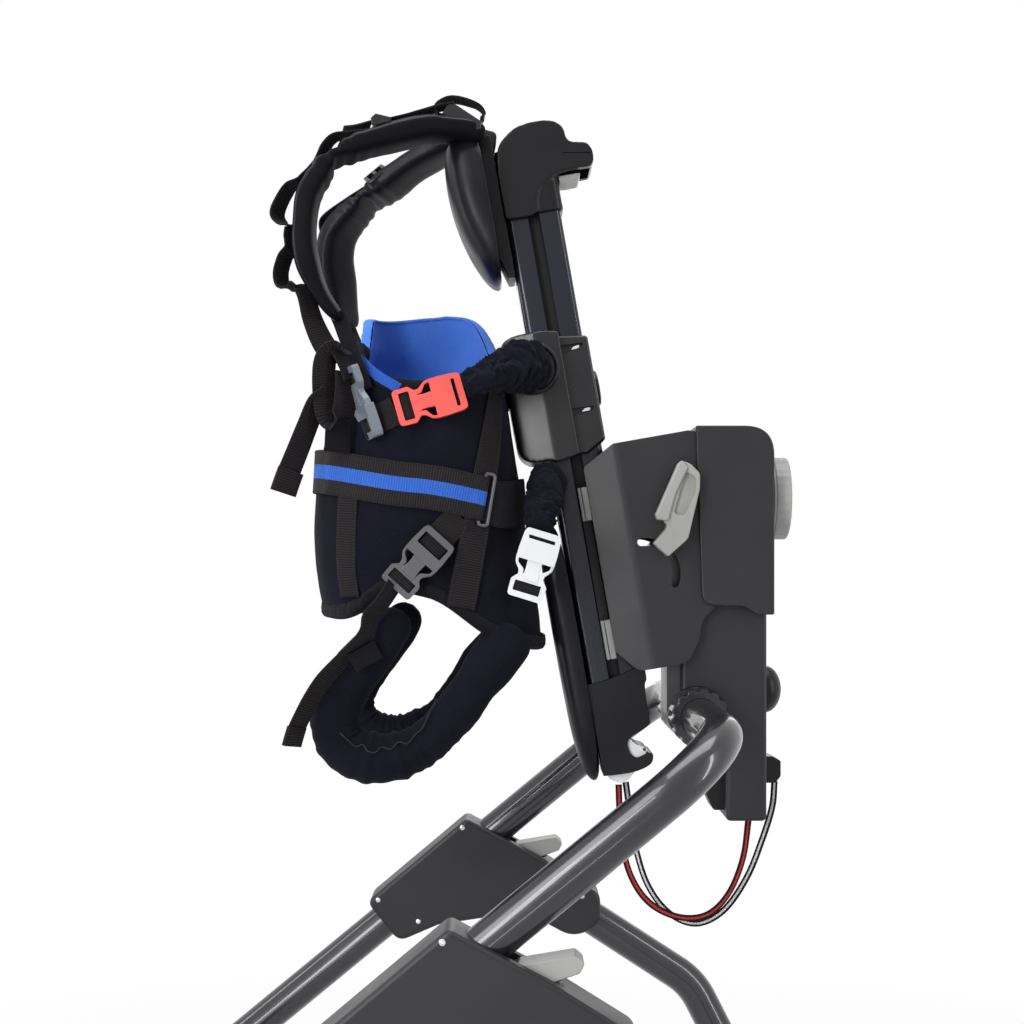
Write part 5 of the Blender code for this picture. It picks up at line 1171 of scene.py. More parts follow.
def make_collar(side):
    """The ribbed collar that clamps a side frame to the column's axle."""
    outline = ribbed_outline(COLLAR_RADIUS, 14, (
        (0.0, 0.0), (0.15, 0.0), (0.3, 0.0), (0.45, 0.0), (0.55, 0.0015), (0.65, 0.0022), (0.85, 0.0022),
        (0.93, 0.0015)), HUB_X, HUB_Z)
    inner = side * (COLUMN_HALF + GAP)
    outer = side * (COLUMN_HALF + GAP + COLLAR_LENGTH)
    collar = side_piece("ribbed_collar_" + SIDE_NAMES[side], outline, inner, outer, "gloss_black")
    round_edges(collar, 0.0012, 2, math.radians(60))
    seat = side * (COLUMN_HALF + GAP + COLLAR_SEAT)
    cut(collar, rod_tool("collar_socket", (HUB_X, seat, HUB_Z), (HUB_X, 2 * outer, HUB_Z), TUBE_RADIUS + GAP))
    finished(collar, "base", ["hub_collar_" + SIDE_NAMES[side]])


# Column

def make_column():
    cover = side_piece("column_body", rounded([
        (COLUMN_UPPER_FRONT_X, COLUMN_TOP_Z, 0.006), (COLUMN_UPPER_FRONT_X, HEAD_LOW_Z + 0.040, 0.0),
        (COLUMN_FRONT_X, HEAD_LOW_Z + 0.024, 0.0), (COLUMN_FRONT_X, 0.645, 0.010),
        (COLUMN_FOOT_FRONT_X, 0.598, 0.010), (COLUMN_FOOT_FRONT_X, COLUMN_FOOT_Z, 0.005),
        (COLUMN_REAR_X, COLUMN_FOOT_Z, 0.005), (COLUMN_REAR_X, COLUMN_TOP_Z, 0.012),
    ]), -COLUMN_HALF, COLUMN_HALF, "charcoal_plastic", edge=0.0035, steps=4)
    cut(cover, rod_tool("boss_space", (HUB_X, -0.1, HUB_Z), (HUB_X, 0.1, HUB_Z), COLLAR_RADIUS + GAP))
    finished(cover, "column", ["column_cover"])
    plain_part("foot_bumper", rounded([
        (COLUMN_FOOT_FRONT_X + 0.004, 0.587, 0.0), (0.196, 0.583, 0.006), (0.193, 0.560, 0.004),
        (0.200, 0.545, 0.004), (COLUMN_FOOT_FRONT_X + 0.004, 0.545, 0.0),
    ]), -0.018, 0.018, "black_plastic", "column", 0.002)


def make_head_cover():
    """The cap over the column's head, with its wavy lower edge."""
    top = COLUMN_TOP_Z + GAP + HEAD_WALL
    rear = COLUMN_REAR_X + GAP + HEAD_WALL
    half = HEAD_INNER_HALF + HEAD_WALL
    cover = side_piece("head_shell", rounded([
        (HEAD_FRONT_X, top, 0.002), (HEAD_FRONT_X + 0.006, 0.731, 0.012), (0.206, 0.7295, 0.010),
        (0.222, 0.7295, 0.010), (0.234, HEAD_LOW_Z, 0.008), (rear, HEAD_LOW_Z, 0.002), (rear, top, 0.026),
    ], 10), -half, half, "charcoal_plastic", edge=0.0045, steps=5)
    cut(cover, side_tool("head_space", rounded([
        (HEAD_FRONT_X - 0.05, COLUMN_TOP_Z + GAP, 0.0), (HEAD_FRONT_X - 0.05, 0.60, 0.0),
        (COLUMN_REAR_X + GAP, 0.60, 0.0), (COLUMN_REAR_X + GAP, COLUMN_TOP_Z + GAP, 0.012),
    ]), -HEAD_INNER_HALF, HEAD_INNER_HALF))
    finished(cover, "column", ["head_cover"])
    finished(box_piece("rear_tab", (rear - 0.001, -0.012, 0.744), (rear + 0.0022, 0.012, 0.768),
                       "charcoal_plastic", WORLD, 0.001), "column")


def along_x(x, z):
    return Matrix.Translation((x, 0.0, z)) @ Matrix.Rotation(math.pi / 2, 4, "Y")


def make_tension_knob():
    """The large knob behind the head cover, with shallow finger ribs and a washer."""
    place = along_x(COLUMN_REAR_X + GAP + HEAD_WALL, TENSION_KNOB_Z)
    outline = ribbed_outline(0.0372, 30, ((0.0, 0.0), (0.25, 0.00008), (0.5, 0.00045), (0.75, 0.00008)))
    knob = link_piece(bar_mesh("tension_wheel", [outline], 0.0042, 0.0188), "tension_wheel", "grey_plastic", place)
    round_edges(knob, 0.0024, 5, math.radians(50))
    settle(knob)
    flange = turned("tension_wheel_flange", [
        (0.0, 0.0046), (0.0370, 0.0046), (0.0380, 0.0042), (0.0380, 0.0030), (0.0372, 0.0026), (0.026, 0.0026),
        (0.026, 0.0006), (0.0, 0.0006)], "grey_plastic", place)
    join_meshes(knob, flange)
    even_normals(knob)
    dressed(knob, "tension_knob", ["tension_knob"])


def make_dome_knob():
    steps = 14
    profile = [(0.0, 0.018)]
    for index in range(1, steps + 1):
        angle = math.pi / 2 * (1 - index / steps)
        profile.append((0.0215 * math.cos(angle), 0.003 + 0.015 * math.sin(angle)))
    profile += [(0.0215, 0.0008), (0.0208, GAP), (0.0, GAP)]
    knob = turned("dome_grip", profile, "black_plastic", along_x(COLUMN_REAR_X, DOME_KNOB_Z))
    finished(knob, "dome_knob", ["dome_knob"])


def make_cord_clip():
    front = COLUMN_REAR_X + GAP
    plain_part("cord_cleat", rounded([
        (front, 0.569, 0.001), (front + 0.0112, 0.569, 0.003), (front + 0.016, 0.575, 0.004),
        (front + 0.016, 0.589, 0.003), (front + 0.008, 0.593, 0.002), (front, 0.593, 0.001),
    ]), -0.013, 0.013, "black_plastic", "column", 0.0014, nodes=["cord_clip"])


def clamp_bolt_place():
    return (PIVOT_X + SLOT_RADIUS * math.cos(BOLT_ANGLE), PIVOT_Z + SLOT_RADIUS * math.sin(BOLT_ANGLE))


def make_clamp_bolt():
    x, z = clamp_bolt_place()
    lever_end = TILT_LEVER_OFFSET + TILT_LEVER_ROOT
    bolt = rod_piece("tilt_bolt", (x, -lever_end - 0.002, z), (x, CARRIER_HALF + 0.0085, z), 0.003, "steel", 24)
    nut = rod_piece("tilt_nut", (x, CARRIER_HALF + GAP, z), (x, CARRIER_HALF + 0.0073, z), 0.0078, "steel", 6)
    join_meshes(settle(bolt), settle(round_edges(nut, 0.0006, 2)))
    dressed(bolt, "column", ["clamp_bolt"])


def make_tilt_lever():
    """The cam lever: a root block on the bolt, a dished web and a raised thumb rail down its front."""
    x, z = clamp_bolt_place()
    inner = -TILT_LEVER_OFFSET
    outer = inner - TILT_LEVER_ROOT
    face = outer - TILT_LEVER_BODY

    def about(points):
        return rounded([(x + a, z + b, radius) for a, b, radius in points])

    web = side_piece("tilt_clamp_lever", about([
        (-0.0023, 0.0235, 0.002), (0.0138, 0.0768, 0.003), (0.0215, 0.0735, 0.004), (0.0295, 0.0655, 0.008),
        (0.0292, 0.0520, 0.010), (0.0190, 0.0085, 0.010), (0.0015, -0.0070, 0.0015), (-0.0112, 0.0043, 0.0015),
        (-0.0004, 0.0170, 0.002), (0.0005, 0.0210, 0.002)
    ]), inner - GAP, face + 0.0030, "grey_plastic", edge=0.0013)
    dish = side_tool("lever_dish", about([
        (0.0058, 0.0300, 0.004), (0.0172, 0.0680, 0.003), (0.0262, 0.0615, 0.006), (0.0255, 0.0500, 0.006),
        (0.0165, 0.0290, 0.005)
    ]), face + 0.0062, face - 0.02)
    under = side_tool("lever_under", about([
        (-0.0150, 0.0215, 0.0), (0.0000, 0.0215, 0.002), (0.0120, 0.0190, 0.006), (0.0300, 0.0130, 0.0),
        (0.0400, 0.0900, 0.0), (-0.0150, 0.0900, 0.0)
    ]), inner + 0.01, outer - 0.0006)
    cut(web, dish, under)
    settle(web)
    rail = side_piece("lever_rail", about([
        (-0.0100, 0.0292, 0.002), (0.0098, 0.0742, 0.004), (0.0136, 0.0772, 0.003), (0.0186, 0.0705, 0.002),
        (0.0076, 0.0470, 0.004), (0.0012, 0.0240, 0.002), (-0.0082, 0.0252, 0.002)
    ]), outer - 0.0012, face, "grey_plastic", edge=0.0022, steps=4)
    settle(rail)
    join_meshes(web, rail)
    even_normals(web)
    dressed(web, "tilt_lever", ["tilt_lever"])


# Carrier and mast

def carrier_outline():
    return rounded([
        (CARRIER_FRONT_V, CARRIER_TOP_U - 0.016, 0.004), (CARRIER_FRONT_V, CARRIER_LOW_U + 0.020, 0.006),
        (-0.020, CARRIER_LOW_U, 0.012), (0.024, CARRIER_LOW_U, 0.014), (0.037, CARRIER_LOW_U + 0.018, 0.010),
        (0.043, CARRIER_LOW_U + 0.035, 0.012), (0.058, CARRIER_LOW_U + 0.046, 0.006),
        (0.080, CARRIER_LOW_U + 0.047, 0.006), (CARRIER_REAR_V, -0.010, 0.012),
        (CARRIER_REAR_V, 0.050, 0.020), (0.072, CARRIER_TOP_U - 0.006, 0.010),
        (0.060, CARRIER_TOP_U, 0.006), (-0.008, CARRIER_TOP_U, 0.006),
    ])


def carrier_wall(side):
    """A side wall's section: flat behind the soft crease, turned in towards the mast in front of it."""
    outer = CARRIER_HALF
    inner = CARRIER_HALF - CARRIER_WALL
    nose = CARRIER_FRONT_INSET
    far = 0.2
    front = CARRIER_FRONT_V - 0.001
    slope = nose / (CARRIER_CREASE_V - front)
    soft = 0.004
    crease = [(CARRIER_CREASE_V - soft, side * (outer - slope * soft)),
              (CARRIER_CREASE_V - soft * 0.3, side * (outer - slope * soft * 0.42)),
              (CARRIER_CREASE_V + soft * 0.4, side * (outer - slope * soft * 0.10)),
              (CARRIER_CREASE_V + soft, side * outer)]
    section = [(front, side * (inner - nose)), (front, side * (outer - nose)), *crease, (far, side * outer),
               (far, side * inner), (CARRIER_CREASE_V, side * inner)]
    return bar_mesh("carrier_wall_" + SIDE_NAMES[side], [section], -far, far)


def slot_outline():
    first = SLOT_FROM - LEAN
    last = SLOT_TO - LEAN
    low, high = (arc((0, 0), SLOT_RADIUS, angle, angle, 1)[0] for angle in (first, last))
    return [
        *arc((0, 0), SLOT_RADIUS + SLOT_HALF, first, last, 24),
        *arc(high, SLOT_HALF, last, last + math.pi, 8)[1:-1],
        *arc((0, 0), SLOT_RADIUS - SLOT_HALF, last, first, 24),
        *arc(low, SLOT_HALF, first - math.pi, first, 8)[1:-1],
    ]


def make_carrier():
    """The tilting carrier: two walls with arc slots, joined by an upper and a lower web."""
    body = link_piece(carrier_wall(LEFT), "tilt_carrier", "charcoal_plastic", MAST)
    inner = CARRIER_HALF - CARRIER_WALL
    joined(body, shape_tool(carrier_wall(RIGHT), MAST))
    combine(body, "INTERSECT", [side_tool("carrier_side", carrier_outline(), -0.06, 0.06, MAST)])
    webs = (("carrier_top_web", -0.0085, 0.026, CARRIER_TOP_U - 0.014, CARRIER_TOP_U - 0.001),
            ("carrier_low_web", -0.0120, 0.000, CARRIER_LOW_U + 0.001, CARRIER_LOW_U + 0.012))
    for label, front, rear, low, high in webs:
        joined(body, box_tool(label, (front, -inner - 0.002, low), (rear, inner + 0.002, high), MAST))
    cut(body, side_tool("arc_slot", slot_outline(), -0.06, 0.06, MAST))
    round_edges(body, 0.0009, 2, math.radians(50))
    finished(body, "carrier", ["carrier"], math.radians(40))


def mast_tool(name, low, high, gap=GAP):
    return box_tool(name, (MAST_FRONT_V - gap, -MAST_HALF - gap, low),
                    (MAST_REAR_V + gap, MAST_HALF + gap, high), MAST)


def mast_outline():
    """The extrusion's section: round corners, an eased T slot and a fine groove in each side."""
    corner = 0.0062
    easing = 0.0007
    wing = 0.011
    quarter = [math.pi / 2 * i / 7 for i in range(8)]
    outline = []
    for side, edge in ((1, MAST_REAR_V), (-1, MAST_FRONT_V)):
        near = T_SLOT_V - side * T_MOUTH_HALF
        far = T_SLOT_V + side * T_MOUTH_HALF
        line = [(near - side * easing, 0.0), (near, easing), (near, 0.003), (T_SLOT_V - side * wing, 0.003),
                (T_SLOT_V - side * wing, 0.008), (T_SLOT_V + side * wing, 0.008), (T_SLOT_V + side * wing, 0.003),
                (far, 0.003), (far, easing), (far + side * easing, 0.0)]
        if side > 0:
            groove = far + 0.0062
            line += [(groove, 0.0), (groove + 0.0004, easing), (groove + 0.0010, easing), (groove + 0.0014, 0.0)]
        outline += [(v, side * (MAST_HALF - depth)) for v, depth in line]
        middle = edge - side * corner
        outline += [(middle + side * corner * math.sin(a), side * (MAST_HALF - corner + corner * math.cos(a)))
                    for a in quarter]
        outline += [(middle + side * corner * math.cos(a), -side * (MAST_HALF - corner + corner * math.sin(a)))
                    for a in quarter]
    return outline


def make_mast():
    """The black anodised extrusion, hollow, with a T slot down each side."""
    core = [(T_SLOT_V - 0.009, -0.011), (T_SLOT_V + 0.009, -0.011), (T_SLOT_V + 0.009, 0.011),
            (T_SLOT_V - 0.009, 0.011)]
    chambers = [[(low, -0.018), (high, -0.018), (high, 0.018), (low, 0.018)]
                for low, high in ((MAST_FRONT_V + 0.0025, T_SLOT_V - 0.0135),
                                  (T_SLOT_V + 0.0135, MAST_REAR_V - 0.0025))]
    mesh = bar_mesh("mast_extrusion", [mast_outline(), core, *chambers], MAST_LOW_U, MAST_TOP_U)
    mast = link_piece(mesh, "mast_extrusion", "anodised", MAST)
    settle(mast, math.radians(26))
    mast.data.materials.append(FINISHES["slot_shadow"])
    back = MAST.inverted()
    for face in mast.data.polygons:
        spot = back @ face.center
        if abs(spot.x - T_SLOT_V) < 0.0115 and 0.011 < abs(spot.y) < MAST_HALF - 0.0010:
            face.material_index = 1
    dressed(mast, "mast", ["mast"])


def make_slide_rail(side):
    """The dark strip in the mast's slot with its two light shoes, each in two leaves."""
    label = SIDE_NAMES[side]
    half = T_MOUTH_HALF - RUNNING_GAP
    tongue = side * (MAST_HALF - 0.0075)
    strip = side * (MAST_HALF - 0.0012)
    face = side * (CARRIER_HALF - CARRIER_WALL - CARRIER_FRONT_INSET - GAP)
    low_y, high_y = sorted((tongue, strip))
    finished(box_piece("slot_strip_" + label, (T_SLOT_V - half, low_y, -0.070), (T_SLOT_V + half, high_y, 0.085),
                       "black_plastic", MAST, 0.0006), "carrier")
    leaves = []
    for low, high in ((-0.070, -0.035), (0.055, 0.085)):
        for first, last in ((-half, -half + 0.0026), (-half + 0.0032, half)):
            low_y, high_y = sorted((strip, face))
            leaves.append(settle(box_piece("shoe_leaf", (T_SLOT_V + first, low_y, low),
                                           (T_SLOT_V + last, high_y, high), "worn_grey", MAST, 0.0005)))
    shoes = leaves[0]
    shoes.name = "slide_shoes_" + label
    join_meshes(shoes, *leaves[1:])
    even_normals(shoes)
    dressed(shoes, "carrier", ["slide_rail_" + label])


def make_top_cap():
    """The mast's soft moulded head: a broad front, a narrower neck, and a grip that flares over the lever."""
    head = flowing([
        (-0.0662, 0.3325, 1), (-0.0662, 0.372), (-0.0640, 0.3900), (-0.0590, 0.4010), (-0.0459, 0.4109),
        (-0.0335, 0.4142), (-0.0223, 0.4146), (-0.0115, 0.4130), (-0.0040, 0.4083), (-0.0009, 0.4022),
        (-0.0006, 0.3970), (0.0012, 0.3933), (0.0045, 0.3910), (0.0148, 0.3887), (0.0190, 0.3851), (0.0210, 0.3796),
        (0.0208, 0.3735), (0.0188, 0.3685), (0.0150, 0.3667), (0.0071, 0.3670), (-0.0080, 0.3668), (-0.0210, 0.3625),
        (-0.0310, 0.3550), (-0.0350, 0.3450), (-0.0362, 0.3350, 1), (-0.0440, 0.3318), (-0.0550, 0.3318)
    ])
    cap = side_piece("mast_head", head, -CAP_HALF, CAP_HALF, "black_plastic", MAST)
    neck = bar_mesh("mast_neck", [rounded([
        (-0.050, -0.0275, 0.004), (-0.0130, -0.0275, 0.011), (-0.0130, 0.0275, 0.011), (-0.050, 0.0275, 0.004)
    ])], 0.3340, 0.3800)
    joined(cap, shape_tool(neck, MAST))
    melt(cap, 0.0012, 10)
    settle(cap, math.radians(60), tidy=False)
    room = box_tool("grip_room", (-0.0155, -GRIP_LEVER_HALF - RUNNING_GAP, 0.340),
                    (0.0165, GRIP_LEVER_HALF + RUNNING_GAP, 0.3760), MAST)
    groove = side_tool("grip_groove", [(-0.006, 0.3828), (0.03, 0.3766), (0.03, 0.3758), (-0.006, 0.3820)],
                       -0.04, 0.04, MAST)
    cut(groove, side_tool("grip_core", [(-0.02, 0.36), (0.0199, 0.36), (0.0199, 0.395), (-0.02, 0.395)],
                          -0.0284, 0.0284, MAST))
    settle(groove)
    cut(cap, mast_tool("mast_head_space", 0.2, MAST_TOP_U + GAP), room, groove)
    settle(cap, math.radians(50))
    dressed(cap, "mast", ["top_cap"])


def make_grip_lever():
    plain_part("squeeze_lever", rounded([
        (-0.0125, 0.3598, 0.001), (-0.006, 0.3592, 0.002), (0.0048, 0.3594, 0.002), (0.0068, 0.3618, 0.002),
        (0.0072, 0.3645, 0.001), (-0.0125, 0.3645, 0.001)
    ]), -GRIP_LEVER_HALF, GRIP_LEVER_HALF, "grey_plastic", "grip_lever", 0.0012, nodes=["grip_lever"], place=MAST)


def make_foot_cap():
    """The cap on the mast's foot, with its hook notch, a pale liner in the notch and a pale end plate."""
    cap = side_piece("mast_shoe", flowing([
        (-0.0662, -0.0895, 1), (-0.0662, -0.130), (-0.0662, -0.1722, 1), (-0.0560, -0.1730), (-0.0450, -0.1733),
        (-0.0350, -0.1728), (-0.0250, -0.1700), (-0.0205, -0.1660), (-0.0196, -0.1600), (-0.0240, -0.1588),
        (-0.0334, -0.1610), (-0.0385, -0.1570), (-0.0402, -0.1500), (-0.0392, -0.1450), (-0.0350, -0.1415),
        (-0.0274, -0.1387), (-0.0182, -0.1340), (-0.0166, -0.1305, 1), (-0.0172, -0.1270), (-0.0160, -0.1000),
        (-0.0135, -0.0935), (-0.0135, -0.0840), (-0.0170, -0.0818), (-0.0230, -0.0826), (-0.0292, -0.0841),
        (-0.0455, -0.0875), (-0.0560, -0.0890)
    ], 6), -FOOT_CAP_HALF, FOOT_CAP_HALF, "black_plastic", MAST, 0.0024, 4)
    cut(cap, mast_tool("mast_shoe_space", MAST_LOW_U - GAP, 0.0),
        box_tool("cord_way", (T_SLOT_V - 0.009, -0.011, -0.25), (T_SLOT_V + 0.003, 0.011, -0.05), MAST))
    finished(cap, "mast", ["foot_cap"])
    plain_part("notch_liner", flowing([
        (-0.0396, -0.1440), (-0.0410, -0.1500), (-0.0398, -0.1572), (-0.0340, -0.1618), (-0.0250, -0.1598),
        (-0.0232, -0.1560), (-0.0262, -0.1530), (-0.0310, -0.1505), (-0.0345, -0.1470), (-0.0368, -0.1436)
    ], 6), -FOOT_CAP_HALF + 0.0026, FOOT_CAP_HALF - 0.0026, "white_plastic", "mast", 0.0008, 2, place=MAST)
    y = -FOOT_CAP_HALF + 0.0026
    for number, (v, u) in enumerate(((-0.0262, -0.1553), (-0.0242, -0.1588)), 1):
        finished(rod_piece("liner_screw_%d" % number, (v, y - 0.0008, u), (v, y + 0.002, u), 0.0014, "black_steel", 20,
                           MAST), "mast")
    plain_part("shoe_end_plate", flowing([
        (-0.0615, -0.1735), (-0.0590, -0.1780), (-0.0520, -0.1812), (-0.0450, -0.1800), (-0.0400, -0.1755),
        (-0.0388, -0.1735), (-0.0500, -0.1725)
    ], 6), -FOOT_CAP_HALF + 0.0045, -0.0125, "white_plastic", "mast", 0.0006, 2, place=MAST)


def make_back_plate():
    rear = MAST_FRONT_V - 0.0005
    plain_part("pad_plate", rounded([
        (rear, 0.281, 0.001), (rear, 0.410, 0.003), (-0.0755, 0.412, 0.003), (-0.0775, 0.405, 0.002),
        (-0.0775, 0.300, 0.002), (-0.072, 0.281, 0.002)
    ]), -0.026, 0.026, "black_plastic", "mast", 0.0014, nodes=["back_plate"], place=MAST)


def make_bracket():
    """The moulded bracket that slides on the mast: a broad nose, side mouths for the arms, and a rear clamp."""
    nose = bar_mesh("bracket_nose", [rounded([
        (-0.093, -0.0325, 0.010), (-0.060, -BRACKET_HALF, 0.010), (-0.038, -BRACKET_HALF, 0.0),
        (-0.038, BRACKET_HALF, 0.0), (-0.060, BRACKET_HALF, 0.010), (-0.093, 0.0325, 0.010)
    ])], 0.05, 0.28)
    body = link_piece(nose, "harness_bracket", "satin_black", MAST)
    side = side_tool("bracket_side", flowing([
        (-0.0550, 0.1115, 1), (-0.0700, 0.1125), (-0.0830, 0.1150), (-0.0905, 0.1240), (-0.0915, 0.1400),
        (-0.0920, 0.1800), (-0.0920, 0.2100), (-0.0900, 0.2215), (-0.0820, 0.2270), (-0.0680, 0.2285),
        (-0.0500, 0.2275), (-0.0380, 0.2250, 1), (-0.0380, 0.1145, 1)
    ], 6), -0.06, 0.06, MAST)
    combine(body, "INTERSECT", [side])
    melt(body, 0.0016, 6)
    settle(body, math.radians(60), tidy=False)
    cut(body, mast_tool("bracket_space", 0.0, 0.3, RUNNING_GAP))
    settle(body, math.radians(50))
    rear = side_piece("bracket_rear", rounded([
        (-0.052, BRACKET_LOW_U + 0.004, 0.0), (-0.052, BRACKET_TOP_U - 0.002, 0.0),
        (BRACKET_REAR_V, BRACKET_TOP_U - 0.008, 0.004), (BRACKET_REAR_V, BRACKET_LOW_U + 0.012, 0.004),
        (-0.030, BRACKET_LOW_U + 0.002, 0.004),
    ]), -BRACKET_REAR_HALF, BRACKET_REAR_HALF, "satin_black", MAST, 0.0060, 6)
    notches = []
    bosses = []
    for away in (LEFT, RIGHT):
        # Painted highlights: small white pieces in the rear clamp's notches stand for the glints seen in them.
        for number, low in enumerate((0.2048, 0.1487), 1):
            plain_part("painted_notch_glint_%s_%d" % (SIDE_NAMES[away], number), rounded([
                (-0.0300, low + 0.0026, 0.0008), (-0.0215, low + 0.0030, 0.0008), (-0.0212, low + 0.0058, 0.0008),
                (-0.0262, low + 0.0054, 0.0008)], 3), away * (BRACKET_REAR_HALF - 0.0068),
                away * (BRACKET_REAR_HALF - 0.0012), "white_plastic", "chest_bracket", 0.0005, 2, place=MAST)
        for low, high in ((0.2045, 0.2130), (0.1485, 0.1560)):
            notches.append(side_tool("bracket_notch", rounded([
                (-0.0375, high, 0.001), (-0.0170, high - 0.001, 0.001), (-0.0190, high - 0.004, 0.001),
                (-0.0370, low, 0.001)], 2), away * (BRACKET_REAR_HALF - 0.007), away * 0.06, MAST))
        place = MAST @ facing_y(-0.066, away * (BRACKET_HALF - 0.010), 0.196, -away)
        bosses.append(settle(turned("bracket_mouth", [
            (0.0, 0.006), (0.0195, 0.006), (0.0200, 0.0145), (0.0212, 0.0158), (0.0226, 0.0158), (0.0236, 0.0145),
            (0.0240, 0.0), (0.0, 0.0)
        ], "satin_black", place, 56)))
    cut(rear, mast_tool("bracket_rear_space", 0.0, 0.3, RUNNING_GAP), *notches)
    join_meshes(body, settle(rear), *bosses)
    even_normals(body)
    dressed(body, "chest_bracket", ["chest_bracket"])


def make_bracket_knob():
    knob = turned("bracket_clamp_knob", [
        (0.0, 0.004), (0.012, 0.004), (0.0145, 0.0036), (0.0158, 0.0026), (0.016, 0.0014), (0.016, 0.0), (0.0, 0.0)
    ], "black_plastic", MAST @ along_x(BRACKET_REAR_V + GAP, BRACKET_KNOB_U))
    finished(knob, "bracket_knob", ["bracket_knob"])


def make_hard_parts():
    for side in (LEFT, RIGHT):
        label = SIDE_NAMES[side]
        y = side * FRAME_Y
        make_main_tube(side)
        make_rear_leg(side)
        for outer in (True, False):
            make_housing(side, outer)
        make_fold_lever(side)
        make_collar(side)
        for place, stem_x in (("front", FRONT_SOCKET_X), ("rear", REAR_SOCKET_X)):
            make_fork(place + "_" + label, stem_x, y)
            make_wheel(place + "_" + label, stem_x + CASTER_TRAIL, y)
    make_column()
    make_head_cover()
    make_tension_knob()
    make_dome_knob()
    make_cord_clip()
    make_clamp_bolt()
    make_tilt_lever()
    make_carrier()
    make_mast()
    for side in (LEFT, RIGHT):
        make_slide_rail(side)
    make_top_cap()
    make_grip_lever()
    make_foot_cap()
    make_back_plate()
    make_bracket()
    make_bracket_knob()


make_hard_parts()


# Harness: shapes that every piece of it lies on

LOOP_Y = 0.088
VEST_MIDDLE_X = -0.055
VEST_LOW_Z = 0.700
VEST_TOP_Z = 0.966
VEST_HALF_WIDTH = 0.100
VEST_WALL = 0.008
VEST_SQUARENESS = 0.75
WEBBING_WIDTH = 0.025
WEBBING_THICKNESS = 0.0016
BELT_WIDTH = 0.038
STRAP_WIDTH = 0.0235
LOOSE_WIDTH = 0.0245


def clamped(share):
    return max(0.0, min(1.0, share))


def eased(share):
    """A share that starts and ends its run softly."""
    return share * share * (3 - 2 * share)


def bell(value, middle, width):
    return math.exp(-((value - middle) / width) ** 2)


def powered(value, power):
    return math.copysign(abs(value) ** power, value)


def vest_section(z):
    share = (z - VEST_LOW_Z) / (VEST_TOP_Z - VEST_LOW_Z)
    below = min(share, 1.0)
    front = -0.146 - 0.070 * below + 0.095 * below ** 2
    back = 0.046 - share * 0.040
    half = VEST_HALF_WIDTH - 0.006 * abs(share - 0.4)
    return front, back, half


def vest_edges(angle):
    """Lower and upper edge heights round the vest: angle 0 is the front, a quarter turn is the left."""
    toward_back = (1 - math.cos(angle)) / 2.0
    leftness = math.sin(angle)
    dip = abs(leftness) ** 2.0
    top = VEST_TOP_Z - 0.002 - 0.012 * toward_back
    if leftness > 0:
        top -= 0.036 * dip
    else:
        rise = eased(min(1.0, toward_back / 0.035))
        fall = max(0.0, (toward_back - 0.62) / 0.38)
        top += (0.030 + 0.017 * min(1.0, toward_back / 0.6)) * rise * (1 - fall ** 4)
    low = VEST_LOW_Z + 0.022 - 0.030 * toward_back + 0.036 * bell(toward_back, 0.45, 0.20)
    return low, top


def vest_point(angle, z, lift=0.0):
    """A point on the vest's outer face, or lifted off it."""
    front, back, half = vest_section(z)
    low, top = vest_edges(angle)
    reach = (back - front) / 2.0
    across = powered(math.sin(angle), VEST_SQUARENESS)
    along = powered(math.cos(angle), VEST_SQUARENESS)
    bulge = 1.0 + 0.03 * math.sin(math.pi * clamped((z - low) / (top - low)))
    return Vector(((front + back) / 2 - (reach + lift) * along, -(half * bulge + lift) * across, z))


def vest_angle(x, z):
    """The angle round the vest's left side at which it passes a given x."""
    front, back, _ = vest_section(z)
    along = ((front + back) / 2 - x) / ((back - front) / 2.0)
    return math.acos(powered(max(-1.0, min(1.0, along)), 1 / VEST_SQUARENESS))


def on_vest(x, z, lift=0.0):
    return vest_point(vest_angle(x, z), z, lift)


def vest_normal(x, z):
    here = on_vest(x, z)
    normal = (on_vest(x + 0.002, z) - here).cross(on_vest(x, z + 0.002) - here)
    return normal.normalized() * (-1.0 if normal.y > 0 else 1.0)


def vest_outward(point, lean=0.0):
    """The level direction away from the vest's middle, or one that leans up a little."""
    away = Vector((point.x - VEST_MIDDLE_X, point.y, 0.0)).normalized()
    return (away + Vector((0.0, 0.0, lean))).normalized() if lean else away


def ruffle(point, scale, strength, seed=0.0):
    """A smooth random push for a point."""
    return strength * noise.noise(point * scale + Vector((seed, seed * 1.7, seed * 0.3)))


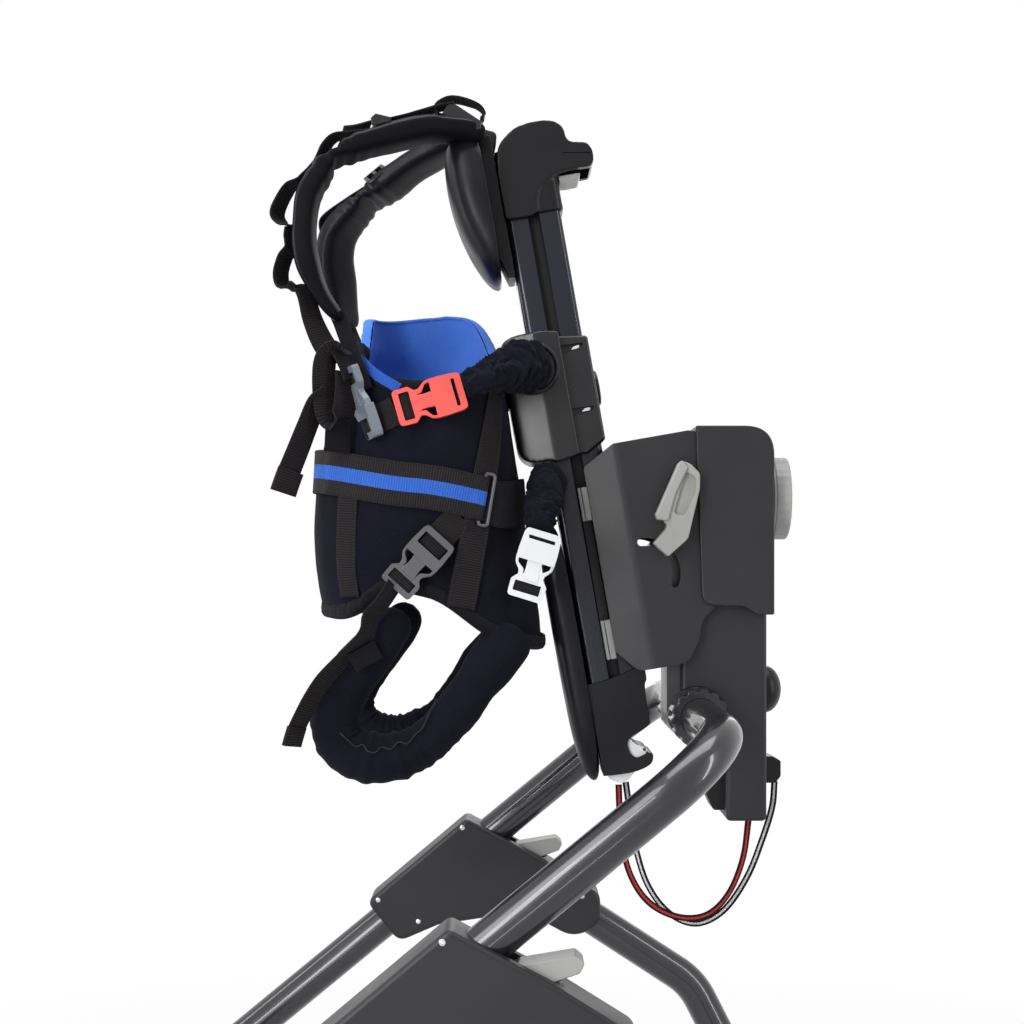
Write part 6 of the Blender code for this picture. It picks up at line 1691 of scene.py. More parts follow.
def make_vest():
    """The padded vest: a knitted outer face, a blue lining, soft random folds, and edges drawn in a little."""
    columns = 168
    rows = 56
    shape = bmesh.new()
    skins = []
    for lift in (0.0, -VEST_WALL):
        grid = []
        for row in range(rows + 1):
            ring = []
            for column in range(columns):
                angle = 2 * math.pi * column / columns
                low, top = vest_edges(angle)
                share = row / rows
                z = low + (top - low) * share
                point = vest_point(angle, z, lift)
                fold = ruffle(Vector((angle * 1.2, z * 6, 0)), 1.6, 0.0022, 3.0)
                fold += ruffle(Vector((angle * 3.0, z * 26, 0)), 1.4, 0.0010, 9.0)
                fade = min(1.0, min(share, 1 - share) * rows / 5.0)
                point += vest_outward(point) * (fold * fade - 0.0011 * (1 - fade))
                ring.append(shape.verts.new(point))
            grid.append(ring)
        skins.append(grid)
    outer, inner = skins
    for skin, paint in ((outer, 0), (inner, 1)):
        for lower, upper in zip(skin, skin[1:]):
            for column in range(columns):
                other = (column + 1) % columns
                face = shape.faces.new((lower[column], lower[other], upper[other], upper[column]))
                face.material_index = paint
    for row in (0, -1):
        for column in range(columns):
            other = (column + 1) % columns
            shape.faces.new((outer[row][column], outer[row][other], inner[row][other], inner[row][column]))
    mesh = smooth_skin(shape, "vest_body")
    paints = [face.material_index for face in mesh.polygons]
    vest = link_piece(mesh, "vest_body", "fabric")
    mesh.materials.append(FINISHES["lining"])
    mesh.polygons.foreach_set("material_index", paints)
    dressed(vest, "chest_bracket", ["vest"])


TAPE_FOLD = ((1.00, 1.0), (1.10, 0.55), (1.04, 0.12), (0.70, -0.14), (0.0, -0.22), (-0.70, -0.14), (-1.04, 0.12),
             (-1.10, 0.55), (-1.00, 1.0), (-0.72, 0.98), (-0.66, 0.3), (0.0, 0.12), (0.66, 0.3), (0.72, 0.98))


def rim_tape(name, row_top, from_angle=0.0, to_angle=2 * math.pi, slot="binding", width=0.0105):
    """Binding tape folded over an edge of the vest."""
    closed = to_angle - from_angle > 6.28
    steps = 200
    shape = bmesh.new()
    uv = shape.loops.layers.uv.new("run")
    rings = []
    for step in range(steps + (0 if closed else 1)):
        angle = from_angle + (to_angle - from_angle) * step / steps
        low, top = vest_edges(angle)
        z = top if row_top else low
        down = -1.0 if row_top else 1.0
        outside = vest_point(angle, z, 0.0012)
        inside = vest_point(angle, z, -VEST_WALL - 0.0010)
        middle = (outside + inside) / 2
        out = (outside - inside).normalized()
        half = (outside - inside).length / 2
        pucker = 0.0004 * math.sin(step * 2.4) + 0.0003 * math.sin(step * 5.1)
        ring = []
        for a, b in TAPE_FOLD:
            point = middle + out * (half * a + (pucker if abs(a) > 0.9 else 0.0))
            point.z += down * b * width
            ring.append(shape.verts.new(point))
        rings.append(ring)
    skin_over(shape, rings, uv, lambda side, row: (side / len(TAPE_FOLD), row * 0.003), closed)
    if not closed:
        shape.faces.new(rings[0])
        shape.faces.new(rings[-1])
    dressed(link_piece(smooth_skin(shape, name), name, slot), "chest_bracket")


def vest_band(name, places, width, slot="webbing", lift=0.0014, thickness=WEBBING_THICKNESS, sewn=False):
    """A strip of webbing sewn on the vest's left side, through places given in side view."""
    flat = smooth_path([(x, 0.0, z) for x, z in places], 60)
    path = [on_vest(p.x, p.z, lift) for p in flat]
    normals = [vest_normal(p.x, p.z) for p in flat]
    across = [normal.cross(heading(path, index)).normalized() for index, normal in enumerate(normals)]
    if sewn:
        rows = [[point + side * (edge * width) + normal * (thickness / 2)
                 for point, side, normal in zip(path, across, normals)] for edge in (-0.42, 0.42)]
        stitches(name + "_stitching", rows, "piping_cord", (0.0022, 0.0006, 0.0006))
    dressed(band(name, path, width, thickness, slot, across), "chest_bracket")


def make_belt():
    """The wide striped belt: it folds round a wire ring near the bracket and runs round the front."""
    path = []
    steps = 150
    thickness = 0.0018
    start = vest_angle(-0.0065, 0.822)
    for step in range(steps + 1):
        angle = start + (-2.15 - start) * (step / steps)
        z = 0.8485 - 0.0150 * (1 - math.cos(angle)) ** 1.3
        lift = 0.0030 + 0.0020 * bell(angle, 0.78, 0.10)
        if step < 5:
            lift += 0.0016
        path.append(vest_point(angle, z, lift))
    across = [heading(path, index).cross(vest_outward(point, 0.05)).normalized() for index, point in enumerate(path)]
    dressed(band("chest_belt", path, BELT_WIDTH, thickness, "belt", across), "chest_bracket")
    stitches("belt_stitching", [[point + wide * (edge * BELT_WIDTH) + vest_outward(point) * (thickness / 2)
                                 for point, wide in zip(path, across)] for edge in (-0.46, 0.46)])
    end = path[0]
    up = across[0] if across[0].z > 0 else -across[0]
    back = (path[0] - path[6]).normalized()
    ring = [end + back * a + up * b for a, b in ((-0.0035, 0.0215), (0.0050, 0.0225), (0.0050, -0.0225),
                                                  (-0.0035, -0.0235))]
    seam = ring[0].lerp(ring[3], 0.5)
    wire = bend_path([seam, *ring, seam], [0.0, 0.003, 0.003, 0.003], 6)
    dressed(round_tube("belt_ring", wire[:-1], 0.0015, "dark_grey_plastic", 16), "chest_bracket")
    vest_band("belt_anchor", [(-0.0050, 0.8210), (0.0060, 0.8180), (0.0180, 0.8185), (0.0300, 0.8240)], 0.041,
              "binding", lift=0.0030, thickness=0.0026, sewn=True)


def placed(origin, along, normal):
    """A frame with X along a strap, Z out of its face and Y across it."""
    x = Vector(along).normalized()
    z = Vector(normal)
    z = (z - x * z.dot(x)).normalized()
    y = z.cross(x)
    turn = Matrix((x, y, z)).transposed().to_4x4()
    turn.translation = Vector(origin)
    return turn


def soft_box(low, high, half, radius):
    return rounded([(low, -half, radius), (low, half, radius), (high, half, radius), (high, -half, radius)])


def flat_piece(name, outlines, thickness, slot, place, edge, steps):
    """An outline that lies in a place's own XY, with rounded edges."""
    piece = link_piece(outline_mesh(name, outlines, thickness, WORLD), name, slot, place)
    return settle(round_edges(piece, edge, steps))


def slide(name, place, width, length, thickness, body):
    """A webbing slide: a rounded frame with a bar across its middle."""
    a = length / 2
    b = width / 2
    rim = 0.0032
    step = a - rim / 2
    holes = [soft_box(low, low + step - rim, b - rim, 0.0008) for low in (-a + rim, -a + rim + step)]
    piece = flat_piece(name, [soft_box(-a, a, b, 0.002), *holes], thickness, "black_plastic", place, 0.0008, 2)
    even_normals(piece)
    dressed(piece, body)


def release_buckle(name, slot, place, nodes=(), length=0.060, width=0.034, wide_slot=False):
    """A side release buckle: the plug's frame with one opening, a narrow neck, sprung arms and a smooth socket."""
    b = width / 2
    tall = 0.0090

    def at(share, across, radius=0.0012):
        return (length * (share - 0.5), b * across, radius)

    def both(points):
        return rounded(points + [(x, -y, radius) for x, y, radius in reversed(points)])

    slot_end = (0.72, 0.91, 0.74) if wide_slot else (0.855, 0.905, 0.70)
    socket = both([at(0.55, 0.45), at(0.55, 0.99, 0.002), at(0.70, 1.0, 0.006), at(0.93, 0.95, 0.006),
                   at(1.0, 0.86, 0.0035)])
    opening = both([at(slot_end[0], slot_end[2]), at(slot_end[1], slot_end[2])])
    core = both([at(0.27, 0.46, 0.002), at(0.36, 0.38, 0.004), at(0.44, 0.36, 0.003), at(0.60, 0.40, 0.001)])
    holder = both([at(0.0, 0.90, 0.0035), at(0.24, 0.93, 0.003), at(0.335, 0.62, 0.004), at(0.345, 0.40, 0.001)])
    hole = both([at(0.085, 0.70), at(0.235, 0.70)])
    arm = [at(0.30, 0.40, 0.001), at(0.30, 0.66, 0.001), at(0.38, 0.68, 0.004), at(0.48, 0.96, 0.006),
           at(0.60, 1.02, 0.002), at(0.60, 0.86, 0.001), at(0.49, 0.82, 0.004), at(0.41, 0.44, 0.003)]
    arms = [rounded([(x, side * y, radius) for x, y, radius in arm]) for side in (-1, 1)]
    body, *others = [flat_piece(name + ending, outlines, tall * height, slot, place, edge, steps)
                     for ending, outlines, height, edge, steps in (
                         ("", [socket, opening], 1.0, 0.0021, 5), ("_tongue", [core], 0.82, 0.0018, 4),
                         ("_frame", [holder, hole], 0.68, 0.0015, 3), ("_arm", [arms[0]], 0.62, 0.0011, 3),
                         ("_arm", [arms[1]], 0.62, 0.0011, 3))]
    join_meshes(body, *others)
    even_normals(body)
    dressed(body, "chest_bracket", nodes)
    for end, first, last in (("in", 0.04, 0.30), ("out", slot_end[0] - 0.03, 1.0)):
        knots = [place @ Vector((length * (share - 0.5), 0.0, tall * height))
                 for share, height in ((first, -0.30), (first + 0.07, 0.06), (last - 0.09, 0.06), (last, -0.30))]
        webbing(name + "_strap_" + end, knots, place.to_3x3() @ Vector((0, 1, 0)), width * 0.66, count=24)


def spread_over(across, count):
    """Directions for every point of a path, from a few that are spaced evenly along it."""
    if not isinstance(across, list):
        return Vector(across)
    spread = []
    for index in range(count):
        t = (len(across) - 1) * index / (count - 1)
        low = min(int(t), len(across) - 2)
        spread.append(Vector(across[low]).lerp(Vector(across[low + 1]), t - low))
    return spread


def webbing(name, knots, across, width=WEBBING_WIDTH, slot="webbing", thickness=WEBBING_THICKNESS, count=48,
            body="chest_bracket"):
    """A free run of webbing through knots; across is one direction, or several spread along it."""
    path = smooth_path(knots, count)
    dressed(band(name, path, width, thickness, slot, spread_over(across, count)), body)


def gathered_sleeve(name, knots, radii, node, ridges, depth, seed):
    """Cloth ruched over elastic: crumpled folds that cross and wander, deeper where the sleeve is full."""
    count = 190
    path = smooth_path(knots, count)
    sides = 96
    shape = bmesh.new()
    rings = []
    for index, (point, (along, wide, thick)) in enumerate(zip(path, frames_along(path))):
        share = index / (count - 1)
        t = share * (len(radii) - 1)
        low = min(int(t), len(radii) - 2)
        blend = eased(t - low)
        radius = radii[low] * (1 - blend) + radii[low + 1] * blend
        fade = min(1.0, index / 5.0, (count - 1 - index) / 8.0)
        ring = []
        for step in range(sides):
            turn = 2 * math.pi * step / sides
            where = Vector((math.cos(turn) * 0.8, math.sin(turn) * 0.8, share * ridges * 0.30))
            push = noise.noise_vector(where * 0.9 + Vector((seed, 0, seed)))
            bent = where + push * 0.7
            folds = 1.0 - 2.6 * abs(noise.noise(Vector((bent.x * 0.9, bent.y * 0.9, bent.z * 2.6))))
            small = 1.0 - 2.6 * abs(noise.noise(Vector((bent.x * 2.2, bent.y * 2.2, bent.z * 5.2 + seed))))
            lumps = noise.noise(where * 0.9 + Vector((0, seed * 2, 0)))
            size = radius * (1 + fade * (depth * 1.7 * (folds - 0.50) + depth * 0.7 * (small - 0.5) + 0.14 * lumps))
            ring.append(shape.verts.new(point + wide * (size * math.cos(turn))
                                        + thick * (size * math.sin(turn)) + along * (push.z * 0.0012 * fade)))
        rings.append(ring)
    skin_over(shape, rings)
    fan_over(shape, rings[0], path[0])
    fan_over(shape, rings[-1], path[-1])
    sleeve = link_piece(smooth_skin(shape, name), name, "fabric")
    dressed(sleeve, "chest_bracket", [node])


def stitch_rows():
    """Geometry nodes: each line is measured out evenly, and a short thread lies on it at every step."""
    tree = bpy.data.node_groups.new("stitch_rows", "GeometryNodeTree")
    tree.interface.new_socket("Geometry", in_out="INPUT", socket_type="NodeSocketGeometry")
    for name, kind in (("Spacing", "NodeSocketFloat"), ("Thread Size", "NodeSocketVector"),
                       ("Unevenness", "NodeSocketFloat"), ("Seed", "NodeSocketInt"),
                       ("Finish", "NodeSocketMaterial")):
        tree.interface.new_socket(name, in_out="INPUT", socket_type=kind)
    tree.interface.new_socket("Geometry", in_out="OUTPUT", socket_type="NodeSocketGeometry")

    def node(kind, inputs=(), **settings):
        return add_node(tree, kind, inputs, **settings).outputs

    given = node("NodeGroupInput")
    line = node("GeometryNodeMeshToCurve", {"Mesh": given["Geometry"]})
    steps = node("GeometryNodeResampleCurve", {"Curve": line["Curve"], "Length": given["Spacing"]}, mode="LENGTH")
    tangent = node("GeometryNodeInputTangent")
    lie = node("FunctionNodeAlignRotationToVector", {"Vector": tangent["Tangent"]}, axis="X")
    thread = node("GeometryNodeMeshIcoSphere", {"Radius": 0.5, "Subdivisions": 2})
    shaped = node("GeometryNodeTransform", {"Geometry": thread["Mesh"], "Scale": given["Thread Size"]})
    least = node("ShaderNodeMath", {0: 1.0, 1: given["Unevenness"]}, operation="SUBTRACT")
    drift = node("FunctionNodeRandomValue", {2: least["Value"], "Seed": given["Seed"]}, data_type="FLOAT")
    laid = node("GeometryNodeInstanceOnPoints", {"Points": steps["Curve"], "Instance": shaped["Geometry"],
                                                 "Rotation": lie["Rotation"], "Scale": drift[1]})
    real = node("GeometryNodeRealizeInstances", {"Geometry": laid["Instances"]})
    soft = node("GeometryNodeSetShadeSmooth", {"Geometry": real["Geometry"]})
    paint = node("GeometryNodeSetMaterial", {"Geometry": soft["Geometry"], "Material": given["Finish"]})
    node("NodeGroupOutput", {"Geometry": paint["Geometry"]})
    return tree


STITCH_ROWS = stitch_rows()


def stitches(name, lines, slot="binding", size=(0.0025, 0.0007, 0.0007)):
    """Rows of stitching along lines of points, as one plain mesh."""
    shape = bmesh.new()
    for line in lines:
        points = [shape.verts.new(point) for point in line]
        for before, after in zip(points, points[1:]):
            shape.edges.new((before, after))
    guide = add_object(name + "_lines", mesh_of(shape, name))
    rows = guide.modifiers.new("rows", "NODES")
    rows.node_group = STITCH_ROWS
    keys = {item.name: item.identifier for item in STITCH_ROWS.interface.items_tree if item.in_out == "INPUT"}
    for key, value in (("Spacing", 0.0032), ("Thread Size", size), ("Unevenness", 0.25), ("Seed", 7),
                       ("Finish", FINISHES[slot])):
        rows[keys[key]] = value
    made = evaluated_mesh(guide)
    bpy.data.objects.remove(guide)
    dressed(link_piece(made, name, slot), "chest_bracket")


def padded_run(name, knots, size, slot, across, wrinkle, count, sides, squareness):
    """A padded strap or roll along a curve: size(share) gives its width and thickness."""
    path = smooth_path(knots, count)
    across = spread_over(across, count)
    shape = bmesh.new()
    uv = shape.loops.layers.uv.new("run")
    rings = []
    lengths = running_lengths(path)
    for index, (point, (_, wide, thick)) in enumerate(zip(path, frames_along(path, across))):
        share = index / (count - 1)
        width, thickness = size(share)
        ring = []
        for step in range(sides):
            turn = 2 * math.pi * step / sides
            c = powered(math.cos(turn), squareness)
            d = powered(math.sin(turn), squareness)
            push = wrinkle(share, turn, point)
            ring.append(shape.verts.new(point + wide * (c * (width / 2 + push)) + thick * (d * (thickness / 2 + push))))
        rings.append(ring)
    skin_over(shape, rings, uv, lambda side, row: (side / sides, lengths[row]))
    fan_over(shape, rings[0], path[0])
    fan_over(shape, rings[-1], path[-1])
    return link_piece(smooth_skin(shape, name), name, slot)


NEAR_PAD = [
    (-0.0089, -0.0360, 1.1465), (-0.0273, -0.0450, 1.1487), (-0.0481, -0.0530, 1.1476), (-0.0627, -0.0600, 1.1450),
    (-0.0977, -0.0700, 1.1338), (-0.1215, -0.0760, 1.1245), (-0.1384, -0.0800, 1.1128), (-0.1459, -0.0820, 1.1024),
    (-0.1560, -0.0840, 1.0839), (-0.1593, -0.0850, 1.0622), (-0.1592, -0.0860, 1.0388), (-0.1542, -0.0850, 1.0166),
    (-0.1423, -0.0830, 0.9937), (-0.1289, -0.0800, 0.9770)
]
FAR_PAD = [
    (-0.0147, 0.0380, 1.1667), (-0.0336, 0.0470, 1.1605), (-0.0489, 0.0540, 1.1538), (-0.0728, 0.0610, 1.1422),
    (-0.0920, 0.0660, 1.1292), (-0.1182, 0.0730, 1.1107), (-0.1358, 0.0780, 1.0955), (-0.1466, 0.0810, 1.0808),
    (-0.1506, 0.0830, 1.0649), (-0.1508, 0.0845, 1.0499), (-0.1481, 0.0860, 1.0338), (-0.1432, 0.0850, 1.0145),
    (-0.1361, 0.0810, 0.9919)
]


SHOULDER_FOLD = 0.475  # as a share of a shoulder pad's length


def from_end(share):
    """How far a place along a padded run is past its ends, which are short."""
    return min(1.0, share / 0.05, (1 - share) / 0.06)


def round_end(share):
    return math.sqrt(max(0.0, 1 - (1 - share) ** 2))


def strap_size(share):
    """Width and thickness along a shoulder pad: round ends, and a pinch at the fold over the shoulder."""
    end = round_end(max(0.0, from_end(share)))
    pinch = 1 - 0.50 * bell(share, SHOULDER_FOLD, 0.032)
    tip = eased(clamped((share - 0.76) / 0.24))
    return 0.010 + (0.034 - 0.012 * tip) * end, (0.0035 + (0.0160 - 0.0090 * tip) * end) * pinch


def strap_wrinkle(share, turn, point):
    creases = 0.0009 * math.sin(share * 150 + 1.6 * math.sin(turn)) * bell(share, SHOULDER_FOLD, 0.09)
    return from_end(share) * (creases + ruffle(point, 20.0, 0.0018, 5.0) + ruffle(point, 55.0, 0.0007, 8.0))


def make_shoulder_strap(side):
    label = SIDE_NAMES[side]
    knots = NEAR_PAD if side == LEFT else FAR_PAD
    sides = 56
    count = 150
    if side == LEFT:
        across = [(0, 1, 0), (0, 1, 0), (0, 1, 0), (0, 1, 0), (0.04, 1, 0), (0.06, 1, 0), (0.15, 1, 0.1)]
    else:
        across = [(0, 1, -0.10), (0, 1, -0.25), (0.10, 1, -0.35), (0.30, 1, -0.20), (0.75, 1, 0.0), (0.85, 1, 0.0),
                  (0.70, 1, 0.0)]
    strap = padded_run("shoulder_pad_" + label, knots, strap_size, "vinyl", across, strap_wrinkle, count, sides, 0.60)
    strap.data.materials.append(FINISHES["coated_nylon"])
    for number, face in enumerate(strap.data.polygons):
        if number < (count - 1) * sides and (number % sides < 31) == (side == LEFT):
            face.material_index = 1
    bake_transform(strap)
    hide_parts("shoulder_strap_" + label)


def blended_band(name, knots, across, count):
    """Webbing that starts on the mast and ends on the vest."""
    path = smooth_path(knots, count)
    strip = band(name, path, STRAP_WIDTH, WEBBING_THICKNESS, "webbing", spread_over(across, count))
    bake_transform(strip)


def make_near_webbing():
    """The left shoulder's webbing: two layers over the pad, then two soft loops down the front."""
    blended_band("shoulder_webbing_left", [
        (-0.0149, -0.0430, 1.1554), (-0.0376, -0.0520, 1.1566), (-0.0617, -0.0620, 1.1532), (-0.0908, -0.0700, 1.1435),
        (-0.1180, -0.0760, 1.1383), (-0.1330, -0.0790, 1.1350), (-0.1414, -0.0810, 1.1264), (-0.1484, -0.0830, 1.1103),
        (-0.1610, -0.0840, 1.0971), (-0.1723, -0.0850, 1.0899), (-0.1807, -0.0860, 1.0754), (-0.1827, -0.0870, 1.0652),
        (-0.1776, -0.0880, 1.0586), (-0.1705, -0.0880, 1.0565), (-0.1710, -0.0880, 1.0479), (-0.1705, -0.0880, 1.0380),
        (-0.1762, -0.0880, 1.0294), (-0.1797, -0.0880, 1.0167), (-0.1783, -0.0880, 1.0067), (-0.1734, -0.0880, 1.0037),
        (-0.1655, -0.0880, 1.0059), (-0.1580, -0.0890, 0.9963), (-0.1519, -0.0900, 0.9756), (-0.1422, -0.0920, 0.9547),
        (-0.1302, -0.0930, 0.9392)
    ], [(0, 1, 0), (0, 1, 0), (0.05, 1, 0), (0.32, 1, 0), (0.45, 1, 0.1), (0.45, 1, 0), (0.60, 0.8, 0.1),
        (0.85, 0.5, 0.35)], 260)
    webbing("shoulder_webbing_top", [
        (-0.0341, -0.0520, 1.1694), (-0.0445, -0.0540, 1.1671), (-0.0553, -0.0580, 1.1628), (-0.0724, -0.0640, 1.1562),
        (-0.0880, -0.0680, 1.1513), (-0.1022, -0.0710, 1.1461)
    ], (0, 1, 0), STRAP_WIDTH, body="mast", count=40)
    webbing("shoulder_webbing_end", [
        (-0.0342, -0.0500, 1.1580), (-0.0464, -0.0520, 1.1610), (-0.0481, -0.0530, 1.1678), (-0.0381, -0.0520, 1.1743),
        (-0.0251, -0.0470, 1.1748), (-0.0121, -0.0410, 1.1713), (-0.0063, -0.0370, 1.1650), (-0.0092, -0.0370, 1.1596)
    ], (0, 1, 0), STRAP_WIDTH, body="mast", count=40)
    webbing("shoulder_strap_tail", [
        (-0.1325, -0.0815, 0.9830), (-0.1289, -0.0830, 0.9752), (-0.1246, -0.0865, 0.9640), (-0.1200, -0.0905, 0.9520),
        (-0.1150, -0.0945, 0.9385), (-0.1105, -0.0975, 0.9265), (-0.1070, -0.0990, 0.9160)
    ], [(0.9, -0.1, 0.30), (0.85, 0.25, 0.32), (0.9, 0.2, 0.36)], 0.0135, "binding", 0.0034, 60)
    webbing("shoulder_tab", [
        (-0.1037, -0.0710, 1.1487), (-0.1165, -0.0740, 1.1445), (-0.1275, -0.0760, 1.1427),
    ], (0, 1, 0), 0.020, "piping_cord", body="mast", count=12)
    for name, outline, near_y, far_y in (
            ("cam_buckle", [(-0.0436, 1.1581), (-0.0371, 1.1692), (-0.0312, 1.1686), (-0.0081, 1.1535),
                            (-0.0085, 1.1463), (-0.0146, 1.1454), (-0.0335, 1.1533)], -0.0625, -0.0340),
            ("shoulder_slide_left", [(-0.1030, 1.1503), (-0.0987, 1.1542), (-0.0858, 1.1511), (-0.0849, 1.1473),
                                     (-0.0978, 1.1438), (-0.1021, 1.1447)], -0.0860, -0.0560)):
        clamp = side_piece(name, rounded([(x, z, 0.0012) for x, z in outline], 4), near_y, far_y, "satin_black",
                           edge=0.0010)
        finished(clamp, "mast")


def make_far_webbing():
    """The right shoulder's webbing and slide."""
    blended_band("shoulder_webbing_right", [
        (-0.0280, 0.0450, 1.1694), (-0.0488, 0.0520, 1.1627), (-0.0726, 0.0580, 1.1529), (-0.0928, 0.0630, 1.1417),
        (-0.1100, 0.0660, 1.1254), (-0.1352, 0.0720, 1.1096), (-0.1548, 0.0770, 1.0973), (-0.1607, 0.0790, 1.0891),
        (-0.1588, 0.0790, 1.0757), (-0.1551, 0.0800, 1.0548), (-0.1496, 0.0820, 1.0284), (-0.1420, 0.0830, 1.0017),
        (-0.1335, 0.0790, 0.9822), (-0.1235, 0.0705, 0.9680), (-0.1125, 0.0610, 0.9560)
    ], [(0, 1, -0.1), (0, 1, -0.2), (0.1, 1, -0.3), (0.4, 1, -0.1), (0.9, 1, 0), (0.35, 1, 0)], 160)
    webbing("shoulder_anchor_right", [
        (-0.0270, 0.0430, 1.1640), (-0.0140, 0.0350, 1.1690), (-0.0050, 0.0270, 1.1670), (-0.0040, 0.0220, 1.1580),
        (-0.0052, 0.0190, 1.1480)
    ], (0.7, 0.7, 0.0), 0.0215, body="mast", count=40)
    slide("shoulder_slide_right", placed((-0.1087, 0.0610, 1.1337), (0.75, 0.0, 0.62), (-0.55, -0.45, 0.75)),
          0.031, 0.022, 0.0048, "mast")


LOOP_KNOTS = [
    (0.0200, 0.064, 0.7090), (0.0080, 0.076, 0.6905), (-0.012, 0.085, 0.664), (-0.036, LOOP_Y, 0.632),
    (-0.064, LOOP_Y, 0.608), (-0.097, LOOP_Y, 0.600), (-0.126, LOOP_Y, 0.611), (-0.133, LOOP_Y, 0.640),
    (-0.119, LOOP_Y, 0.670), (-0.093, LOOP_Y, 0.701), (-0.076, LOOP_Y, 0.727)
]


def loop_size(share):
    """Thickness along the roll, with round ends."""
    end = round_end(clamped(share / 0.045)) * round_end(clamped((1 - share) / 0.060))
    thick = (0.0445 - 0.006 * max(0.0, share - 0.72) / 0.28) * (0.04 + 0.96 * end)
    return thick, thick * (0.96 + 0.03 * math.cos(share * 9))


def loop_wrinkle(share, _, point):
    """Gathers round the inside and the foot of the bend, where the cloth bunches, and slow lumps elsewhere."""
    bend = bell(share, 0.50, 0.20)
    drift = noise.noise(point * 26.0) * 2.2
    gathers = abs(math.sin(share * 62 + drift)) ** 0.6 * bend * 0.0024
    fine = math.sin(share * 210 + 3.0 * drift) * bend * 0.0006
    return from_end(share) * (fine - gathers * (0.6 + 0.4 * noise.noise(point * 40.0))
                              + ruffle(point, 24.0, 0.0030, 2.0) + ruffle(point, 60.0, 0.0012, 6.0))


ROLL_RADIUS = 0.0236  # of the leg roll where its seam runs
LOOP_SEAM = [
    (-0.1266, 0.6242), (-0.1195, 0.6172), (-0.1131, 0.6123), (-0.1077, 0.6140), (-0.1034, 0.6086), (-0.0968, 0.6075),
    (-0.0915, 0.6118), (-0.0839, 0.6102), (-0.0775, 0.6161), (-0.0698, 0.6150), (-0.0634, 0.6223), (-0.0572, 0.6282),
    (-0.0513, 0.6413), (-0.0458, 0.6515)
]


def make_leg_loop(side):
    label = SIDE_NAMES[side]
    knots = [(x, side * y, z) for x, y, z in LOOP_KNOTS]
    roll = padded_run("leg_roll_" + label, knots, loop_size, "fabric", (0, 1, 0), loop_wrinkle, 190, 64, 0.92)
    dressed(roll, "chest_bracket", ["leg_loop_" + label])
    path = smooth_path(knots, 160)
    line = []
    for x, z in LOOP_SEAM:
        near = min(path, key=lambda p: (p.x - x) ** 2 + (p.z - z) ** 2)
        away = math.hypot(near.x - x, near.z - z)
        depth = math.sqrt(max(0.0, ROLL_RADIUS ** 2 - away ** 2))
        line.append((x, side * (LOOP_Y + depth + 0.0002), z))
    cord = round_tube("leg_piping_" + label, smooth_path(line, 90), 0.0006, "piping_cord", 12)
    dressed(cord, "chest_bracket")


def vinyl_pad(name, outline, half_width, node):
    """A moulded pad: stations across it, each drawn in towards the flanks, then smoothed."""
    shape = bmesh.new()
    flank = ((-1.0, 0.40), (-0.96, 0.66), (-0.84, 0.86), (-0.60, 0.97), (-0.30, 1.0))
    stations = [*flank, (0.0, 1.0), *[(-station, shrink) for station, shrink in reversed(flank)]]
    middle_u = sum(p[1] for p in outline) / len(outline)
    back = max(p[0] for p in outline)
    rings = [[shape.verts.new((back - (back - v) * shrink, station * half_width, middle_u + (u - middle_u) * shrink))
              for v, u in outline] for station, shrink in stations]
    skin_over(shape, rings)
    shape.faces.new(rings[0])
    shape.faces.new(rings[-1])
    pad = link_piece(smooth_skin(shape, name), name, "vinyl", MAST)
    soften = pad.modifiers.new("soften", "SUBSURF")
    soften.levels = 3
    soften.render_levels = 3
    settle(pad, math.radians(80), tidy=False)
    dressed(pad, "mast", [node])


def make_pads():
    vinyl_pad("back_cushion", [
        (-0.0778, 0.276), (-0.0778, 0.300), (-0.0778, 0.345), (-0.0778, 0.392), (-0.0782, 0.410), (-0.090, 0.4145),
        (-0.104, 0.412), (-0.1125, 0.396), (-0.1140, 0.360), (-0.108, 0.325), (-0.098, 0.297), (-0.088, 0.279)
    ], BACK_PAD_HALF, "back_pad")
    vinyl_pad("pelvic_cushion", [
        (-0.0665, -0.176), (-0.0665, -0.120), (-0.0665, -0.060), (-0.0665, 0.000), (-0.0665, 0.050), (-0.073, 0.059),
        (-0.082, 0.056), (-0.0885, 0.035), (-0.0888, -0.030), (-0.0885, -0.100), (-0.087, -0.152), (-0.078, -0.181)
    ], PAD_HALF, "pelvic_pad")


def buckle_place(x, y, z, tilt):
    return (Matrix.Translation((x, y, z)) @ Matrix.Rotation(-math.radians(tilt), 4, "Y")
            @ Matrix.Rotation(math.pi / 2, 4, "X"))


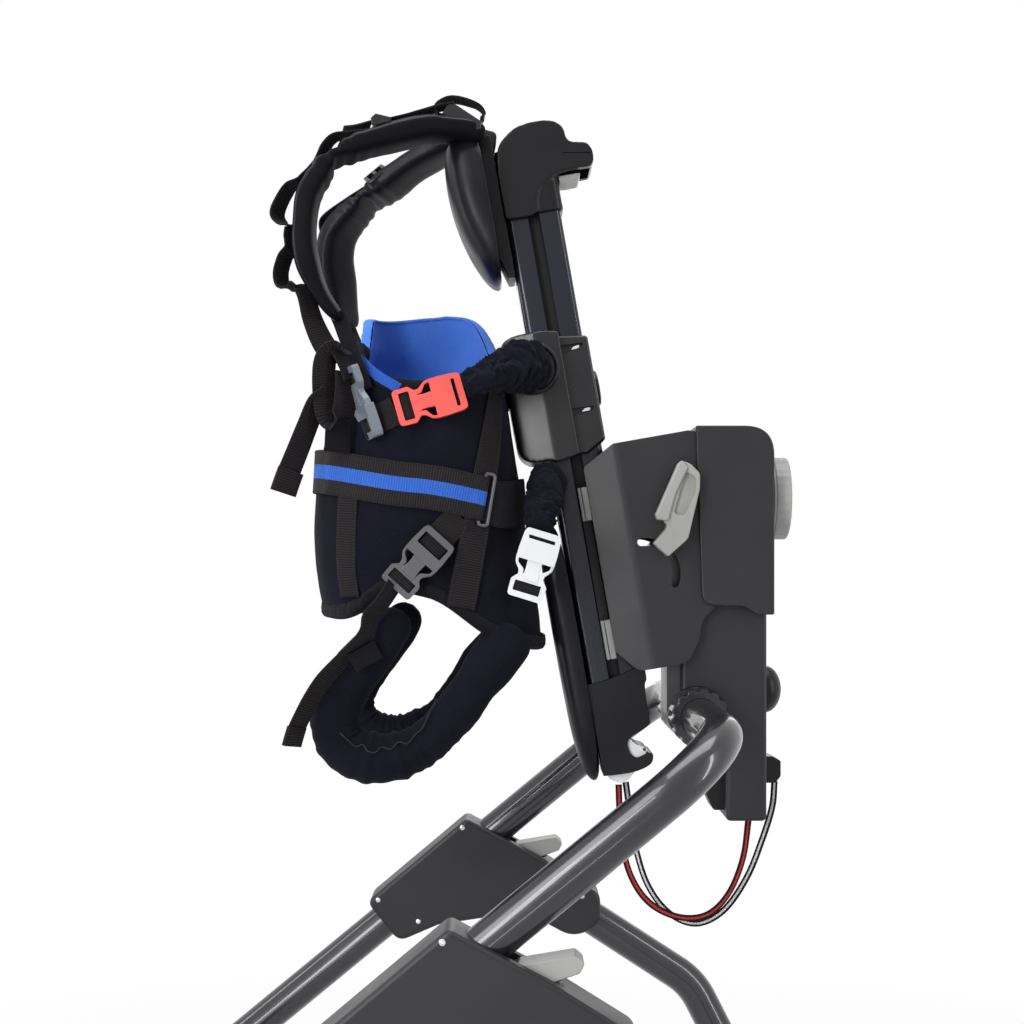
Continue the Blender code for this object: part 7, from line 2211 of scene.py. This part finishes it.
def make_left_fittings():
    """Buckles and webbing on the vest's left side, which the user closes."""
    release_buckle("side_buckle", "red_plastic", buckle_place(-0.051, -0.1052, 0.9060, 16),
                   ["side_buckle_left"])
    release_buckle("thigh_buckle", "dark_grey_plastic", buckle_place(-0.061, -0.1076, 0.7680, 48),
                   ["thigh_buckle_left"], wide_slot=True)
    release_buckle("hip_buckle", "white_plastic", buckle_place(0.0375, -0.0928, 0.7655, 73),
                   ["hip_buckle_left"])
    vest_band("front_webbing", [(-0.1195, 0.842), (-0.122, 0.800), (-0.1225, 0.765), (-0.1195, 0.7385)],
              0.020, sewn=True)
    vest_band("rear_webbing", [(0.004, 0.915), (-0.001, 0.870), (-0.009, 0.820), (-0.018, 0.770),
                               (-0.0255, 0.7290)], WEBBING_WIDTH, sewn=True)
    vest_band("chest_webbing", [(-0.108, 0.884), (-0.095, 0.890), (-0.080, 0.897)], WEBBING_WIDTH, lift=0.002)
    vest_band("armhole_webbing", [(-0.113, 0.944), (-0.096, 0.928), (-0.077, 0.916)], 0.009, "blue_webbing",
              lift=0.0016)
    vest_band("thigh_webbing_upper", [(-0.046, 0.7855), (-0.036, 0.797), (-0.026, 0.807)], WEBBING_WIDTH,
              lift=0.002)
    webbing("thigh_webbing_hanging", [
        (-0.0811, -0.1100, 0.7489), (-0.0910, -0.1140, 0.7339), (-0.1014, -0.1180, 0.7213), (-0.1033, -0.1210, 0.7096),
        (-0.1118, -0.1210, 0.6979), (-0.1248, -0.1200, 0.6849), (-0.1388, -0.1190, 0.6698), (-0.1495, -0.1190, 0.6538),
        (-0.1580, -0.1190, 0.6377), (-0.1634, -0.1190, 0.6264)
    ], [(0.35, 0.80, -0.25), (0.35, 0.85, -0.25), (0.42, 0.80, -0.28), (0.40, 0.80, -0.22)], LOOSE_WIDTH)
    webbing("thigh_webbing_fold", [
        (-0.1620, -0.1190, 0.6298), (-0.1645, -0.1190, 0.6214), (-0.1666, -0.1190, 0.6138),
    ], (0.42, 0.75, -0.15), LOOSE_WIDTH, thickness=0.0042, count=10)
    webbing("webbing_keeper", [
        (-0.1085, -0.1190, 0.6962), (-0.1048, -0.1190, 0.6892), (-0.1011, -0.1190, 0.6822),
    ], (0.82, 0.40, 0.38), 0.0265, "binding", 0.0050, 10)
    release_buckle("vest_buckle", "blue_grey_plastic",
                   placed((-0.1102, -0.0960, 0.9039), (0.327, 0.02, -0.945), (-0.90, -0.42, -0.27)),
                   (), 0.064, 0.034, True)
    webbing("vest_buckle_webbing", [
        (-0.1302, -0.0930, 0.9538), (-0.1247, -0.0960, 0.9440), (-0.1194, -0.0980, 0.9335), (-0.1160, -0.0980, 0.9250)
    ], [(0.55, 0.75, 0.1), (0.60, 0.70, 0.2)], LOOSE_WIDTH)
    webbing("hanging_loop", [
        (-0.1196, -0.0960, 0.9474), (-0.1296, -0.0990, 0.9488), (-0.1376, -0.1030, 0.9432), (-0.1408, -0.1050, 0.9328),
        (-0.1407, -0.1060, 0.9123), (-0.1382, -0.1060, 0.8937), (-0.1325, -0.1040, 0.8871), (-0.1251, -0.1010, 0.8958),
        (-0.1227, -0.1000, 0.9129), (-0.1228, -0.0980, 0.9301)
    ], [(0.62, 0.70, 0.0), (0.70, 0.65, 0.0), (0.62, 0.70, 0.0)], LOOSE_WIDTH, count=80)
    webbing("hanging_tail", [
        (-0.1391, -0.1050, 0.9124), (-0.1465, -0.1070, 0.9038), (-0.1539, -0.1090, 0.8850), (-0.1630, -0.1110, 0.8612),
        (-0.1704, -0.1120, 0.8426)
    ], [(0.55, 0.75, 0.20), (0.70, 0.60, 0.30)], LOOSE_WIDTH)
    webbing("hanging_tail_fold", [
        (-0.1679, -0.1120, 0.8459), (-0.1713, -0.1120, 0.8366), (-0.1747, -0.1120, 0.8265),
    ], (0.78, 0.45, 0.36), 0.0250, thickness=0.0045, count=10)
    webbing("vest_tab", [
        (-0.1284, -0.1020, 0.8906), (-0.1292, -0.1030, 0.8770), (-0.1300, -0.1030, 0.8617),
    ], (0.85, 0.50, 0.0), 0.0240, "binding", 0.0020, 14)
    make_belt()


def make_harness():
    make_vest()
    rim_tape("vest_hem", False)
    rim_tape("vest_top_binding", True, -0.12, math.pi + 0.12)
    rim_tape("vest_far_edge", True, math.pi + 0.10, 2 * math.pi - 0.11, "lining", 0.0030)
    for side in (LEFT, RIGHT):
        label = SIDE_NAMES[side]
        make_shoulder_strap(side)
        make_leg_loop(side)
        arm = [(0.0352, 0.0495, 0.9395), (0.0300, 0.068, 0.939), (0.012, 0.094, 0.932), (-0.010, 0.106, 0.923),
               (-0.022, 0.108, 0.918)]
        gathered_sleeve("arm_gather_" + label, [(x, side * y, z) for x, y, z in arm],
                        [0.0140, 0.0215, 0.0215, 0.0185, 0.0150, 0.0120, 0.0105], "arm_sleeve_" + label,
                        13, 0.13, 1.0)
        hip = [(0.050, 0.036, 0.8458), (0.049, 0.054, 0.836), (0.046, 0.074, 0.818), (0.0425, 0.090, 0.798)]
        gathered_sleeve("hip_gather_" + label, [(x, side * y, z) for x, y, z in hip],
                        [0.012, 0.0155, 0.0155, 0.0145, 0.011], "hip_sleeve_" + label, 12, 0.14, 4.0)
    make_near_webbing()
    make_far_webbing()
    make_left_fittings()
    make_pads()


make_harness()


# Carried solids get their finishes

def finish_carried_nodes():
    for entry in frame["record"]["subparts"]:
        node = frame["nodes"][entry["node"]]
        finish = FINISHES.get(entry["material_slot"])
        if node.hide_render or finish is None:
            continue
        if node.material_slots:
            for holder in node.material_slots:
                holder.material = finish
        else:
            node.data.materials.append(finish)


finish_carried_nodes()
